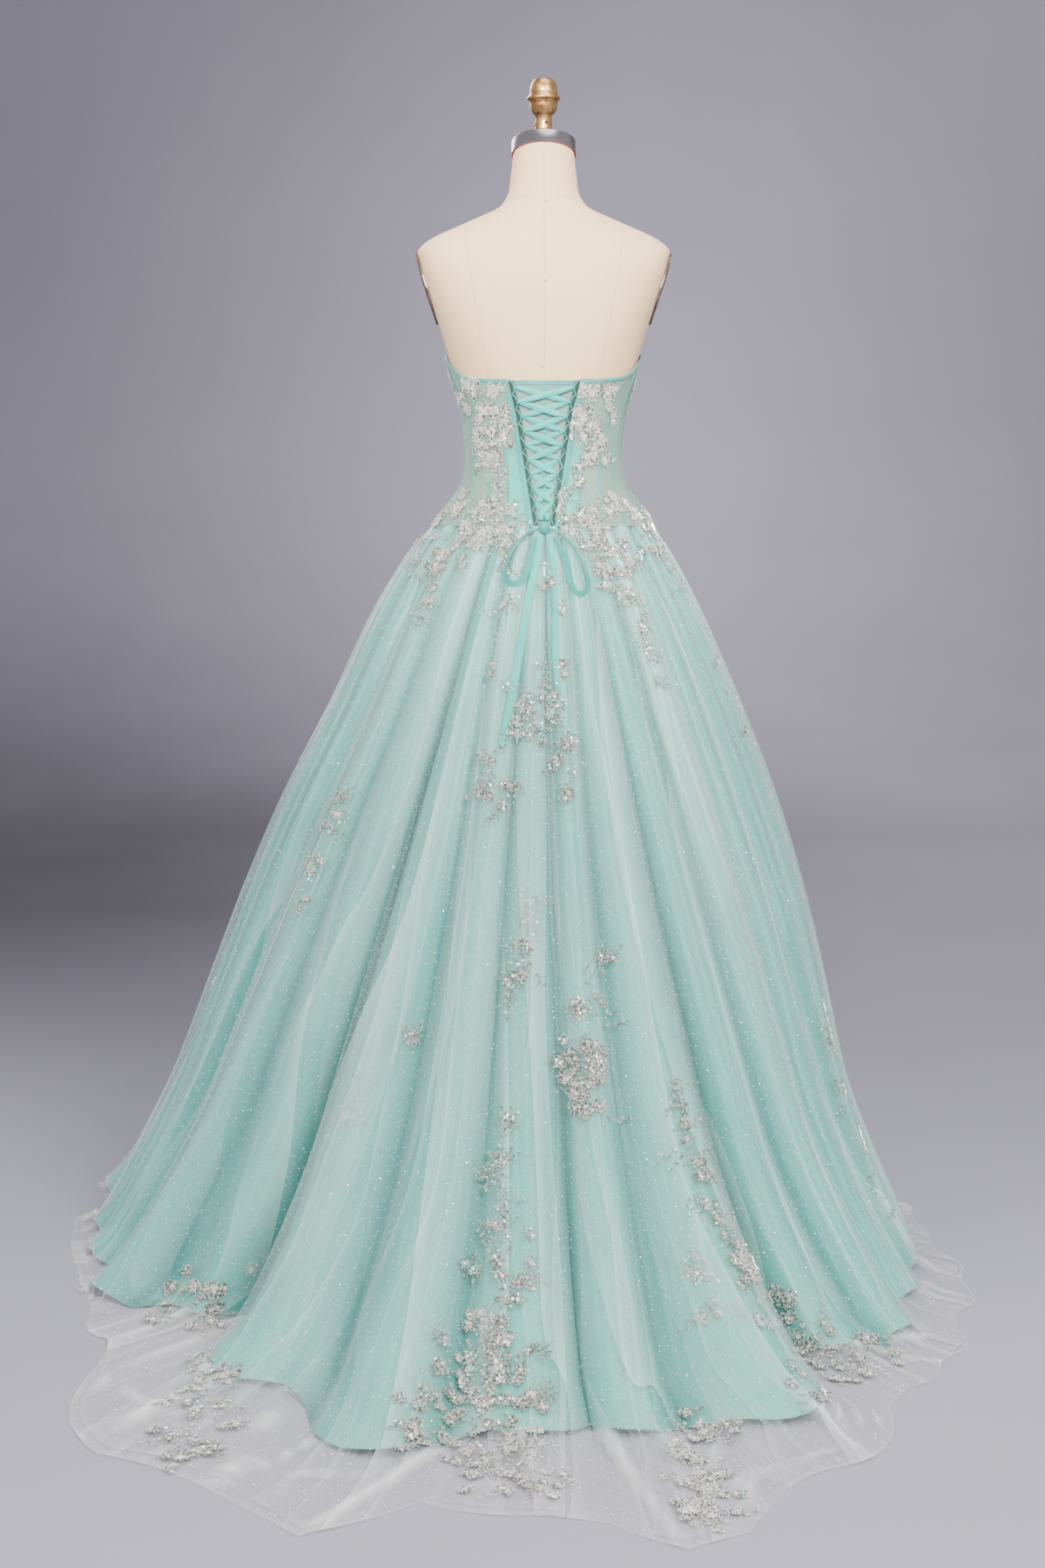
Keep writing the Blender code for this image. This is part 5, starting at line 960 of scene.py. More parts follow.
def mesh_finish(looks):
    """Sheer mesh, closer where a satin backing lies behind it; where the gap beside the lacing's loops lies behind it,
    closer and darkened with painted shade.
    """
    n = Nodes("mesh_fine_sheer")
    cloth = n.place("UV")
    cloudy = n.noise(n.place("Object"), 22.0, 3.0)
    sheer = n.ramp(cloudy, [(0.30, shade(looks.mesh, 0.90)), (0.75, shade(looks.mesh, 1.08))])
    backed, gap = n.mark("backed"), n.mark("gap")
    n.colour(n.mix(gap, n.mix(backed, sheer, shade(looks.satin, 1.05)), GAP_SHADE))
    n.put(Roughness=0.6, Sheen_Weight=0.2, Specular_IOR_Level=0.3)
    net = n.math("MULTIPLY", n.wave(cloth, 260.0, "X"), n.wave(cloth, 260.0, "Y"))
    sheer_alpha = n.math("SUBTRACT", 0.70, n.math("MULTIPLY", net, 0.12))
    alpha = n.math("ADD", sheer_alpha, n.math("MULTIPLY", n.math("MAXIMUM", backed, gap), 0.4), clamp=True)
    n.link(alpha, n.shader.inputs["Alpha"])
    n.bump(net, 0.0002, 0.4)
    return n.material


def canvas_finish(looks):
    """Woven canvas with the cover's middle, side, neck and princess seams."""
    n = Nodes("form_canvas_woven")
    colour = tuple(looks.canvas)
    place = n.place("Object")
    parts = n.add("ShaderNodeSeparateXYZ")
    n.link(place, parts.inputs[0])
    aside = n.math("ABSOLUTE", parts.outputs["X"])
    curve = n.add("ShaderNodeFloatCurve")
    points = curve.mapping.curves[0].points
    for _ in PRINCESS_ROWS[2:]:
        points.new(0.5, 0.5)
    for point, (z, reach) in zip(points, PRINCESS_ROWS):
        point.location = ((z - PRINCESS_FOOT) / PRINCESS_TALL, reach / PRINCESS_WIDE)
    curve.mapping.update()
    share = n.math("DIVIDE", n.math("SUBTRACT", parts.outputs["Z"], PRINCESS_FOOT), PRINCESS_TALL)
    n.link(share, curve.inputs["Value"])
    reach = n.math("MULTIPLY", curve.outputs["Value"], PRINCESS_WIDE)
    princess = n.math("ABSOLUTE", n.math("SUBTRACT", aside, reach))
    below = n.math("LESS_THAN", parts.outputs["Z"], PRINCESS_ROWS[-1][0])
    slope = n.math("ADD", n.math("MULTIPLY", parts.outputs["Y"], 0.10), NECK_SEAM)
    neck = n.math("ABSOLUTE", n.math("SUBTRACT", parts.outputs["Z"], slope))
    side = n.math("ABSOLUTE", parts.outputs["Y"])
    seam = n.math("SUBTRACT", 1.0, n.math("DIVIDE", aside, SEAM_HALF, clamp=True))
    for away, where in ((princess, below), (neck, None), (side, n.math("GREATER_THAN", aside, 0.05))):
        line = n.math("SUBTRACT", 1.0, n.math("DIVIDE", away, SEAM_HALF, clamp=True))
        if where is not None:
            line = n.math("MULTIPLY", line, where)
        seam = n.math("MAXIMUM", seam, line)
    cloudy = n.noise(place, 6.0, 5.0, 0.6)
    specks = n.noise(place, 420.0, 2.0)
    tone = n.blend(cloudy, 0.75, specks, 0.25)
    base = n.ramp(tone, [(0.30, shade(colour, 0.92)), (0.50, colour), (0.72, shade(colour, 1.06))])
    n.colour(n.mix(n.math("MULTIPLY", seam, 0.32), base, shade(colour, 0.5)))
    n.put(Roughness=0.9, Sheen_Weight=0.1, Specular_IOR_Level=0.25)
    warp = n.wave(n.place("Object", (1, 1, 0)), 230.0, "X")
    weft = n.wave(place, 230.0, "Z")
    weave = n.math("MULTIPLY", n.math("ADD", warp, weft), 0.30)
    n.bump(n.math("SUBTRACT", n.math("ADD", weave, specks), n.math("MULTIPLY", seam, 2.0)), 0.0004, 0.5)
    return n.material


def patchy_finish(name, noise, stops, bump=None, stretch=(1, 1, 1), painted_glint=False, **values):
    """A finish in patches: the noise's scale and detail, its colours, and the bump's distance and strength."""

    def make(looks):
        n = Nodes(name)
        patches = n.noise(n.place("Object", stretch), *noise)
        base = n.ramp(patches, stops)
        n.colour(base)
        n.put(**values)
        # the colour also shines out as emission, a painted glint
        if painted_glint:
            n.link(base, n.shader.inputs["Emission Color"])
        if bump:
            n.bump(patches, *bump)
        return n.material

    return make


def brass_finish(looks):
    n = Nodes("brass_worn")
    place = n.place("Object")
    patches = n.noise(place, 90.0, 6.0, 0.65)
    n.colour(n.ramp(patches, BRASS_TONES))
    rough = n.ramp(n.noise(place, 160.0, 4.0), [(0.3, (0.26, 0.26, 0.26)), (0.8, (0.50, 0.50, 0.50))])
    n.link(rough, n.shader.inputs["Roughness"])
    n.put(Metallic=1.0)
    n.bump(patches, 0.0004, 0.4)
    return n.material


def bronze_finish(looks):
    n = Nodes("plate_bronze_enamel")
    place = n.place("Object")
    n.colour(n.ramp(n.noise(place, 60.0, 5.0), [(0.3, (0.09, 0.06, 0.045)), (0.8, (0.22, 0.15, 0.10))]))
    n.put(Metallic=0.8, Roughness=0.38)
    n.bump(n.noise(place, 900.0, 2.0), 0.0002, 0.3)
    return n.material


def thread_finish(looks):
    """Embroidery in small cells: light along a petal's rim, from the silver beading's own colour and a painted
    highlight; dark in its middle, from darker thread and painted shade; its whitest cells are painted glints.
    """
    n = Nodes("lace_beaded_thread")
    colour = tuple(looks.lace)
    cells = n.add("ShaderNodeTexVoronoi")
    cells.inputs["Scale"].default_value = 340.0
    n.link(n.place("Object"), cells.inputs["Vector"])
    tint = n.add("ShaderNodeSeparateColor")
    n.link(cells.outputs["Color"], tint.inputs[0])
    # rim: the beading's silver and a painted highlight where a raised rim would catch light; the middle gets painted
    # shade, the whitest cells painted glints
    rim = n.math("POWER", n.mark("rim"), 1.4, clamp=True)
    dark, half, light = (shade(colour, share) for share in (0.06, 0.18, 0.50))
    middle = n.ramp(tint.outputs[0], [(0.15, dark), (0.50, half), (0.85, light)])
    edge = n.ramp(tint.outputs[0], [(0.20, half), (0.50, shade(colour, 0.70)), (0.78, (1.0, 1.0, 0.98))])
    n.colour(n.mix(rim, middle, edge))
    n.link(n.math("ADD", n.math("MULTIPLY", rim, 0.50), 0.50, clamp=True), n.shader.inputs["Alpha"])
    n.put(Roughness=0.34, Metallic=0.10, Specular_IOR_Level=0.8)
    n.bump(n.math("SUBTRACT", 1.0, cells.outputs["Distance"]), 0.0020, 1.0)
    return n.material


def sequin_finish(name, low, high):
    values = {"Metallic": 0.55, "Roughness": 0.10, "Specular_IOR_Level": 0.8, "Coat_Weight": 0.5}
    stops = [(0.35, low), (0.65, high)]
    # the sequins glow a little in their own colours, a painted glint
    return patchy_finish(name, (210.0, 2.0), stops, painted_glint=True, Emission_Strength=0.22, **values)


def plain_finish(name, colour, roughness, scale=30.0):
    stops = [(0.3, shade(colour, 0.9)), (0.75, shade(colour, 1.05))]
    return patchy_finish(name, (scale, 3.0), stops, (0.0002, 0.2), Roughness=roughness)


def sweep_finish(looks):
    n = Nodes("studio_paper")
    cloudy = n.math("MULTIPLY", n.math("SUBTRACT", n.noise(n.place("Object"), 1.4, 3.0), 0.5), 0.05)
    # the tone mark carries the paper's painted light and shade
    n.colour(n.ramp(n.math("ADD", n.mark("tone"), cloudy), [(0.0, (0.0, 0.0, 0.0)), (1.0, (0.88, 0.84, 1.0))]))
    n.put(Roughness=0.85)
    n.bump(n.noise(n.place("Object"), 30.0, 3.0), 0.0004, 0.1)
    return n.material


FINISHES = {
    "satin": satin_finish,
    "trim": trim_finish("satin_trim", 0.68),
    "lacing": trim_finish("satin_lacing", 0.98),
    "tulle_over": tulle_finish("tulle_upper_net", 1.0, 0.0),
    "tulle_under": tulle_finish("tulle_lower_net", 0.55, 5.4),
    "mesh": mesh_finish,
    "canvas": canvas_finish,
    "brass": brass_finish,
    "steel": patchy_finish(
        "steel_dark_polished", (60.0, 3.0), [(0.3, (0.24, 0.23, 0.24)), (0.8, (0.36, 0.34, 0.35))], (0.0001, 0.25),
        (1, 1, 40), Metallic=1.0, Roughness=0.24, Anisotropic=0.6,
    ),
    "bronze": bronze_finish,
    "paint": patchy_finish(
        "stand_paint_black", (700.0, 3.0), [(0.3, (0.030, 0.030, 0.032)), (0.8, (0.065, 0.065, 0.068))], (0.0002, 0.3),
        Metallic=0.0, Roughness=0.42, Coat_Weight=0.2,
    ),
    "zip": patchy_finish(
        "zip_lacquered", (900.0, 4.0),
        [(0.35, (0.34, 0.62, 0.58)), (0.62, (0.50, 0.74, 0.70)), (0.80, (0.80, 0.84, 0.82))],
        (0.0001, 0.3), Metallic=0.85, Roughness=0.3,
    ),
    "thread": thread_finish,
    "bead": patchy_finish(
        "bead_silver_lined", (240.0, 2.0), BEAD_TONES, Metallic=0.12, Roughness=0.12, Specular_IOR_Level=1.0,
    ),
    "sequin_clear": sequin_finish("sequin_clear", (0.80, 0.82, 0.82), (1.0, 0.98, 0.96)),
    "sequin_rose": sequin_finish("sequin_rose", (0.90, 0.62, 0.54), (1.0, 0.84, 0.78)),
    "sequin_aqua": sequin_finish("sequin_aqua", (0.10, 0.62, 0.58), (0.45, 0.92, 0.86)),
    # the glitter glows a little, a painted sparkle
    "glitter": patchy_finish(
        "glitter_silver", (300.0, 1.0), [(0.35, (0.75, 0.86, 0.84)), (0.65, (1.0, 1.0, 1.0))], Metallic=0.2,
        Roughness=0.2, Specular_IOR_Level=0.9, Emission_Strength=0.25, Emission_Color=(0.9, 1.0, 0.98, 1.0),
    ),
    "stitching": plain_finish("stitch_thread", (0.22, 0.55, 0.51), 0.6, 400.0),
    # a dark disc painted as the shade down in the finial's hole
    "hole_shade": plain_finish("hole_painted_shade", (0.012, 0.009, 0.008), 0.8),
    "pin": plain_finish("pin_dark", (0.10, 0.08, 0.07), 0.4),
    "felt": plain_finish("ring_felt_red", (0.20, 0.035, 0.030), 0.9, 300.0),
    "sweep": sweep_finish,
}


# ---------------------------------------------------------------- skirt


def quarter_radius(angle, left, right, back, front):
    s = np.sin(angle)
    c = np.cos(angle)
    side = np.where(s > 0, left, right)
    depth = np.where(c > 0, back, front)
    return 1 / np.hypot(s / side, c / depth)


def fold_values():
    """For each fine column: values blended between two valleys, its own fold's values, and its ridge's height."""
    count = len(FOLD_ROWS)
    place = np.arange(count * FINE_COLUMNS) / FINE_COLUMNS
    fold = place.astype(int)
    t = place - fold
    table = np.array([row[1:] for row in FOLD_ROWS], float)
    after = np.roll(table, -1, axis=0)
    after[-1, :2] += 360.0
    mixed = table[fold] * (1 - t)[:, None] + after[fold] * t[:, None]
    ridge = np.sin(np.pi * t) ** RIDGE_POWER
    return mixed, table[fold], ridge


def crease_height(rows, angle, radius, down, height=5):
    """Sum of soft creases at each point: rows as in the tables, angles in radians, height the column to sum."""
    total = np.zeros_like(angle)
    for row in rows:
        centre = np.radians(row[0] * (1 - down) + row[1] * down)
        turn = (angle - centre + math.pi) % (2 * math.pi) - math.pi
        width = row[4] / 1000 * (0.40 + 1.5 * down)
        shape = np.exp(-((turn * radius / width) ** 2))
        start = soft_step(row[2] - 0.06, row[2] + 0.08, down) if row[2] > 0 else 1.0
        end = 1 - soft_step(row[3] - 0.16, row[3] + 0.02, down) if row[3] < 1 else 1.0
        total += shape * start * end * row[height]
    return total


@functools.lru_cache(maxsize=None)
def skirt_cloth():
    """Fine grids of the satin and of the two nets, with the nets' whiteness."""
    mixed, own, ridge = fold_values()
    last = len(SKIRT_ROWS) - 1
    level = np.linspace(0, 1, FINE_ROWS + 1) * last
    keys = np.arange(len(SKIRT_ROWS))
    z, left, right, back, front, ease, share, rise = (
        smooth_column(keys, column(SKIRT_ROWS, k), level)[:, None] for k in range(8)
    )
    down = (level / last)[:, None] + 0 * ridge[None]
    angle = np.radians(mixed[None, :, 0] * (1 - down) + mixed[None, :, 1] * down)
    high = soft_step(0, MID_SHARE, down)
    low = soft_step(MID_SHARE, LOW_SHARE, down)
    depth = mixed[None, :, 2] * (1 - high) + mixed[None, :, 3] * high
    depth = depth * (1 - low) + mixed[None, :, 4] * low
    fade = 1 - soft_step(last - 1.0, last, level)[:, None]
    hem = mixed[:, 5] * (1 - ridge) + own[:, 6] * ridge
    base = quarter_radius(angle, left, right, back, front)
    floor_ring = quarter_radius(angle, *SKIRT_ROWS[-1][1:5])
    radius = base - depth / 1000 * (1 - ridge[None]) * fade + share * (hem[None] - floor_ring)
    height = np.where(level[:, None] == 0, WAIST_SEAM - SEAM_GAP, z) + rise * ridge[None]
    form = np.stack([radius * np.sin(angle), radius * np.cos(angle), height], axis=-1)
    normals = grid_normals(form, True)

    ease_in = soft_step(0.0, 0.10, down)
    satin_fold = crease_height(SATIN_CREASES, angle, radius, down) / 1000 * ease_in
    satin_fold = satin_fold + crease_height(HEM_CREASES, angle, radius, down) / 1000
    satin = form + normals * satin_fold[..., None]
    satin[..., 2] = np.maximum(satin[..., 2], 0.0006)

    random = np.random.default_rng(GATHER_SEED)
    gathers = []
    for _ in range(GATHER_COUNT):
        at = random.uniform(0, 360)
        start = random.choice([0.0, 0.0, 0.1, 0.35])
        end = min(1.0, start + random.uniform(0.25, 1.0))
        hem_at = at + np.interp(at, column(FOLD_ROWS, 1), np.subtract(column(FOLD_ROWS, 2), column(FOLD_ROWS, 1)))
        size = random.uniform(0.3, 1.0)
        gathers.append((at, hem_at, start, end, 2.0 + 3.0 * size, 1.4 * size, random.uniform(-0.10, 0.20)))
    upper = crease_height(TULLE_FOLDS, angle, radius, down) / 1000
    fine = crease_height(gathers, angle, radius, down) / 1000
    white = crease_height(TULLE_FOLDS, angle, radius, down, 6)
    fine_white = crease_height(gathers, angle, radius, down, 6)
    bands = own[None, :, 9] * (1 - soft_step(0.3, 0.8, down)) + own[None, :, 10] * soft_step(0.3, 0.8, down)

    lift_in = np.maximum(satin_fold, 0) + WALL_LINING
    under = form + normals * (lift_in + ease * 0.35 + 0.5 * np.maximum(fine, 0) * ease_in)[..., None]
    over_lift = lift_in + ease + NET_CLEAR + (0.75 * upper + fine) * ease_in * fade**0.3
    over = form + normals * np.maximum(over_lift, lift_in + ease * 0.5)[..., None]
    over, under, satin = pressed(over, 0.0012), pressed(under, 0.0022), pressed(satin, 0.0040)
    ring = ridge[None] ** 1.3
    low_down = 1 - 0.35 * soft_step(0.45, 0.75, down)
    even, ridges, folds, gathered, waist = VEIL_OVER
    veil_over = even + ridges * bands * ring * low_down + folds * white * (0.3 + 0.5 * down) + gathered * fine_white
    veil_over = veil_over + waist * (1 - soft_step(0.0, 0.22, down))
    even, ridges, gathered = VEIL_UNDER
    veil_under = even + ridges * ring * low_down + gathered * fine_white

    train_over, veil_train = floor_net(mixed, own, ridge, over[-1], angle[-1], 1.0)
    train_under, veil_low = floor_net(mixed, own, ridge, under[-1], angle[-1], UNDER_REACH)
    over[-1, :, 2] = np.maximum(over[-1, :, 2], satin[-1, :, 2] + NET_CLEAR)
    under[-1, :, 2] = np.maximum(under[-1, :, 2], satin[-1, :, 2] + NET_CLEAR / 2)
    over = np.concatenate([over, train_over])
    under = np.concatenate([under, train_under])
    over[..., 2] = np.maximum(over[..., 2], NET_LAY[0])
    under[..., 2] = np.maximum(under[..., 2], NET_LAY[1])
    veil_over = np.clip(np.concatenate([veil_over, veil_train]), 0.0, MOST_VEIL)
    veil_under = np.clip(np.concatenate([veil_under, veil_low]), 0.0, MOST_VEIL)
    # crest: how near each column is to its fold's ridge; the satin is darkened by it with painted shade
    return {
        "satin": satin, "over": over, "under": under, "veil_over": veil_over, "veil_under": veil_under, "crest": ring,
    }


def pressed(grid, clear):
    """The cloth's grid, pushed in under the bow and the hanging ribbon ends."""
    grid = grid.copy()
    part = grid[: np.searchsorted(-grid[:, 0, 2], -PRESS_FOOT)]
    ends = [(route, RIBBON_WIDTH) for route in (TAIL_LONG, TAIL_SHORT)]
    loops = [(route, LOOP_RIBBON) for route in (BOW_LEFT, BOW_RIGHT)]
    for route, half in ends + loops:
        for x, y, z in finer(route, 2):
            reach = math.hypot(x, y) - clear
            radius = np.hypot(part[..., 0], part[..., 1])
            turn = np.arctan2(part[..., 0], part[..., 1]) - math.atan2(x, y)
            away = np.hypot(turn * radius, part[..., 2] - z)
            slope = (z - part[..., 2]) * 0.55
            allowed = reach + slope + np.clip(away - half, 0, None) * 0.8
            keep = np.where(away < PRESS_REACH, np.minimum(radius, allowed), radius) / radius
            part[..., :2] *= keep[..., None]
    return grid


def floor_net(mixed, own, ridge, near_ring, near_angle, reach):
    """The net on the floor past the satin's hem, with its straight folds."""
    share = np.linspace(0, 1, TRAIN_ROWS + 1)[1:, None]
    near = np.hypot(near_ring[:, 0], near_ring[:, 1])
    place = (np.arange(len(ridge)) / FINE_COLUMNS) % 1.0
    point = 1 - np.abs(2 * place - 1)
    far = mixed[:, 7] * (1 - point) + own[:, 8] * point
    far = near + (far - near) * reach
    ragged = np.radians(mixed[:, 1])
    far = far + 0.012 * np.abs(np.sin(ragged * 8.5 + 1.3)) * np.sin(ragged * 5) * (reach == 1.0)
    radius = near[None] + (far - near)[None] * share
    angle = near_angle[None] + 0 * share
    rise = TULLE_RISE * ridge[None] * (1 - TULLE_FLAT * share)
    height = near_ring[None, :, 2] * (1 - soft_step(0, 0.5, share)) + rise
    points = np.stack([radius * np.sin(angle), radius * np.cos(angle), height], axis=-1)
    even, ridges, folds, hem_edge = VEIL_FLOOR
    veil = even + ridges * ridge[None] * (1 - share)
    for a0, r0, a1, r1, width, white in FLOOR_FOLDS:
        turns = np.radians([a0, a1])
        start, end = (np.stack([np.sin(turns), np.cos(turns)]) * (r0, r1)).T
        run = end - start
        length = np.linalg.norm(run)
        run = run / length
        offset = points[..., :2] - start
        lengthwise = offset @ run
        sideways = offset[..., 0] * run[1] - offset[..., 1] * run[0]
        inside = soft_step(-0.02, 0.03, lengthwise) * (1 - soft_step(length - 0.02, length + 0.02, lengthwise))
        shape = np.exp(-((sideways / (width / 1000 * FLOOR_FOLD_WIDTH)) ** 2)) * inside
        veil = veil + folds * white * shape
        points[..., 2] += FLOOR_FOLD_RISE * shape * reach
    return points, veil + hem_edge * soft_step(0.95, 1.0, share)


def panel_columns(first, last):
    names = column(FOLD_ROWS, 0)
    start = names.index(first) * FINE_COLUMNS
    end = names.index(last) * FINE_COLUMNS
    total = len(FOLD_ROWS) * FINE_COLUMNS
    if end <= start:
        end += total
    return [k % total for k in range(start, end + 1)]


def parted(grid, gap):
    """A panel's edge columns moved in by the seam's gap."""
    grid = grid.copy()
    for edge, toward in ((0, 1), (-1, -2)):
        grid[:, edge] += unit(grid[:, toward] - grid[:, edge]) * gap
    return grid


def ring_tree(grid):
    """A search tree over a grid that closes on itself."""
    faces = grid_faces(*grid.shape[:2], closed=True)
    return BVHTree.FromPolygons(grid.reshape(-1, 3).tolist(), faces.tolist())


@functools.lru_cache(maxsize=None)
def net_trees():
    """Search trees over the upper and the lower net, for what is sewn on them."""
    trees = []
    for key in ("under", "over"):
        trees.append(ring_tree(skirt_cloth()[key]))
    return trees


# ---------------------------------------------------------------- bodice


def opening_half(share):
    return OPENING_FOOT + (OPENING_TOP - OPENING_FOOT) * share


def back_height(share):
    return WAIST_SEAM + (EDGE_ROWS[0][1] - WAIST_SEAM) * share


def seam_angle(name, share):
    if name == "opening":
        width = smooth_column(column(BODICE_ROWS, 0), column(BODICE_ROWS, 1), back_height(share))
        return np.arcsin(opening_half(share) / width)
    row = next(r for r in SEAM_ROWS if r[0] == name)
    return np.radians(smooth_column([0.0, WAIST_SHARE, 1.0], row[1:], share))


def bodice_grid(first, last, rows, step):
    shares = np.linspace(1, 0, rows + 1)
    columns = int(math.ceil(float(np.max(np.abs(last - first))) / step)) + 1
    t = np.linspace(0, 1, columns)
    angles = first[:, None] * (1 - t) + last[:, None] * t
    z = WAIST_SEAM + (top_height(angles) - WAIST_SEAM) * shares[:, None]
    return bodice_point(angles, z)


@functools.lru_cache(maxsize=None)
def panel_grids(rows=40, step=math.radians(2.0)):
    shares = np.linspace(1, 0, rows + 1)
    names = ["opening"] + column(SEAM_ROWS, 0)
    pieces = ["centre_back", "side_back", "back_side", "side", "side_front"]
    gap = HALF_SEAM / 0.115
    grids = {}
    for piece, first, last in zip(pieces, names[:-1], names[1:]):
        grids[piece] = bodice_grid(seam_angle(first, shares) + gap, seam_angle(last, shares) - gap, rows, step)
    near = seam_angle("princess", shares) + gap
    grids["front"] = bodice_grid(near, 2 * math.pi - near, rows, step)
    return grids


@functools.lru_cache(maxsize=None)
def waist_tree():
    """One search tree over the bodice and the top of the net, for the lace that runs over the seam."""
    verts, faces = [], []
    for piece, grid in panel_grids().items():
        for side in (grid,) if piece == "front" else (grid, mirrored(grid)):
            outer = side + grid_normals(side) * BODICE_WALL
            faces.extend(grid_faces(*outer.shape[:2], start=len(verts)).tolist())
            verts.extend(outer.reshape(-1, 3).tolist())
    top = skirt_cloth()["over"][:HIP_ROWS]
    faces.extend(grid_faces(*top.shape[:2], start=len(verts), closed=True).tolist())
    verts.extend(top.reshape(-1, 3).tolist())
    return BVHTree.FromPolygons(verts, faces)


def raised(grid, lift, thick, crown=0.0):
    """A trim's two sides: moved out from the panel, with a crown across it."""
    normals = grid_normals(grid)
    places = np.linspace(-1, 1, grid.shape[1])
    inner = grid + normals * lift
    outer = grid + normals * (lift + thick + crown * (1 - places**2))[None, :, None]
    for points in (inner, outer):
        points[-1, :, 2] = grid[-1, :, 2]
    return inner, outer


def back_point(x, z, lift):
    width = float(smooth_column(column(BODICE_ROWS, 0), column(BODICE_ROWS, 1), z))
    angle = math.asin(x / width)
    step = 0.01
    here = bodice_point(np.array([angle]), np.array([z]))[0]
    beside = bodice_point(np.array([angle + step]), np.array([z]))[0]
    above = bodice_point(np.array([angle]), np.array([z + step]))[0]
    normal = np.cross(above - here, beside - here)
    normal /= np.linalg.norm(normal)
    return here + normal * lift, normal


def loop_place(index):
    share = LOOP_FIRST + (LOOP_LAST - LOOP_FIRST) * (index + 0.5) / LOOP_COUNT
    fold = (LACING_LAYER + LACING_WALL) / 2
    return share, opening_half(share) - LOOP_REACH - LOOP_CLEAR - SEAM_GAP - fold


# ---------------------------------------------------------------- repeated small things


def node_tree(name, **inputs):
    """A tree of geometry nodes with its inputs' kinds; returns it and the outputs of its first node."""
    tree = bpy.data.node_groups.new(name, "GeometryNodeTree")
    for label, kind in {"Geometry": "Geometry", **inputs}.items():
        tree.interface.new_socket(label, in_out="INPUT", socket_type=f"NodeSocket{kind}")
    tree.interface.new_socket("Geometry", in_out="OUTPUT", socket_type="NodeSocketGeometry")
    return tree, tree.nodes.new("NodeGroupInput").outputs


def add_node(tree, kind, inputs, **settings):
    """A node with its settings. Each input takes a value or another node's socket."""
    node = tree.nodes.new(kind)
    for key, value in settings.items():
        setattr(node, key, value)
    for key, value in inputs.items():
        if isinstance(value, bpy.types.NodeSocket):
            tree.links.new(value, node.inputs[key])
        else:
            node.inputs[key].default_value = value
    return node.outputs


def times(tree, socket, factor):
    return add_node(tree, "ShaderNodeMath", {0: socket, 1: factor}, operation="MULTIPLY")[0]


def scatter_shapes(tree, material, **places):
    """Ends a tree: its shape on every point, made real and painted."""
    placed = add_node(tree, "GeometryNodeInstanceOnPoints", places)
    real = add_node(tree, "GeometryNodeRealizeInstances", {0: placed["Instances"]})
    painted = add_node(tree, "GeometryNodeSetMaterial", {"Geometry": real[0], "Material": material})
    add_node(tree, "NodeGroupOutput", {0: painted["Geometry"]})
    return tree


def run_tree(piece, tree, values, name):
    """Runs a node tree on a piece and returns its result as a plain mesh piece."""
    modifier = piece.modifiers.new(tree.name, "NODES")
    modifier.node_group = tree
    for item in tree.interface.items_tree:
        if item.item_type == "SOCKET" and item.in_out == "INPUT" and item.name in values:
            modifier[item.identifier] = values[item.name]
    graph = bpy.context.evaluated_depsgraph_get()
    graph.update()
    mesh = bpy.data.meshes.new_from_object(piece.evaluated_get(graph), depsgraph=graph)
    mesh.name = name
    piece.modifiers.remove(modifier)
    made = bpy.data.objects.new(name, mesh)
    bpy.context.scene.collection.objects.link(made)
    return made


def sprinkle_tree(name, kind, material):
    """Puts a bead or a sequin on every point, by the points' own face, turn and size."""
    tree, given = node_tree(name, Size="Float")
    half = times(tree, given["Size"], 0.5)
    if kind == "bead":
        shape = add_node(tree, "GeometryNodeMeshUVSphere", {"Segments": 3, "Rings": 2, "Radius": half})
    else:
        sizes = {"Vertices": 7, "Radius Top": 0.0, "Radius Bottom": half, "Depth": times(tree, half, SEQUIN_CUP)}
        shape = add_node(tree, "GeometryNodeMeshCone", sizes, fill_type="NONE")
    face = add_node(tree, "GeometryNodeInputNamedAttribute", {"Name": "face"}, data_type="FLOAT_VECTOR")
    size = add_node(tree, "GeometryNodeInputNamedAttribute", {"Name": "size"}, data_type="FLOAT")
    turn = add_node(tree, "FunctionNodeAlignRotationToVector", {"Vector": face["Attribute"]}, axis="Z")
    points = add_node(tree, "GeometryNodeMeshToPoints", {"Mesh": given["Geometry"]})
    return scatter_shapes(
        tree, material, Points=points["Points"], Instance=shape["Mesh"], Rotation=turn["Rotation"],
        Scale=size["Attribute"],
    )


def sprinkle(name, kind, finish_name, size, points, faces, sizes):
    """Beads or sequins as one mesh: points, the way each faces, and a size factor for each."""
    material = finish(finish_name)
    seeds = new_piece(f"{name}_places", points, [], material, marks={"face": faces, "size": sizes}, smooth=False)
    made = run_tree(seeds, sprinkle_tree(f"{name}_nodes", kind, material), {"Size": size}, name)
    bpy.data.objects.remove(seeds)
    return settle(made)


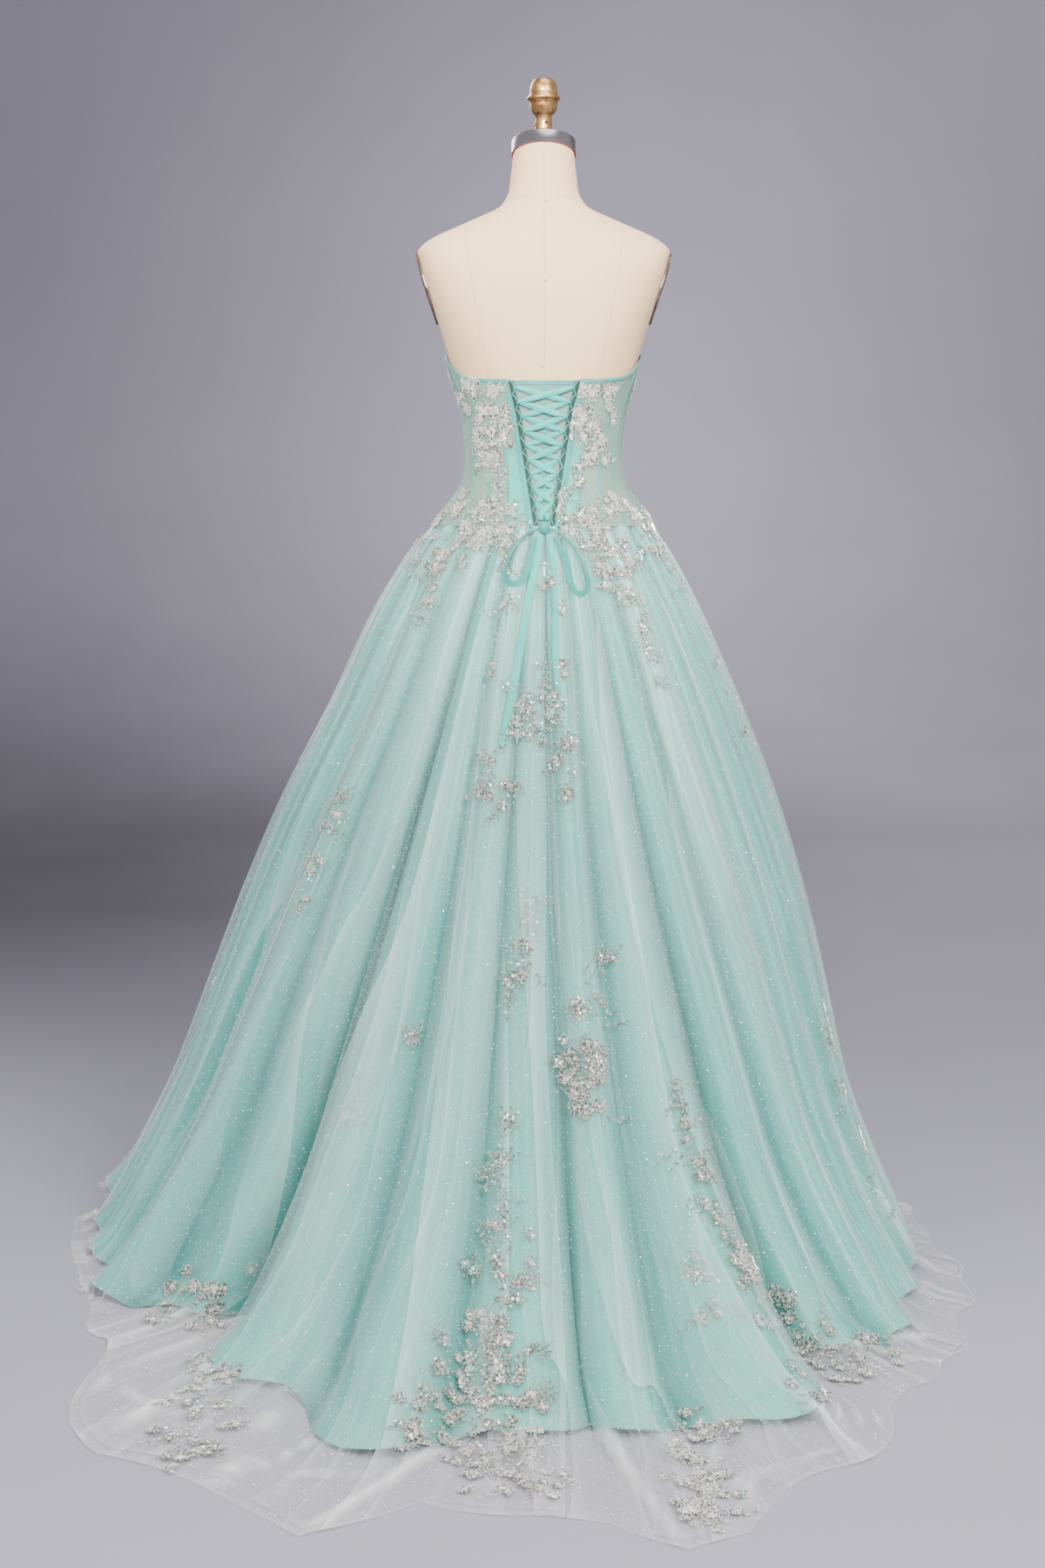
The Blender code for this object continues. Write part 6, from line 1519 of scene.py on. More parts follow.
def glitter_tree(material):
    """Flakes scattered over the net, each turned and sized by chance."""
    tree, given = node_tree("glitter_nodes", Density="Float", Size="Float", Seed="Int")
    spread = {"Mesh": given["Geometry"], "Density": given["Density"], "Seed": given["Seed"]}
    points = add_node(tree, "GeometryNodeDistributePointsOnFaces", spread)
    sizes = {"Size X": given["Size"], "Size Y": given["Size"], "Vertices X": 2, "Vertices Y": 2}
    flake = add_node(tree, "GeometryNodeMeshGrid", sizes)
    range_of_turns = {"Min": (-0.6, -0.6, -3.1), "Max": (0.6, 0.6, 3.1), "Seed": given["Seed"]}
    chance = add_node(tree, "FunctionNodeRandomValue", range_of_turns, data_type="FLOAT_VECTOR")
    spin = add_node(tree, "FunctionNodeEulerToRotation", {0: chance[0]})
    turns = {"Rotation": points["Rotation"], "Rotate By": spin[0]}
    turn = add_node(tree, "FunctionNodeRotateRotation", turns, rotation_space="LOCAL")
    scale = add_node(tree, "FunctionNodeRandomValue", {2: 0.45, 3: 1.25}, data_type="FLOAT")
    return scatter_shapes(
        tree, material, Points=points["Points"], Instance=flake["Mesh"], Rotation=turn["Rotation"], Scale=scale[1]
    )


def stitch_tree(material):
    """A stitch at each even step along a line, lying on the cloth."""
    tree, given = node_tree("stitch_nodes", Pitch="Float", Thread="Float")
    curve = add_node(tree, "GeometryNodeMeshToCurve", {"Mesh": given["Geometry"]})
    pitch = {"Curve": curve["Curve"], "Length": given["Pitch"]}
    steps = add_node(tree, "GeometryNodeResampleCurve", pitch, mode="LENGTH")
    tangent = add_node(tree, "GeometryNodeInputTangent", {})
    turn = add_node(tree, "FunctionNodeAlignRotationToVector", {"Vector": tangent[0]}, axis="Z")
    sizes = {"Vertices": 3, "Depth": times(tree, given["Pitch"], STITCH_SHARE), "Radius": given["Thread"]}
    shape = add_node(tree, "GeometryNodeMeshCylinder", sizes)
    return scatter_shapes(tree, material, Points=steps["Curve"], Instance=shape["Mesh"], Rotation=turn["Rotation"])


def stitch_lines(name, lines, context):
    """Rows of stitches along lines of points, as one piece."""
    verts, edges = [], []
    for line in lines:
        start = len(verts)
        verts.extend(tuple(p) for p in line)
        edges.extend((start + k, start + k + 1) for k in range(len(line) - 1))
    mesh = bpy.data.meshes.new(f"{name}_lines")
    mesh.from_pydata(verts, edges, [])
    path = bpy.data.objects.new(f"{name}_lines", mesh)
    context.scene.collection.objects.link(path)
    material = finish("stitching")
    values = {"Pitch": context.scene.dress_looks.stitch, "Thread": THREAD_RADIUS}
    made = run_tree(path, stitch_tree(material), values, name)
    bpy.data.objects.remove(path)
    return settle(made)


# ---------------------------------------------------------------- lace


def petal_half(width, t):
    return width / 2 * max(0.14, math.sin(math.pi * t**1.2) ** 0.7)


def turned(x, y, turn):
    return x * math.cos(turn) - y * math.sin(turn), x * math.sin(turn) + y * math.cos(turn)


class LaceBook:
    """Gathers the threads, beads and sequins of the lace. A spot is the cloth's tree, a point, its normal and up."""

    def __init__(self, seed, part):
        self.random = np.random.default_rng(seed)
        self.fullness = LACE_FULLNESS[part]
        self.verts, self.faces, self.rims = [], [], []
        self.beads = []
        self.sequins = {"sequin_clear": [], "sequin_rose": [], "sequin_aqua": []}

    def lay(self, spot, points):
        """Flat points (across, up, lift) laid on the cloth round a spot's centre."""
        tree, centre, normal, up = spot
        normal = normal.normalized()
        side = up.cross(normal).normalized()
        rise = normal.cross(side).normalized()
        laid = []
        for a, b, lift in points:
            at = centre + side * a + rise * b
            hit, face, _, _ = tree.ray_cast(at + normal * 0.03, -normal, 0.06)
            if hit is None:
                hit, face, _, _ = tree.find_nearest(at)
            if face.dot(normal) < 0:
                face = -face
            laid.append((hit + face * lift, face))
        return laid

    def beside(self, spot, a, b):
        ((at, face),) = self.lay(spot, [(a, b, 0.0)])
        return spot[0], at, face, spot[3]

    def patch(self, laid, rims):
        start = len(self.verts)
        self.verts.extend(tuple(p) for p, _ in laid)
        self.rims.extend(rims)
        self.faces.extend(tuple(f) for f in grid_faces(len(laid) // 3, 3, start).tolist())

    def petal(self, spot, turn, start, length, width, aqua):
        """One petal or leaf: a domed patch of thread with beads on its edge and its vein."""
        shape, rims = [], []
        rise = self.random.uniform(0.0004, 0.0022)
        for r in range(PETAL_ROWS):
            t = r / (PETAL_ROWS - 1)
            for k in (-1, 0, 1):
                x = k * petal_half(width, t)
                y = start + length * t
                shape.append((*turned(x, y, turn), 0.0005 + rise * t + 0.0006 * abs(k)))
                # rim mark: 1 on the edge for the painted highlight, low in the middle for the painted shade
                rims.append(1.0 if k or r == PETAL_ROWS - 1 else 0.1)
        self.patch(self.lay(spot, shape), rims)
        count = max(2, round(length / BEAD_STEP))
        spots = []
        for k in range(count):
            t = (k + 0.5) / count
            half = petal_half(width, t)
            for x in (-half, half):
                wobble = self.random.uniform(-0.0004, 0.0004, 2)
                spots.append((x + wobble[0], start + length * t + wobble[1]))
        spots.append((0.0, start + length))
        flat = [(*turned(x, y, turn), 0.0014 + rise * (y - start) / length) for x, y in spots]
        for point, face in self.lay(spot, flat):
            self.beads.append((point, face, self.random.uniform(0.6, 1.15)))
        if self.random.random() < 0.16 + aqua * 0.5:
            y = start + length * self.random.uniform(0.3, 0.9)
            self.sequin(spot, *turned(0.0, y, turn), aqua)

    def sequin(self, spot, a, b, aqua):
        ((point, face),) = self.lay(spot, [(a, b, 0.0022)])
        tilt = Vector(self.random.uniform(-0.35, 0.35, 3))
        kind = "sequin_clear"
        chance = self.random.random()
        if chance < aqua:
            kind = "sequin_aqua"
        elif chance < aqua + 0.22:
            kind = "sequin_rose"
        self.sequins[kind].append((point, (face + tilt).normalized(), self.random.uniform(0.55, 1.1)))

    def flower(self, spot, size, aqua):
        petals = int(self.random.integers(5, 8))
        turn = self.random.uniform(0, math.tau)
        for k in range(petals):
            at = turn + math.tau * k / petals
            length = size * self.random.uniform(0.62, 0.85)
            width = size * math.tau / petals * self.random.uniform(0.48, 0.66)
            self.petal(spot, at, size * 0.08, length, width, aqua)
        ring = [(*turned(0.0017, 0.0, math.tau * k / 5), 0.0020) for k in range(5)]
        self.beads.extend((point, face, 1.2) for point, face in self.lay(spot, ring))
        self.sequin(spot, 0.0, 0.0, aqua)

    def leaf(self, spot, size, aqua):
        turn = self.random.uniform(0, math.tau)
        length = size * self.random.uniform(0.9, 1.5)
        self.petal(spot, turn, -length / 2, length, size * self.random.uniform(0.26, 0.42), aqua)
        bend = self.random.uniform(-0.6, 0.6)
        stem = [(*turned(bend * 0.0008 * k * k, -length / 2 - 0.0026 * k, turn), 0.0012) for k in range(1, 6)]
        self.beads.extend((point, face, 0.7) for point, face in self.lay(spot, stem))

    def fan(self, spot, size, aqua):
        """Narrow leaves that spread from one point."""
        leaves = int(self.random.integers(5, 8))
        turn = self.random.uniform(0, math.tau)
        for k in range(leaves):
            at = turn + math.radians(200) * (k / (leaves - 1) - 0.5)
            length = size * (1.35 - 0.5 * abs(k / (leaves - 1) - 0.5) * 2)
            self.petal(spot, at, size * 0.12, length, size * 0.22, aqua)

    def spray(self, spot, size, aqua):
        """A bent stem of beads with small leaves on both sides."""
        turn = self.random.uniform(0, math.tau)
        bend = self.random.uniform(-0.8, 0.8)
        x = y = 0.0
        stem = []
        for k in range(9):
            heading = turn + bend * k / 8
            x -= size * 0.30 * math.sin(heading)
            y += size * 0.30 * math.cos(heading)
            stem.append((x, y, 0.0012))
            if k % 2 == 0:
                side = 1 if k % 4 == 0 else -1
                length = size * (0.85 - 0.06 * k)
                self.petal(self.beside(spot, x, y), heading + side * 0.8, 0.0008, length, size * 0.26, aqua)
        self.beads.extend((point, face, 0.8) for point, face in self.lay(spot, stem))

    def scatter(self, spot, half, flowers, leaves, aqua, size):
        flowers, leaves = round(flowers * self.fullness), round(leaves * self.fullness)
        for k in range(flowers + leaves):
            spread = self.random.uniform(-1, 1, 2)
            here = self.beside(spot, spread[0] * half[0], spread[1] * half[1])
            if k < flowers:
                self.flower(here, size * self.random.uniform(0.6, 1.0), aqua)
            else:
                kind = (self.leaf, self.leaf, self.fan, self.spray)[int(self.random.integers(0, 4))]
                kind(here, size * self.random.uniform(0.7, 1.1), aqua)

    def make(self, name, looks):
        marks = {"rim": self.rims}
        threads = new_piece(f"{name}_threads", self.verts, self.faces, finish("thread"), marks=marks, sharp=None)
        settle(threads)
        points, faces, sizes = zip(*self.beads)
        sprinkle(f"{name}_beads", "bead", "bead", looks.bead, points, faces, sizes)
        for kind, found in self.sequins.items():
            if found:
                points, faces, sizes = zip(*found)
                sprinkle(f"{name}_{kind}s", "sequin", kind, looks.sequin, points, faces, sizes)


def image_ray(px, py):
    """Direction from the camera through a point of the image."""
    focal = CAMERA_LENS / CAMERA_SENSOR * IMAGE_SIZE[1]
    x = (px - IMAGE_SIZE[0] / 2) / focal
    y = (IMAGE_SIZE[1] / 2 - py) / focal
    turn = Matrix.Rotation(math.pi, 3, "Z") @ Matrix.Rotation(math.pi / 2 - CAMERA_DOWN, 3, "X")
    return (turn @ Vector((x, y, -1))).normalized()


def point_size(place):
    """Size of one image point at a place, in metres."""
    focal = CAMERA_LENS / CAMERA_SENSOR * IMAGE_SIZE[1]
    return (place - CAMERA_PLACE).length / focal


def on_cloth_from_image(tree, px, py):
    hit, normal, _, _ = tree.ray_cast(CAMERA_PLACE, image_ray(px, py))
    if hit is None:
        return None, None
    if normal.dot(CAMERA_PLACE - hit) < 0:
        normal = -normal
    return hit, normal


def on_cloth_from_side(tree, angle, z):
    turn = math.radians(angle)
    out = Vector((math.sin(turn), math.cos(turn), 0))
    hit, normal, _, _ = tree.ray_cast(out * 2.0 + Vector((0, 0, z)), -out)
    if normal is not None and normal.dot(out) < 0:
        normal = -normal
    return hit, normal


# ---------------------------------------------------------------- operators


class DRESS_OT_stage(bpy.types.Operator):
    """Camera, pale floor with a soft backdrop, and studio lights"""

    bl_idname = "dress.stage"
    bl_label = "Stage"

    def execute(self, context):
        scene = context.scene
        data = bpy.data.cameras.new("camera")
        data.sensor_fit = "VERTICAL"
        data.sensor_height = CAMERA_SENSOR
        data.lens = CAMERA_LENS
        camera = bpy.data.objects.new("camera", data)
        camera.location = CAMERA_PLACE
        camera.rotation_euler = (math.pi / 2 - CAMERA_DOWN, 0, math.pi)
        scene.collection.objects.link(camera)
        scene.camera = camera

        sides = np.linspace(-PAPER_HALF, PAPER_HALF, 61)
        verts, painted_tones = [], []
        # each vertex's tone is painted light and shade: left and right tones from the rows, plus the painted pool of
        # light on the wall
        for y, z, left, right in PAPER_ROWS:
            for x in sides:
                verts.append((x, y, z))
                pool = POOL[0] * math.exp(-(((x - POOL[1]) / POOL[2]) ** 2) - ((z - POOL[3]) / POOL[4]) ** 2)
                half = PAPER_FADE[y < PAPER_BEND]
                painted_tones.append(left + (right - left) * float(soft_step(half, -half, x)) + pool * (y < PAPER_BEND))
        faces = grid_faces(len(PAPER_ROWS), len(sides))
        sweep = new_piece("studio_sweep", verts, faces, finish("sweep"), marks={"tone": painted_tones}, sharp=None)
        paper = bpy.data.collections.new("paper")
        paper.objects.link(sweep)

        for name, place, aim, size, power, spread in LIGHTS:
            lamp = bpy.data.lights.new(name, "AREA")
            lamp.shape = "DISK"
            lamp.size = size
            lamp.energy = power
            lamp.spread = math.radians(spread)
            lamp.color = LIGHT_COLOUR
            light = bpy.data.objects.new(name, lamp)
            light.location = place
            light.rotation_euler = (Vector(aim) - Vector(place)).to_track_quat("-Z", "Y").to_euler()
            light.visible_camera = False
            scene.collection.objects.link(light)
            if name == "light_front":
                light.light_linking.receiver_collection = paper
                paper.collection_objects[0].light_linking.link_state = "EXCLUDE"
        world = bpy.data.worlds.new("studio")
        world.use_nodes = True
        sky = world.node_tree.nodes["Background"]
        sky.inputs["Color"].default_value = SKY_COLOUR
        sky.inputs["Strength"].default_value = SKY_POWER
        scene.world = world
        return {"FINISHED"}


def ribbon_frames(points, lean, twist=0.0):
    points = [Vector(p) for p in points]
    count = len(points)
    across, out = [], []
    for k in range(count):
        run = (points[min(k + 1, count - 1)] - points[max(k - 1, 0)]).normalized()
        side = run.cross(RIBBON_FACES).normalized()
        side.rotate(Matrix.Rotation(lean + twist * math.sin(math.tau * k / (count - 1)), 3, run))
        across.append(side)
        out.append(side.cross(run).normalized())
    return np.array(points), np.array(across), np.array(out)


class DRESS_OT_ribbon_ends(bpy.types.Operator):
    """The two hanging ends of the lacing ribbon"""

    bl_idname = "dress.ribbon_ends"
    bl_label = "Ribbon ends"

    def execute(self, context):
        for name, route, curl in (("bow_tail_long", TAIL_LONG, 0.05), ("bow_tail_short", TAIL_SHORT, 0.22)):
            points, across, out = ribbon_frames(finer(route, 3), 0.0)
            t = np.linspace(0, 1, len(points))
            width = RIBBON_WIDTH * np.clip(0.62 + 6 * t, 0, 1.0)
            cup = curl * (0.5 + 0.5 * np.cos(t * 9))
            if name == "bow_tail_short":
                width = width * (0.74 + 0.10 * np.sin(t * 11))
            end = ribbon(name, points, across, out, width, RIBBON_WALL * 0.7, cup * 0.4, finish("lacing"))
            settle(end, name)
        return {"FINISHED"}


class DRESS_OT_lining(bpy.types.Operator):
    """The satin skirt lining with its train, in three panels"""

    bl_idname = "dress.lining"
    bl_label = "Satin lining"

    def execute(self, context):
        satin = skirt_cloth()["satin"]
        normals = grid_normals(satin, True)
        for name, first, last in SKIRT_PANELS:
            picked = panel_columns(first, last)
            outer = parted(satin[:, picked], SEAM_GAP) + normals[:, picked] * 0.0009
            outer[..., 2] = np.maximum(outer[..., 2], 0.0012)
            node = f"lining_{name}"
            # the crest mark sets the satin's painted fold shade
            crest = np.broadcast_to(skirt_cloth()["crest"][:, picked], outer.shape[:2])
            panel = sheet_piece(node, outer, finish("satin"), {"crest": crest})
            settle(panel, node)
        return {"FINISHED"}


class DRESS_OT_tulle(bpy.types.Operator):
    """The two sheer nets of the overskirt, each in three panels"""

    bl_idname = "dress.tulle"
    bl_label = "Tulle overskirt"

    def execute(self, context):
        cloth = skirt_cloth()
        for net in ("under", "over"):
            grid, veil = cloth[net], cloth[f"veil_{net}"]
            rows, cols = veil.shape
            across = np.broadcast_to(np.arange(cols) / FINE_COLUMNS, (rows, cols))
            down = np.broadcast_to(np.linspace(0, 1, rows)[:, None], (rows, cols))
            gather = np.stack([across, down, np.broadcast_to(cloth["crest"], (rows, cols))], axis=-1)
            for name, first, last in SKIRT_PANELS:
                picked = panel_columns(first, last)
                points = parted(grid[:, picked], SEAM_GAP)
                node = f"tulle_{name}"
                marks = {"veil": veil[:, picked], "gather": gather[:, picked]}
                panel = sheet_piece(f"{node}_{net}", points, finish(f"tulle_{net}"), marks)
                settle(panel, node)
        return {"FINISHED"}


class DRESS_OT_glitter(bpy.types.Operator):
    """Fine glitter over the upper net"""

    bl_idname = "dress.glitter"
    bl_label = "Glitter"

    def execute(self, context):
        looks = context.scene.dress_looks
        tree = glitter_tree(finish("glitter"))
        for seed, (name, _, _) in enumerate(SKIRT_PANELS):
            net = bpy.data.objects[f"tulle_{name}_over"]
            values = {"Density": looks.glitter, "Size": looks.flake, "Seed": seed + 3}
            settle(run_tree(net, tree, values, f"glitter_{name}"))
        return {"FINISHED"}


class DRESS_OT_form(bpy.types.Operator):
    """The padded form with its canvas cover, seams and pins"""

    bl_idname = "dress.form"
    bl_label = "Canvas form"

    def execute(self, context):
        sides, rows = 96, 130
        angles = np.arange(sides) * math.tau / sides
        heights = np.linspace(TORSO_ROWS[0][0], TORSO_ROWS[-1][0], rows)
        grid = np.stack([torso_point(angles, np.full(sides, z)) for z in heights[::-1]])
        tilt = soft_step(1.575, 1.607, heights[::-1])[:, None]
        grid[..., 2] += (grid[..., 1] - NECK_CENTRE.y) * math.tan(NECK_TILT) * tilt
        z = grid[..., 2]
        uvs = np.stack([angles[None] * 0.12 + 0 * z, z], axis=-1).reshape(-1, 2)
        torso = new_piece("form_body", grid.reshape(-1, 3), ring_faces(rows, sides), finish("canvas"), uvs)
        settle(torso, "form_torso")

        tree = ring_tree(grid)
        for k, (px, py) in enumerate(PINS):
            hit, normal = on_cloth_from_image(tree, px, py)
            place = facing(hit - normal * 0.0006, normal)
            head = [(0.0, 0.0012), (0.0008, 0.0012), (0.0014, 0.0009), (0.0017, 0.0004)]
            settle(lathe(f"form_pin_{k + 1}", head, 16, finish("pin"), place))
        return {"FINISHED"}


class DRESS_OT_fittings(bpy.types.Operator):
    """Neck ring, finial, arm plates, pole and base"""

    bl_idname = "dress.fittings"
    bl_label = "Form fittings"

    def execute(self, context):
        seat = Matrix.Translation(NECK_CENTRE) @ Matrix.Rotation(NECK_TILT, 4, "X")
        ring_seat = seat @ Matrix.Translation((0, 0, SEAM_GAP))
        r, h = RING_RADIUS, RING_HEIGHT
        rows = [(0.0, r - 0.0006), (0.0005, r), (h - 0.0012, r), (h - 0.0004, r - 0.0004), (h, r - 0.0012), (h, 0.012)]
        settle(lathe("neck_band", rows, 96, finish("steel"), ring_seat), "neck_ring")
        turn = math.radians(-14)
        low, high = 0.0012, h - 0.0016
        verts = []
        for a in (-0.0012, 0.0012):
            for out in (0.0, 0.0007):
                for up in (low, high):
                    at = turn + a / r
                    verts.append(ring_seat @ Vector(((r + out) * math.cos(at), (r + out) * math.sin(at), up)))
        settle(new_piece("neck_band_seam", verts, BOX_FACES, finish("steel"), smooth=False))
        felt = ((-0.0004, -0.0030), (-0.0004, -0.0001), (0.0004, 0.0003), (0.0012, 0.0003), (0.0012, -0.0030))
        felt = [(up, r + out) for up, out in felt]
        settle(lathe("neck_felt", felt, 96, finish("felt"), ring_seat))

        foot = ring_seat @ Vector((0, 0, h + SEAM_GAP))
        finial = lathe("finial_turned", FINIAL_PROFILE, 64, finish("brass"), Matrix.Translation(foot))
        for k in range(64):
            vert = finial.data.vertices[k]
            vert.co.z += (vert.co.y - foot.y) * math.tan(NECK_TILT)
        settle(finial, "finial")
        # the hole is a thin disc of painted shade on the finial, not cut in
        for name, degrees, up, size, mat in (
            ("finial_hole", 108.0, 0.0262, 0.0022, "hole_shade"),
            ("finial_screw", 8.0, 0.0236, 0.0018, "brass"),
        ):
            at = math.radians(degrees)
            out = Vector((math.cos(at), math.sin(at), 0))
            place = facing(foot + out * 0.0118 + UP * up, out)
            tall = 0.0005 if name == "finial_hole" else 0.0030
            head = [(0.0, size), (tall, size), (tall + 0.0002, size * 0.7)]
            settle(lathe(name, head, 20, finish(mat), place))
        paint_slots("bronze", "arm_plate_left", "arm_plate_right")
        paint_slots("paint", "stand_pole", "stand_base")
        return {"FINISHED"}


class DRESS_OT_bodice(bpy.types.Operator):
    """The bodice's sheer panels and the modesty panel behind the lacing"""

    bl_idname = "dress.bodice"
    bl_label = "Bodice panels"

    def execute(self, context):
        for piece, grid in panel_grids().items():
            sides = (("", grid),) if piece == "front" else (("_left", grid), ("_right", mirrored(grid)))
            for label, points in sides:
                inner, outer = raised(points, MESH_LIFT, BODICE_WALL - MESH_LIFT)
                rows, cols = points.shape[:2]
                backed = np.zeros((rows, cols))
                if piece == "centre_back":
                    down = np.linspace(0, 1, rows)[:, None]
                    backed = 0.8 * soft_step(0.34, 0.56, down) * (1 - soft_step(0.88, 1.02, down)) + 0 * backed
                node = f"bodice_{piece}{label}"
                panel = wall_piece(node, inner, outer, finish("mesh"), {"backed": backed})
                settle(panel, node)
        shares = np.linspace(MODESTY_TOP, MODESTY_FOOT, 41)
        rows, gap = [], []
        for share in shares:
            reach = opening_half(share) + MODESTY_PAST
            across = np.linspace(-reach, reach, 73)
            rows.append([back_point(float(x), back_height(share), 0.0)[0] for x in across])
            # the gap mark paints shade on the panel's sides, where the gaps inside the loops fall into shadow
            gap.append(soft_step(opening_half(share) - 0.0085, opening_half(share) - 0.0060, np.abs(across)))
        grid = np.array(rows)
        inner, outer = raised(grid, MODESTY_LIFT, MODESTY_WALL)
        panel = wall_piece("modesty_panel", inner, outer, finish("mesh"), {"gap": np.array(gap)})
        settle(panel, "modesty_panel")
        lift = MODESTY_LIFT + MODESTY_WALL + SEAM_GAP
        down = unit(grid[1] - grid[0])
        strip = np.stack([grid[0] + down * MODESTY_BAND * t for t in np.linspace(0, 1, 5)])[:, 12:61]
        inner, outer = raised(strip, lift, TRIM_WALL)
        settle(wall_piece("modesty_band", inner, outer, finish("trim")), "modesty_band")
        middle = grid[:, 36]
        half = unit(grid[:, 37] - grid[:, 35]) * BONE_WIDTH / 2
        bone = np.stack([middle + half * t for t in np.linspace(-1, 1, 7)], axis=1)
        bone[0] += down[36] * (MODESTY_BAND + SEAM_GAP)
        inner, outer = raised(bone, lift, TRIM_WALL * 0.6, 0.0005)
        settle(wall_piece("modesty_bone", inner, outer, finish("trim")), "modesty_bone")
        return {"FINISHED"}


class DRESS_OT_trims(bpy.types.Operator):
    """Boning channels, top binding and plackets, with their stitches"""

    bl_idname = "dress.trims"
    bl_label = "Bodice trims"

    def execute(self, context):
        grids = panel_grids()
        half = CHANNEL_WIDTH / 2
        names = list(grids)
        lines = []
        for seam, before, after in zip(column(SEAM_ROWS, 0), names[:-1], names[1:]):
            rows = []
            for left, right in zip(grids[before], grids[after]):
                edge = (left[-1] + right[0]) / 2
                near = [along(left[::-1], half * t) for t in (1, 0.6, 0.25)]
                far = [along(right, half * t) for t in (0.25, 0.6, 1)]
                rows.append(near + [edge] + far)
            grid = np.array(rows)[1:]
            grid[0] = grid[1] + unit(grid[0] - grid[1]) * 0.0004
            for label, points in (("left", grid), ("right", mirrored(grid))):
                inner, outer = raised(points, TRIM_LIFT, TRIM_WALL * 0.5, 0.0007)
                node = f"channel_{seam}_{label}"
                settle(wall_piece(node, inner, outer, finish("trim")), node)
                lines.extend([outer[:, 1], outer[:, 5]])

        start = PLACKET_WIDTH + 2 * SEAM_GAP
        left = [np.array([along(row, start) for row in grids["centre_back"][:2]])]
        pieces = list(grids.values())
        for here, after in zip(pieces[:-1], pieces[1:]):
            inside = here[:2, 1:-1]
            clear = np.linalg.norm(inside[0] - here[0, 0], axis=1) > start
            left.extend(inside[:, k] for k in np.flatnonzero(clear))
            left.append((here[:2, -1] + after[:2, 0]) / 2)
        left = np.stack(left, axis=1)
        both = np.concatenate([left, grids["front"][:2, 1:-1], mirrored(left)], axis=1)
        step = unit(both[1] - both[0]) * BINDING_HEIGHT
        grid = np.stack([both[0] + step * t for t in np.linspace(0, 1, 6)])
        normals = grid_normals(grid)
        crown = (1 - np.linspace(-1, 1, 6) ** 2)[:, None, None]
        inner = grid + normals * BINDING_LIFT
        outer = inner + normals * (TRIM_WALL * 0.6 + 0.0006 * crown)
        settle(wall_piece("bodice_binding", inner, outer, finish("trim")), "bodice_binding")
        lines.append(outer[4])

        reach = np.linspace(SEAM_GAP / 2, PLACKET_WIDTH, 7)
        grid = np.array([[along(row, d) for d in reach] for row in grids["centre_back"]])
        for label, points in (("left", grid), ("right", mirrored(grid))):
            inner, outer = raised(points, TRIM_LIFT, TRIM_WALL * 0.7, 0.0003)
            settle(wall_piece(f"placket_{label}", inner, outer, finish("trim")), f"placket_{label}")
            lines.extend([outer[:, 1], outer[:, 5]])
        stitch_lines("trim_stitches", lines, context)
        return {"FINISHED"}


class DRESS_OT_lacing(bpy.types.Operator):
    """The cord loops and the two halves of the lacing ribbon"""

    bl_idname = "dress.lacing"
    bl_label = "Lacing"

    def execute(self, context):
        steps = 10
        for side, name in ((1, "loops_left"), (-1, "loops_right")):
            centres = []
            for k in range(LOOP_COUNT * steps + 1):
                share = LOOP_FIRST + (LOOP_LAST - LOOP_FIRST) * k / (LOOP_COUNT * steps)
                turn = (k % steps) / steps
                bulge = math.sin(math.pi * turn) ** 0.7 if turn else 0.0
                x = opening_half(share) - LOOP_CORD / 2 - LOOP_CLEAR - (LOOP_REACH - LOOP_CORD) * bulge
                centres.append(back_point(side * x, back_height(share), LOOP_LIFT + LOOP_CORD / 2)[0])
            settle(tube(name, finer(centres, 2), LOOP_CORD / 2, 8, finish("trim")), name)

        for half, (name, side) in enumerate((("lacing_under", 1), ("lacing_over", -1))):
            base = LACING_LIFT + half * LACING_APART
            centres, tall, widths = [], [], []

            def add(x, share, lift, width):
                point, normal = back_point(x, back_height(share), lift)
                centres.append(point)
                tall.append(unit(np.array([0, 0, 1]) - normal * normal[2]))
                widths.append(width)

            for index in range(LOOP_COUNT - 1):
                share, reach = loop_place(index)
                next_share, next_reach = loop_place(index + 1)
                last = index == LOOP_COUNT - 2
                for t in np.linspace(0, 1, 15):
                    x = side * (reach * (1 - t) - next_reach * t)
                    pinch = 0.34 + 0.44 * min(1.0, 3.4 * min(t, 1 - t)) ** 0.8
                    lift = base + LACING_LAYER * float(soft_step(0.35, 0.65, t)) * (not last)
                    lift += 0.0004 * math.sin(9 * t + index)
                    add(x, share * (1 - t) + next_share * t, lift, LACING_WIDTH * pinch)
                side = -side
                if last:
                    break
                for turn in (-0.5, 0.0, 0.5):
                    tip = side * (next_reach + LACING_LAYER / 2 * math.cos(turn * math.pi))
                    lift = base + LACING_LAYER / 2 * (1 - math.sin(turn * math.pi))
                    add(tip, next_share, lift, LACING_WIDTH * 0.40)
            for t in np.linspace(0.12, 1, 7):
                x = side * (next_reach * (1 - t) + 0.0008 * t)
                lift = base + LACING_LAYER * 0.5 + (0.0078 - base) * t
                add(x, next_share * (1 - 0.3 * t), lift, LACING_WIDTH * 0.62)
            laces(name, centres, tall, widths)
        return {"FINISHED"}


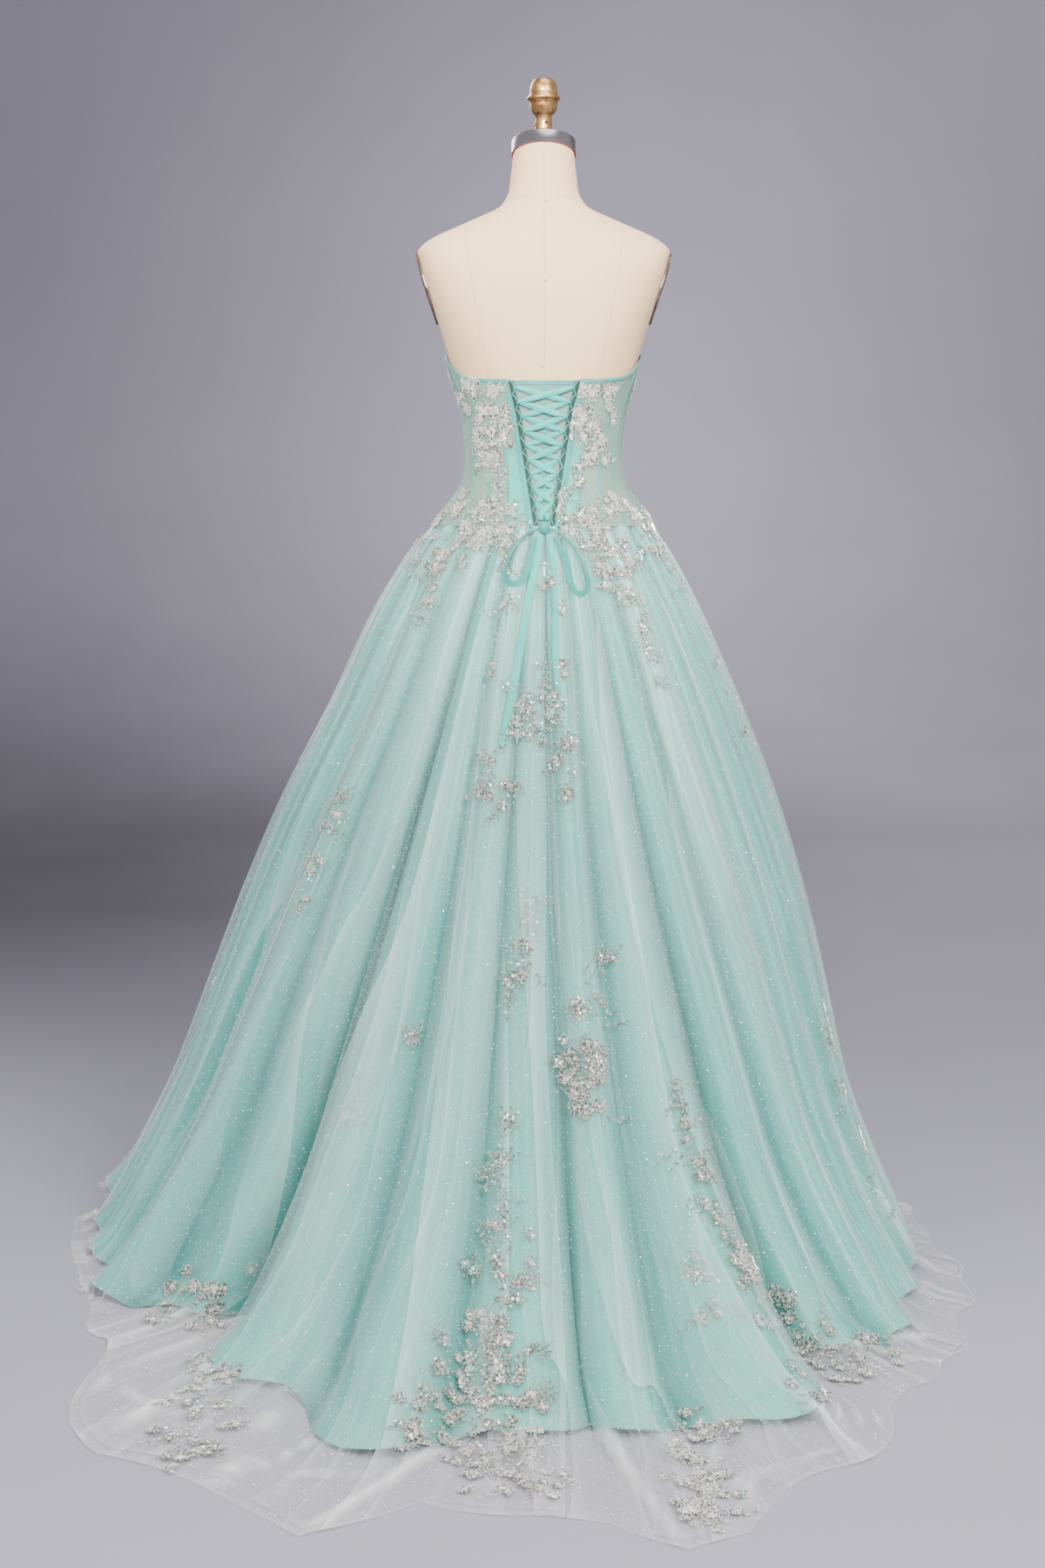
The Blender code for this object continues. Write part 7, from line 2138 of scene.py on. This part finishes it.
def laces(name, centres, tall, widths):
    """A lacing ribbon as a thin two-sided strip with soft pleats, thickened on both sides."""
    centres, tall, widths = (np.asarray(a, float) for a in (centres, tall, widths))
    places = np.linspace(-0.5, 0.5, 9)
    run = unit(np.gradient(centres, axis=0))
    up = unit(tall - run * np.sum(tall * run, axis=1, keepdims=True))
    flat = centres[:, None] + up[:, None] * (places[None, :, None] * widths[:, None, None])
    normal = unit(np.cross(run, up))
    away = np.sign(normal[:, 1:2])
    away[away == 0] = 1
    normal = normal * away
    pleat = np.cos(places * 9.4) * 0.35 + (1 - (2 * places) ** 2) * 0.65
    tight = np.clip(1.25 - widths / LACING_WIDTH, 0.15, 0.7)
    sheet = flat + normal[:, None] * (0.0012 * pleat[None, :, None] * tight[:, None, None])
    thick = normal[:, None] * LACING_WALL / 2
    piece = wall_piece(name, sheet - thick, sheet + thick, finish("lacing"), sharp=None)
    shape = bmesh.new()
    shape.from_mesh(piece.data)
    bmesh.ops.recalc_face_normals(shape, faces=shape.faces)
    shape.to_mesh(piece.data)
    shape.free()
    settle(piece, name)


class DRESS_OT_bow(bpy.types.Operator):
    """The bow's knot and its two loops"""

    bl_idname = "dress.bow"
    bl_label = "Bow"

    def execute(self, context):
        for name, route, lean in (("bow_loop_left", BOW_LEFT, LOOP_LEAN), ("bow_loop_right", BOW_RIGHT, -LOOP_LEAN)):
            points, across, out = ribbon_frames(finer(route, 4), lean, math.copysign(LOOP_TWIST, lean))
            t = np.linspace(0, 1, len(points))
            pinch = np.clip(np.minimum(t, 1 - t) * 7, 0, 1)
            width = LOOP_RIBBON * (0.55 + 0.45 * pinch)
            cup = 0.10 * (1 - pinch) + 0.05 * np.sin(t * 14)
            piece = ribbon(name, points, across, out, width, RIBBON_WALL * 0.6, cup, finish("trim"))
            settle(piece, name)
        rows, sides = 22, 36
        verts = []
        for r in range(rows):
            up = math.cos(math.pi * (r + 0.5) / rows)
            ring = math.sin(math.pi * (r + 0.5) / rows)
            for k in range(sides):
                turn = math.tau * k / sides
                fold = 1 - 0.10 * math.cos(5 * up * 3.1 + 0.8 * math.sin(turn)) ** 2
                size = abs(ring) ** 0.75 * fold
                out = Vector((size * math.cos(turn), size * math.sin(turn), up))
                verts.append(KNOT_CENTRE + out * KNOT_SIZE)
        settle(new_piece("bow_knot", verts, ring_faces(rows, sides, True), finish("trim")), "bow_knot")
        return {"FINISHED"}


class DRESS_OT_zip(bpy.types.Operator):
    """The zip's slider and tab, with the teeth that show above it"""

    bl_idname = "dress.zip"
    bl_label = "Zip"

    def execute(self, context):
        paint_slots("zip", "zip_slider", "zip_pull_tab")
        tree = net_trees()[1]
        verts, faces = [], []
        for k, z in enumerate(np.arange(ZIP_FOOT, ZIP_HEAD, ZIP_STEP)):
            side = -1 if k % 2 else 1
            hit, _, _, _ = tree.ray_cast(Vector((0.0003 * side, 1.0, z)), Vector((0, -1, 0)))
            centre = hit + Vector((0.0008 * side, 0.0004, 0))
            faces.extend(tuple(len(verts) + i for i in f) for f in BOX_FACES)
            verts.extend(centre + Vector(corner) * ZIP_TOOTH for corner in itertools.product((-1, 1), repeat=3))
        settle(new_piece("zip_teeth", verts, faces, finish("zip"), smooth=False))
        return {"FINISHED"}


class DRESS_OT_bodice_lace(bpy.types.Operator):
    """Beaded lace on the bodice and the waist"""

    bl_idname = "dress.bodice_lace"
    bl_label = "Bodice lace"

    def execute(self, context):
        looks = context.scene.dress_looks
        book = LaceBook(21, "bodice")
        tree = waist_tree()
        size = looks.flower * 0.98
        for px, py, half_x, half_y, flowers, leaves, aqua in BODICE_LACE:
            hit, normal = on_cloth_from_image(tree, px, py)
            if hit is None:
                continue
            scale = point_size(hit)
            half = (half_x * scale, half_y * scale)
            book.scatter((tree, hit, normal, UP), half, flowers, leaves, aqua, size)
        for angle, z, half_angle, half_z, flowers, leaves, aqua in FRONT_BODICE_LACE:
            for side in (angle,) if angle == 180.0 else (angle, -angle):
                hit, normal = on_cloth_from_side(tree, side, z)
                half = (math.radians(half_angle) * 0.12, half_z)
                book.scatter((tree, hit, normal, UP), half, flowers, leaves, aqua, size)
        book.make("bodice_lace", looks)
        return {"FINISHED"}


class DRESS_OT_skirt_lace(bpy.types.Operator):
    """Beaded lace trailing down the skirt to its train"""

    bl_idname = "dress.skirt_lace"
    bl_label = "Skirt lace"

    def execute(self, context):
        looks = context.scene.dress_looks
        rows = sorted(SKIRT_LACE, key=lambda row: row[1])
        middle = [row for row in rows if row[1] < TRAIN_LACE]
        low = [row for row in rows if row[1] >= TRAIN_LACE]
        for name, seed, picked in (("upper_lace", 31, middle), ("train_lace", 47, low)):
            book = LaceBook(seed, name.split("_")[0])
            for px, py, half_x, half_y, flowers, leaves, aqua, layer in picked:
                tree = waist_tree() if py < HIP_LACE else net_trees()[layer]
                hit, normal = on_cloth_from_image(tree, px, py)
                if hit is None:
                    continue
                scale = point_size(hit)
                steep = max(0.35, abs(normal.dot((CAMERA_PLACE - hit).normalized())))
                half = (half_x * scale, half_y * scale / steep)
                spot = (tree, hit, normal, UP if normal.z < 0.9 else FLOOR_UP)
                size = looks.flower * (0.96 if py < 1000 else 1.08)
                book.scatter(spot, half, flowers, leaves, aqua, size)
            book.make(name, looks)
        book = LaceBook(53, "front")
        tree = net_trees()[1]
        for angle, z, half_angle, half_z, flowers, leaves, aqua in FRONT_SKIRT_LACE:
            for side in (angle,) if angle == 82.0 else (angle, -angle):
                hit, normal = on_cloth_from_side(tree, side, z)
                half = (math.radians(half_angle) * math.hypot(hit.x, hit.y), half_z)
                book.scatter((tree, hit, normal, UP), half, flowers, leaves, aqua, looks.flower)
        book.make("front_lace", looks)
        return {"FINISHED"}


MAKERS = (
    DRESS_OT_stage,
    DRESS_OT_ribbon_ends,
    DRESS_OT_form,
    DRESS_OT_fittings,
    DRESS_OT_lining,
    DRESS_OT_tulle,
    DRESS_OT_glitter,
    DRESS_OT_bodice,
    DRESS_OT_trims,
    DRESS_OT_lacing,
    DRESS_OT_bow,
    DRESS_OT_zip,
    DRESS_OT_bodice_lace,
    DRESS_OT_skirt_lace,
)


class DRESS_PT_panel(bpy.types.Panel):
    """Lists the gown's looks and its makers"""

    bl_idname = "DRESS_PT_panel"
    bl_label = "Dress"
    bl_space_type = "VIEW_3D"
    bl_region_type = "UI"
    bl_category = "Dress"

    def draw(self, context):
        looks = context.scene.dress_looks
        for name in looks.__annotations__:
            self.layout.prop(looks, name)
        for maker in MAKERS:
            self.layout.operator(maker.bl_idname)


CLASSES = (DressLooks, *MAKERS, DRESS_PT_panel)


def register():
    for item in CLASSES:
        bpy.utils.register_class(item)
    bpy.types.Scene.dress_looks = bpy.props.PointerProperty(type=DressLooks)


def unregister():
    del bpy.types.Scene.dress_looks
    for item in reversed(CLASSES):
        bpy.utils.unregister_class(item)


def main():
    register()
    for maker in MAKERS:
        group, name = maker.bl_idname.split(".")
        getattr(getattr(bpy.ops, group), name)()


if __name__ == "__main__":
    main()
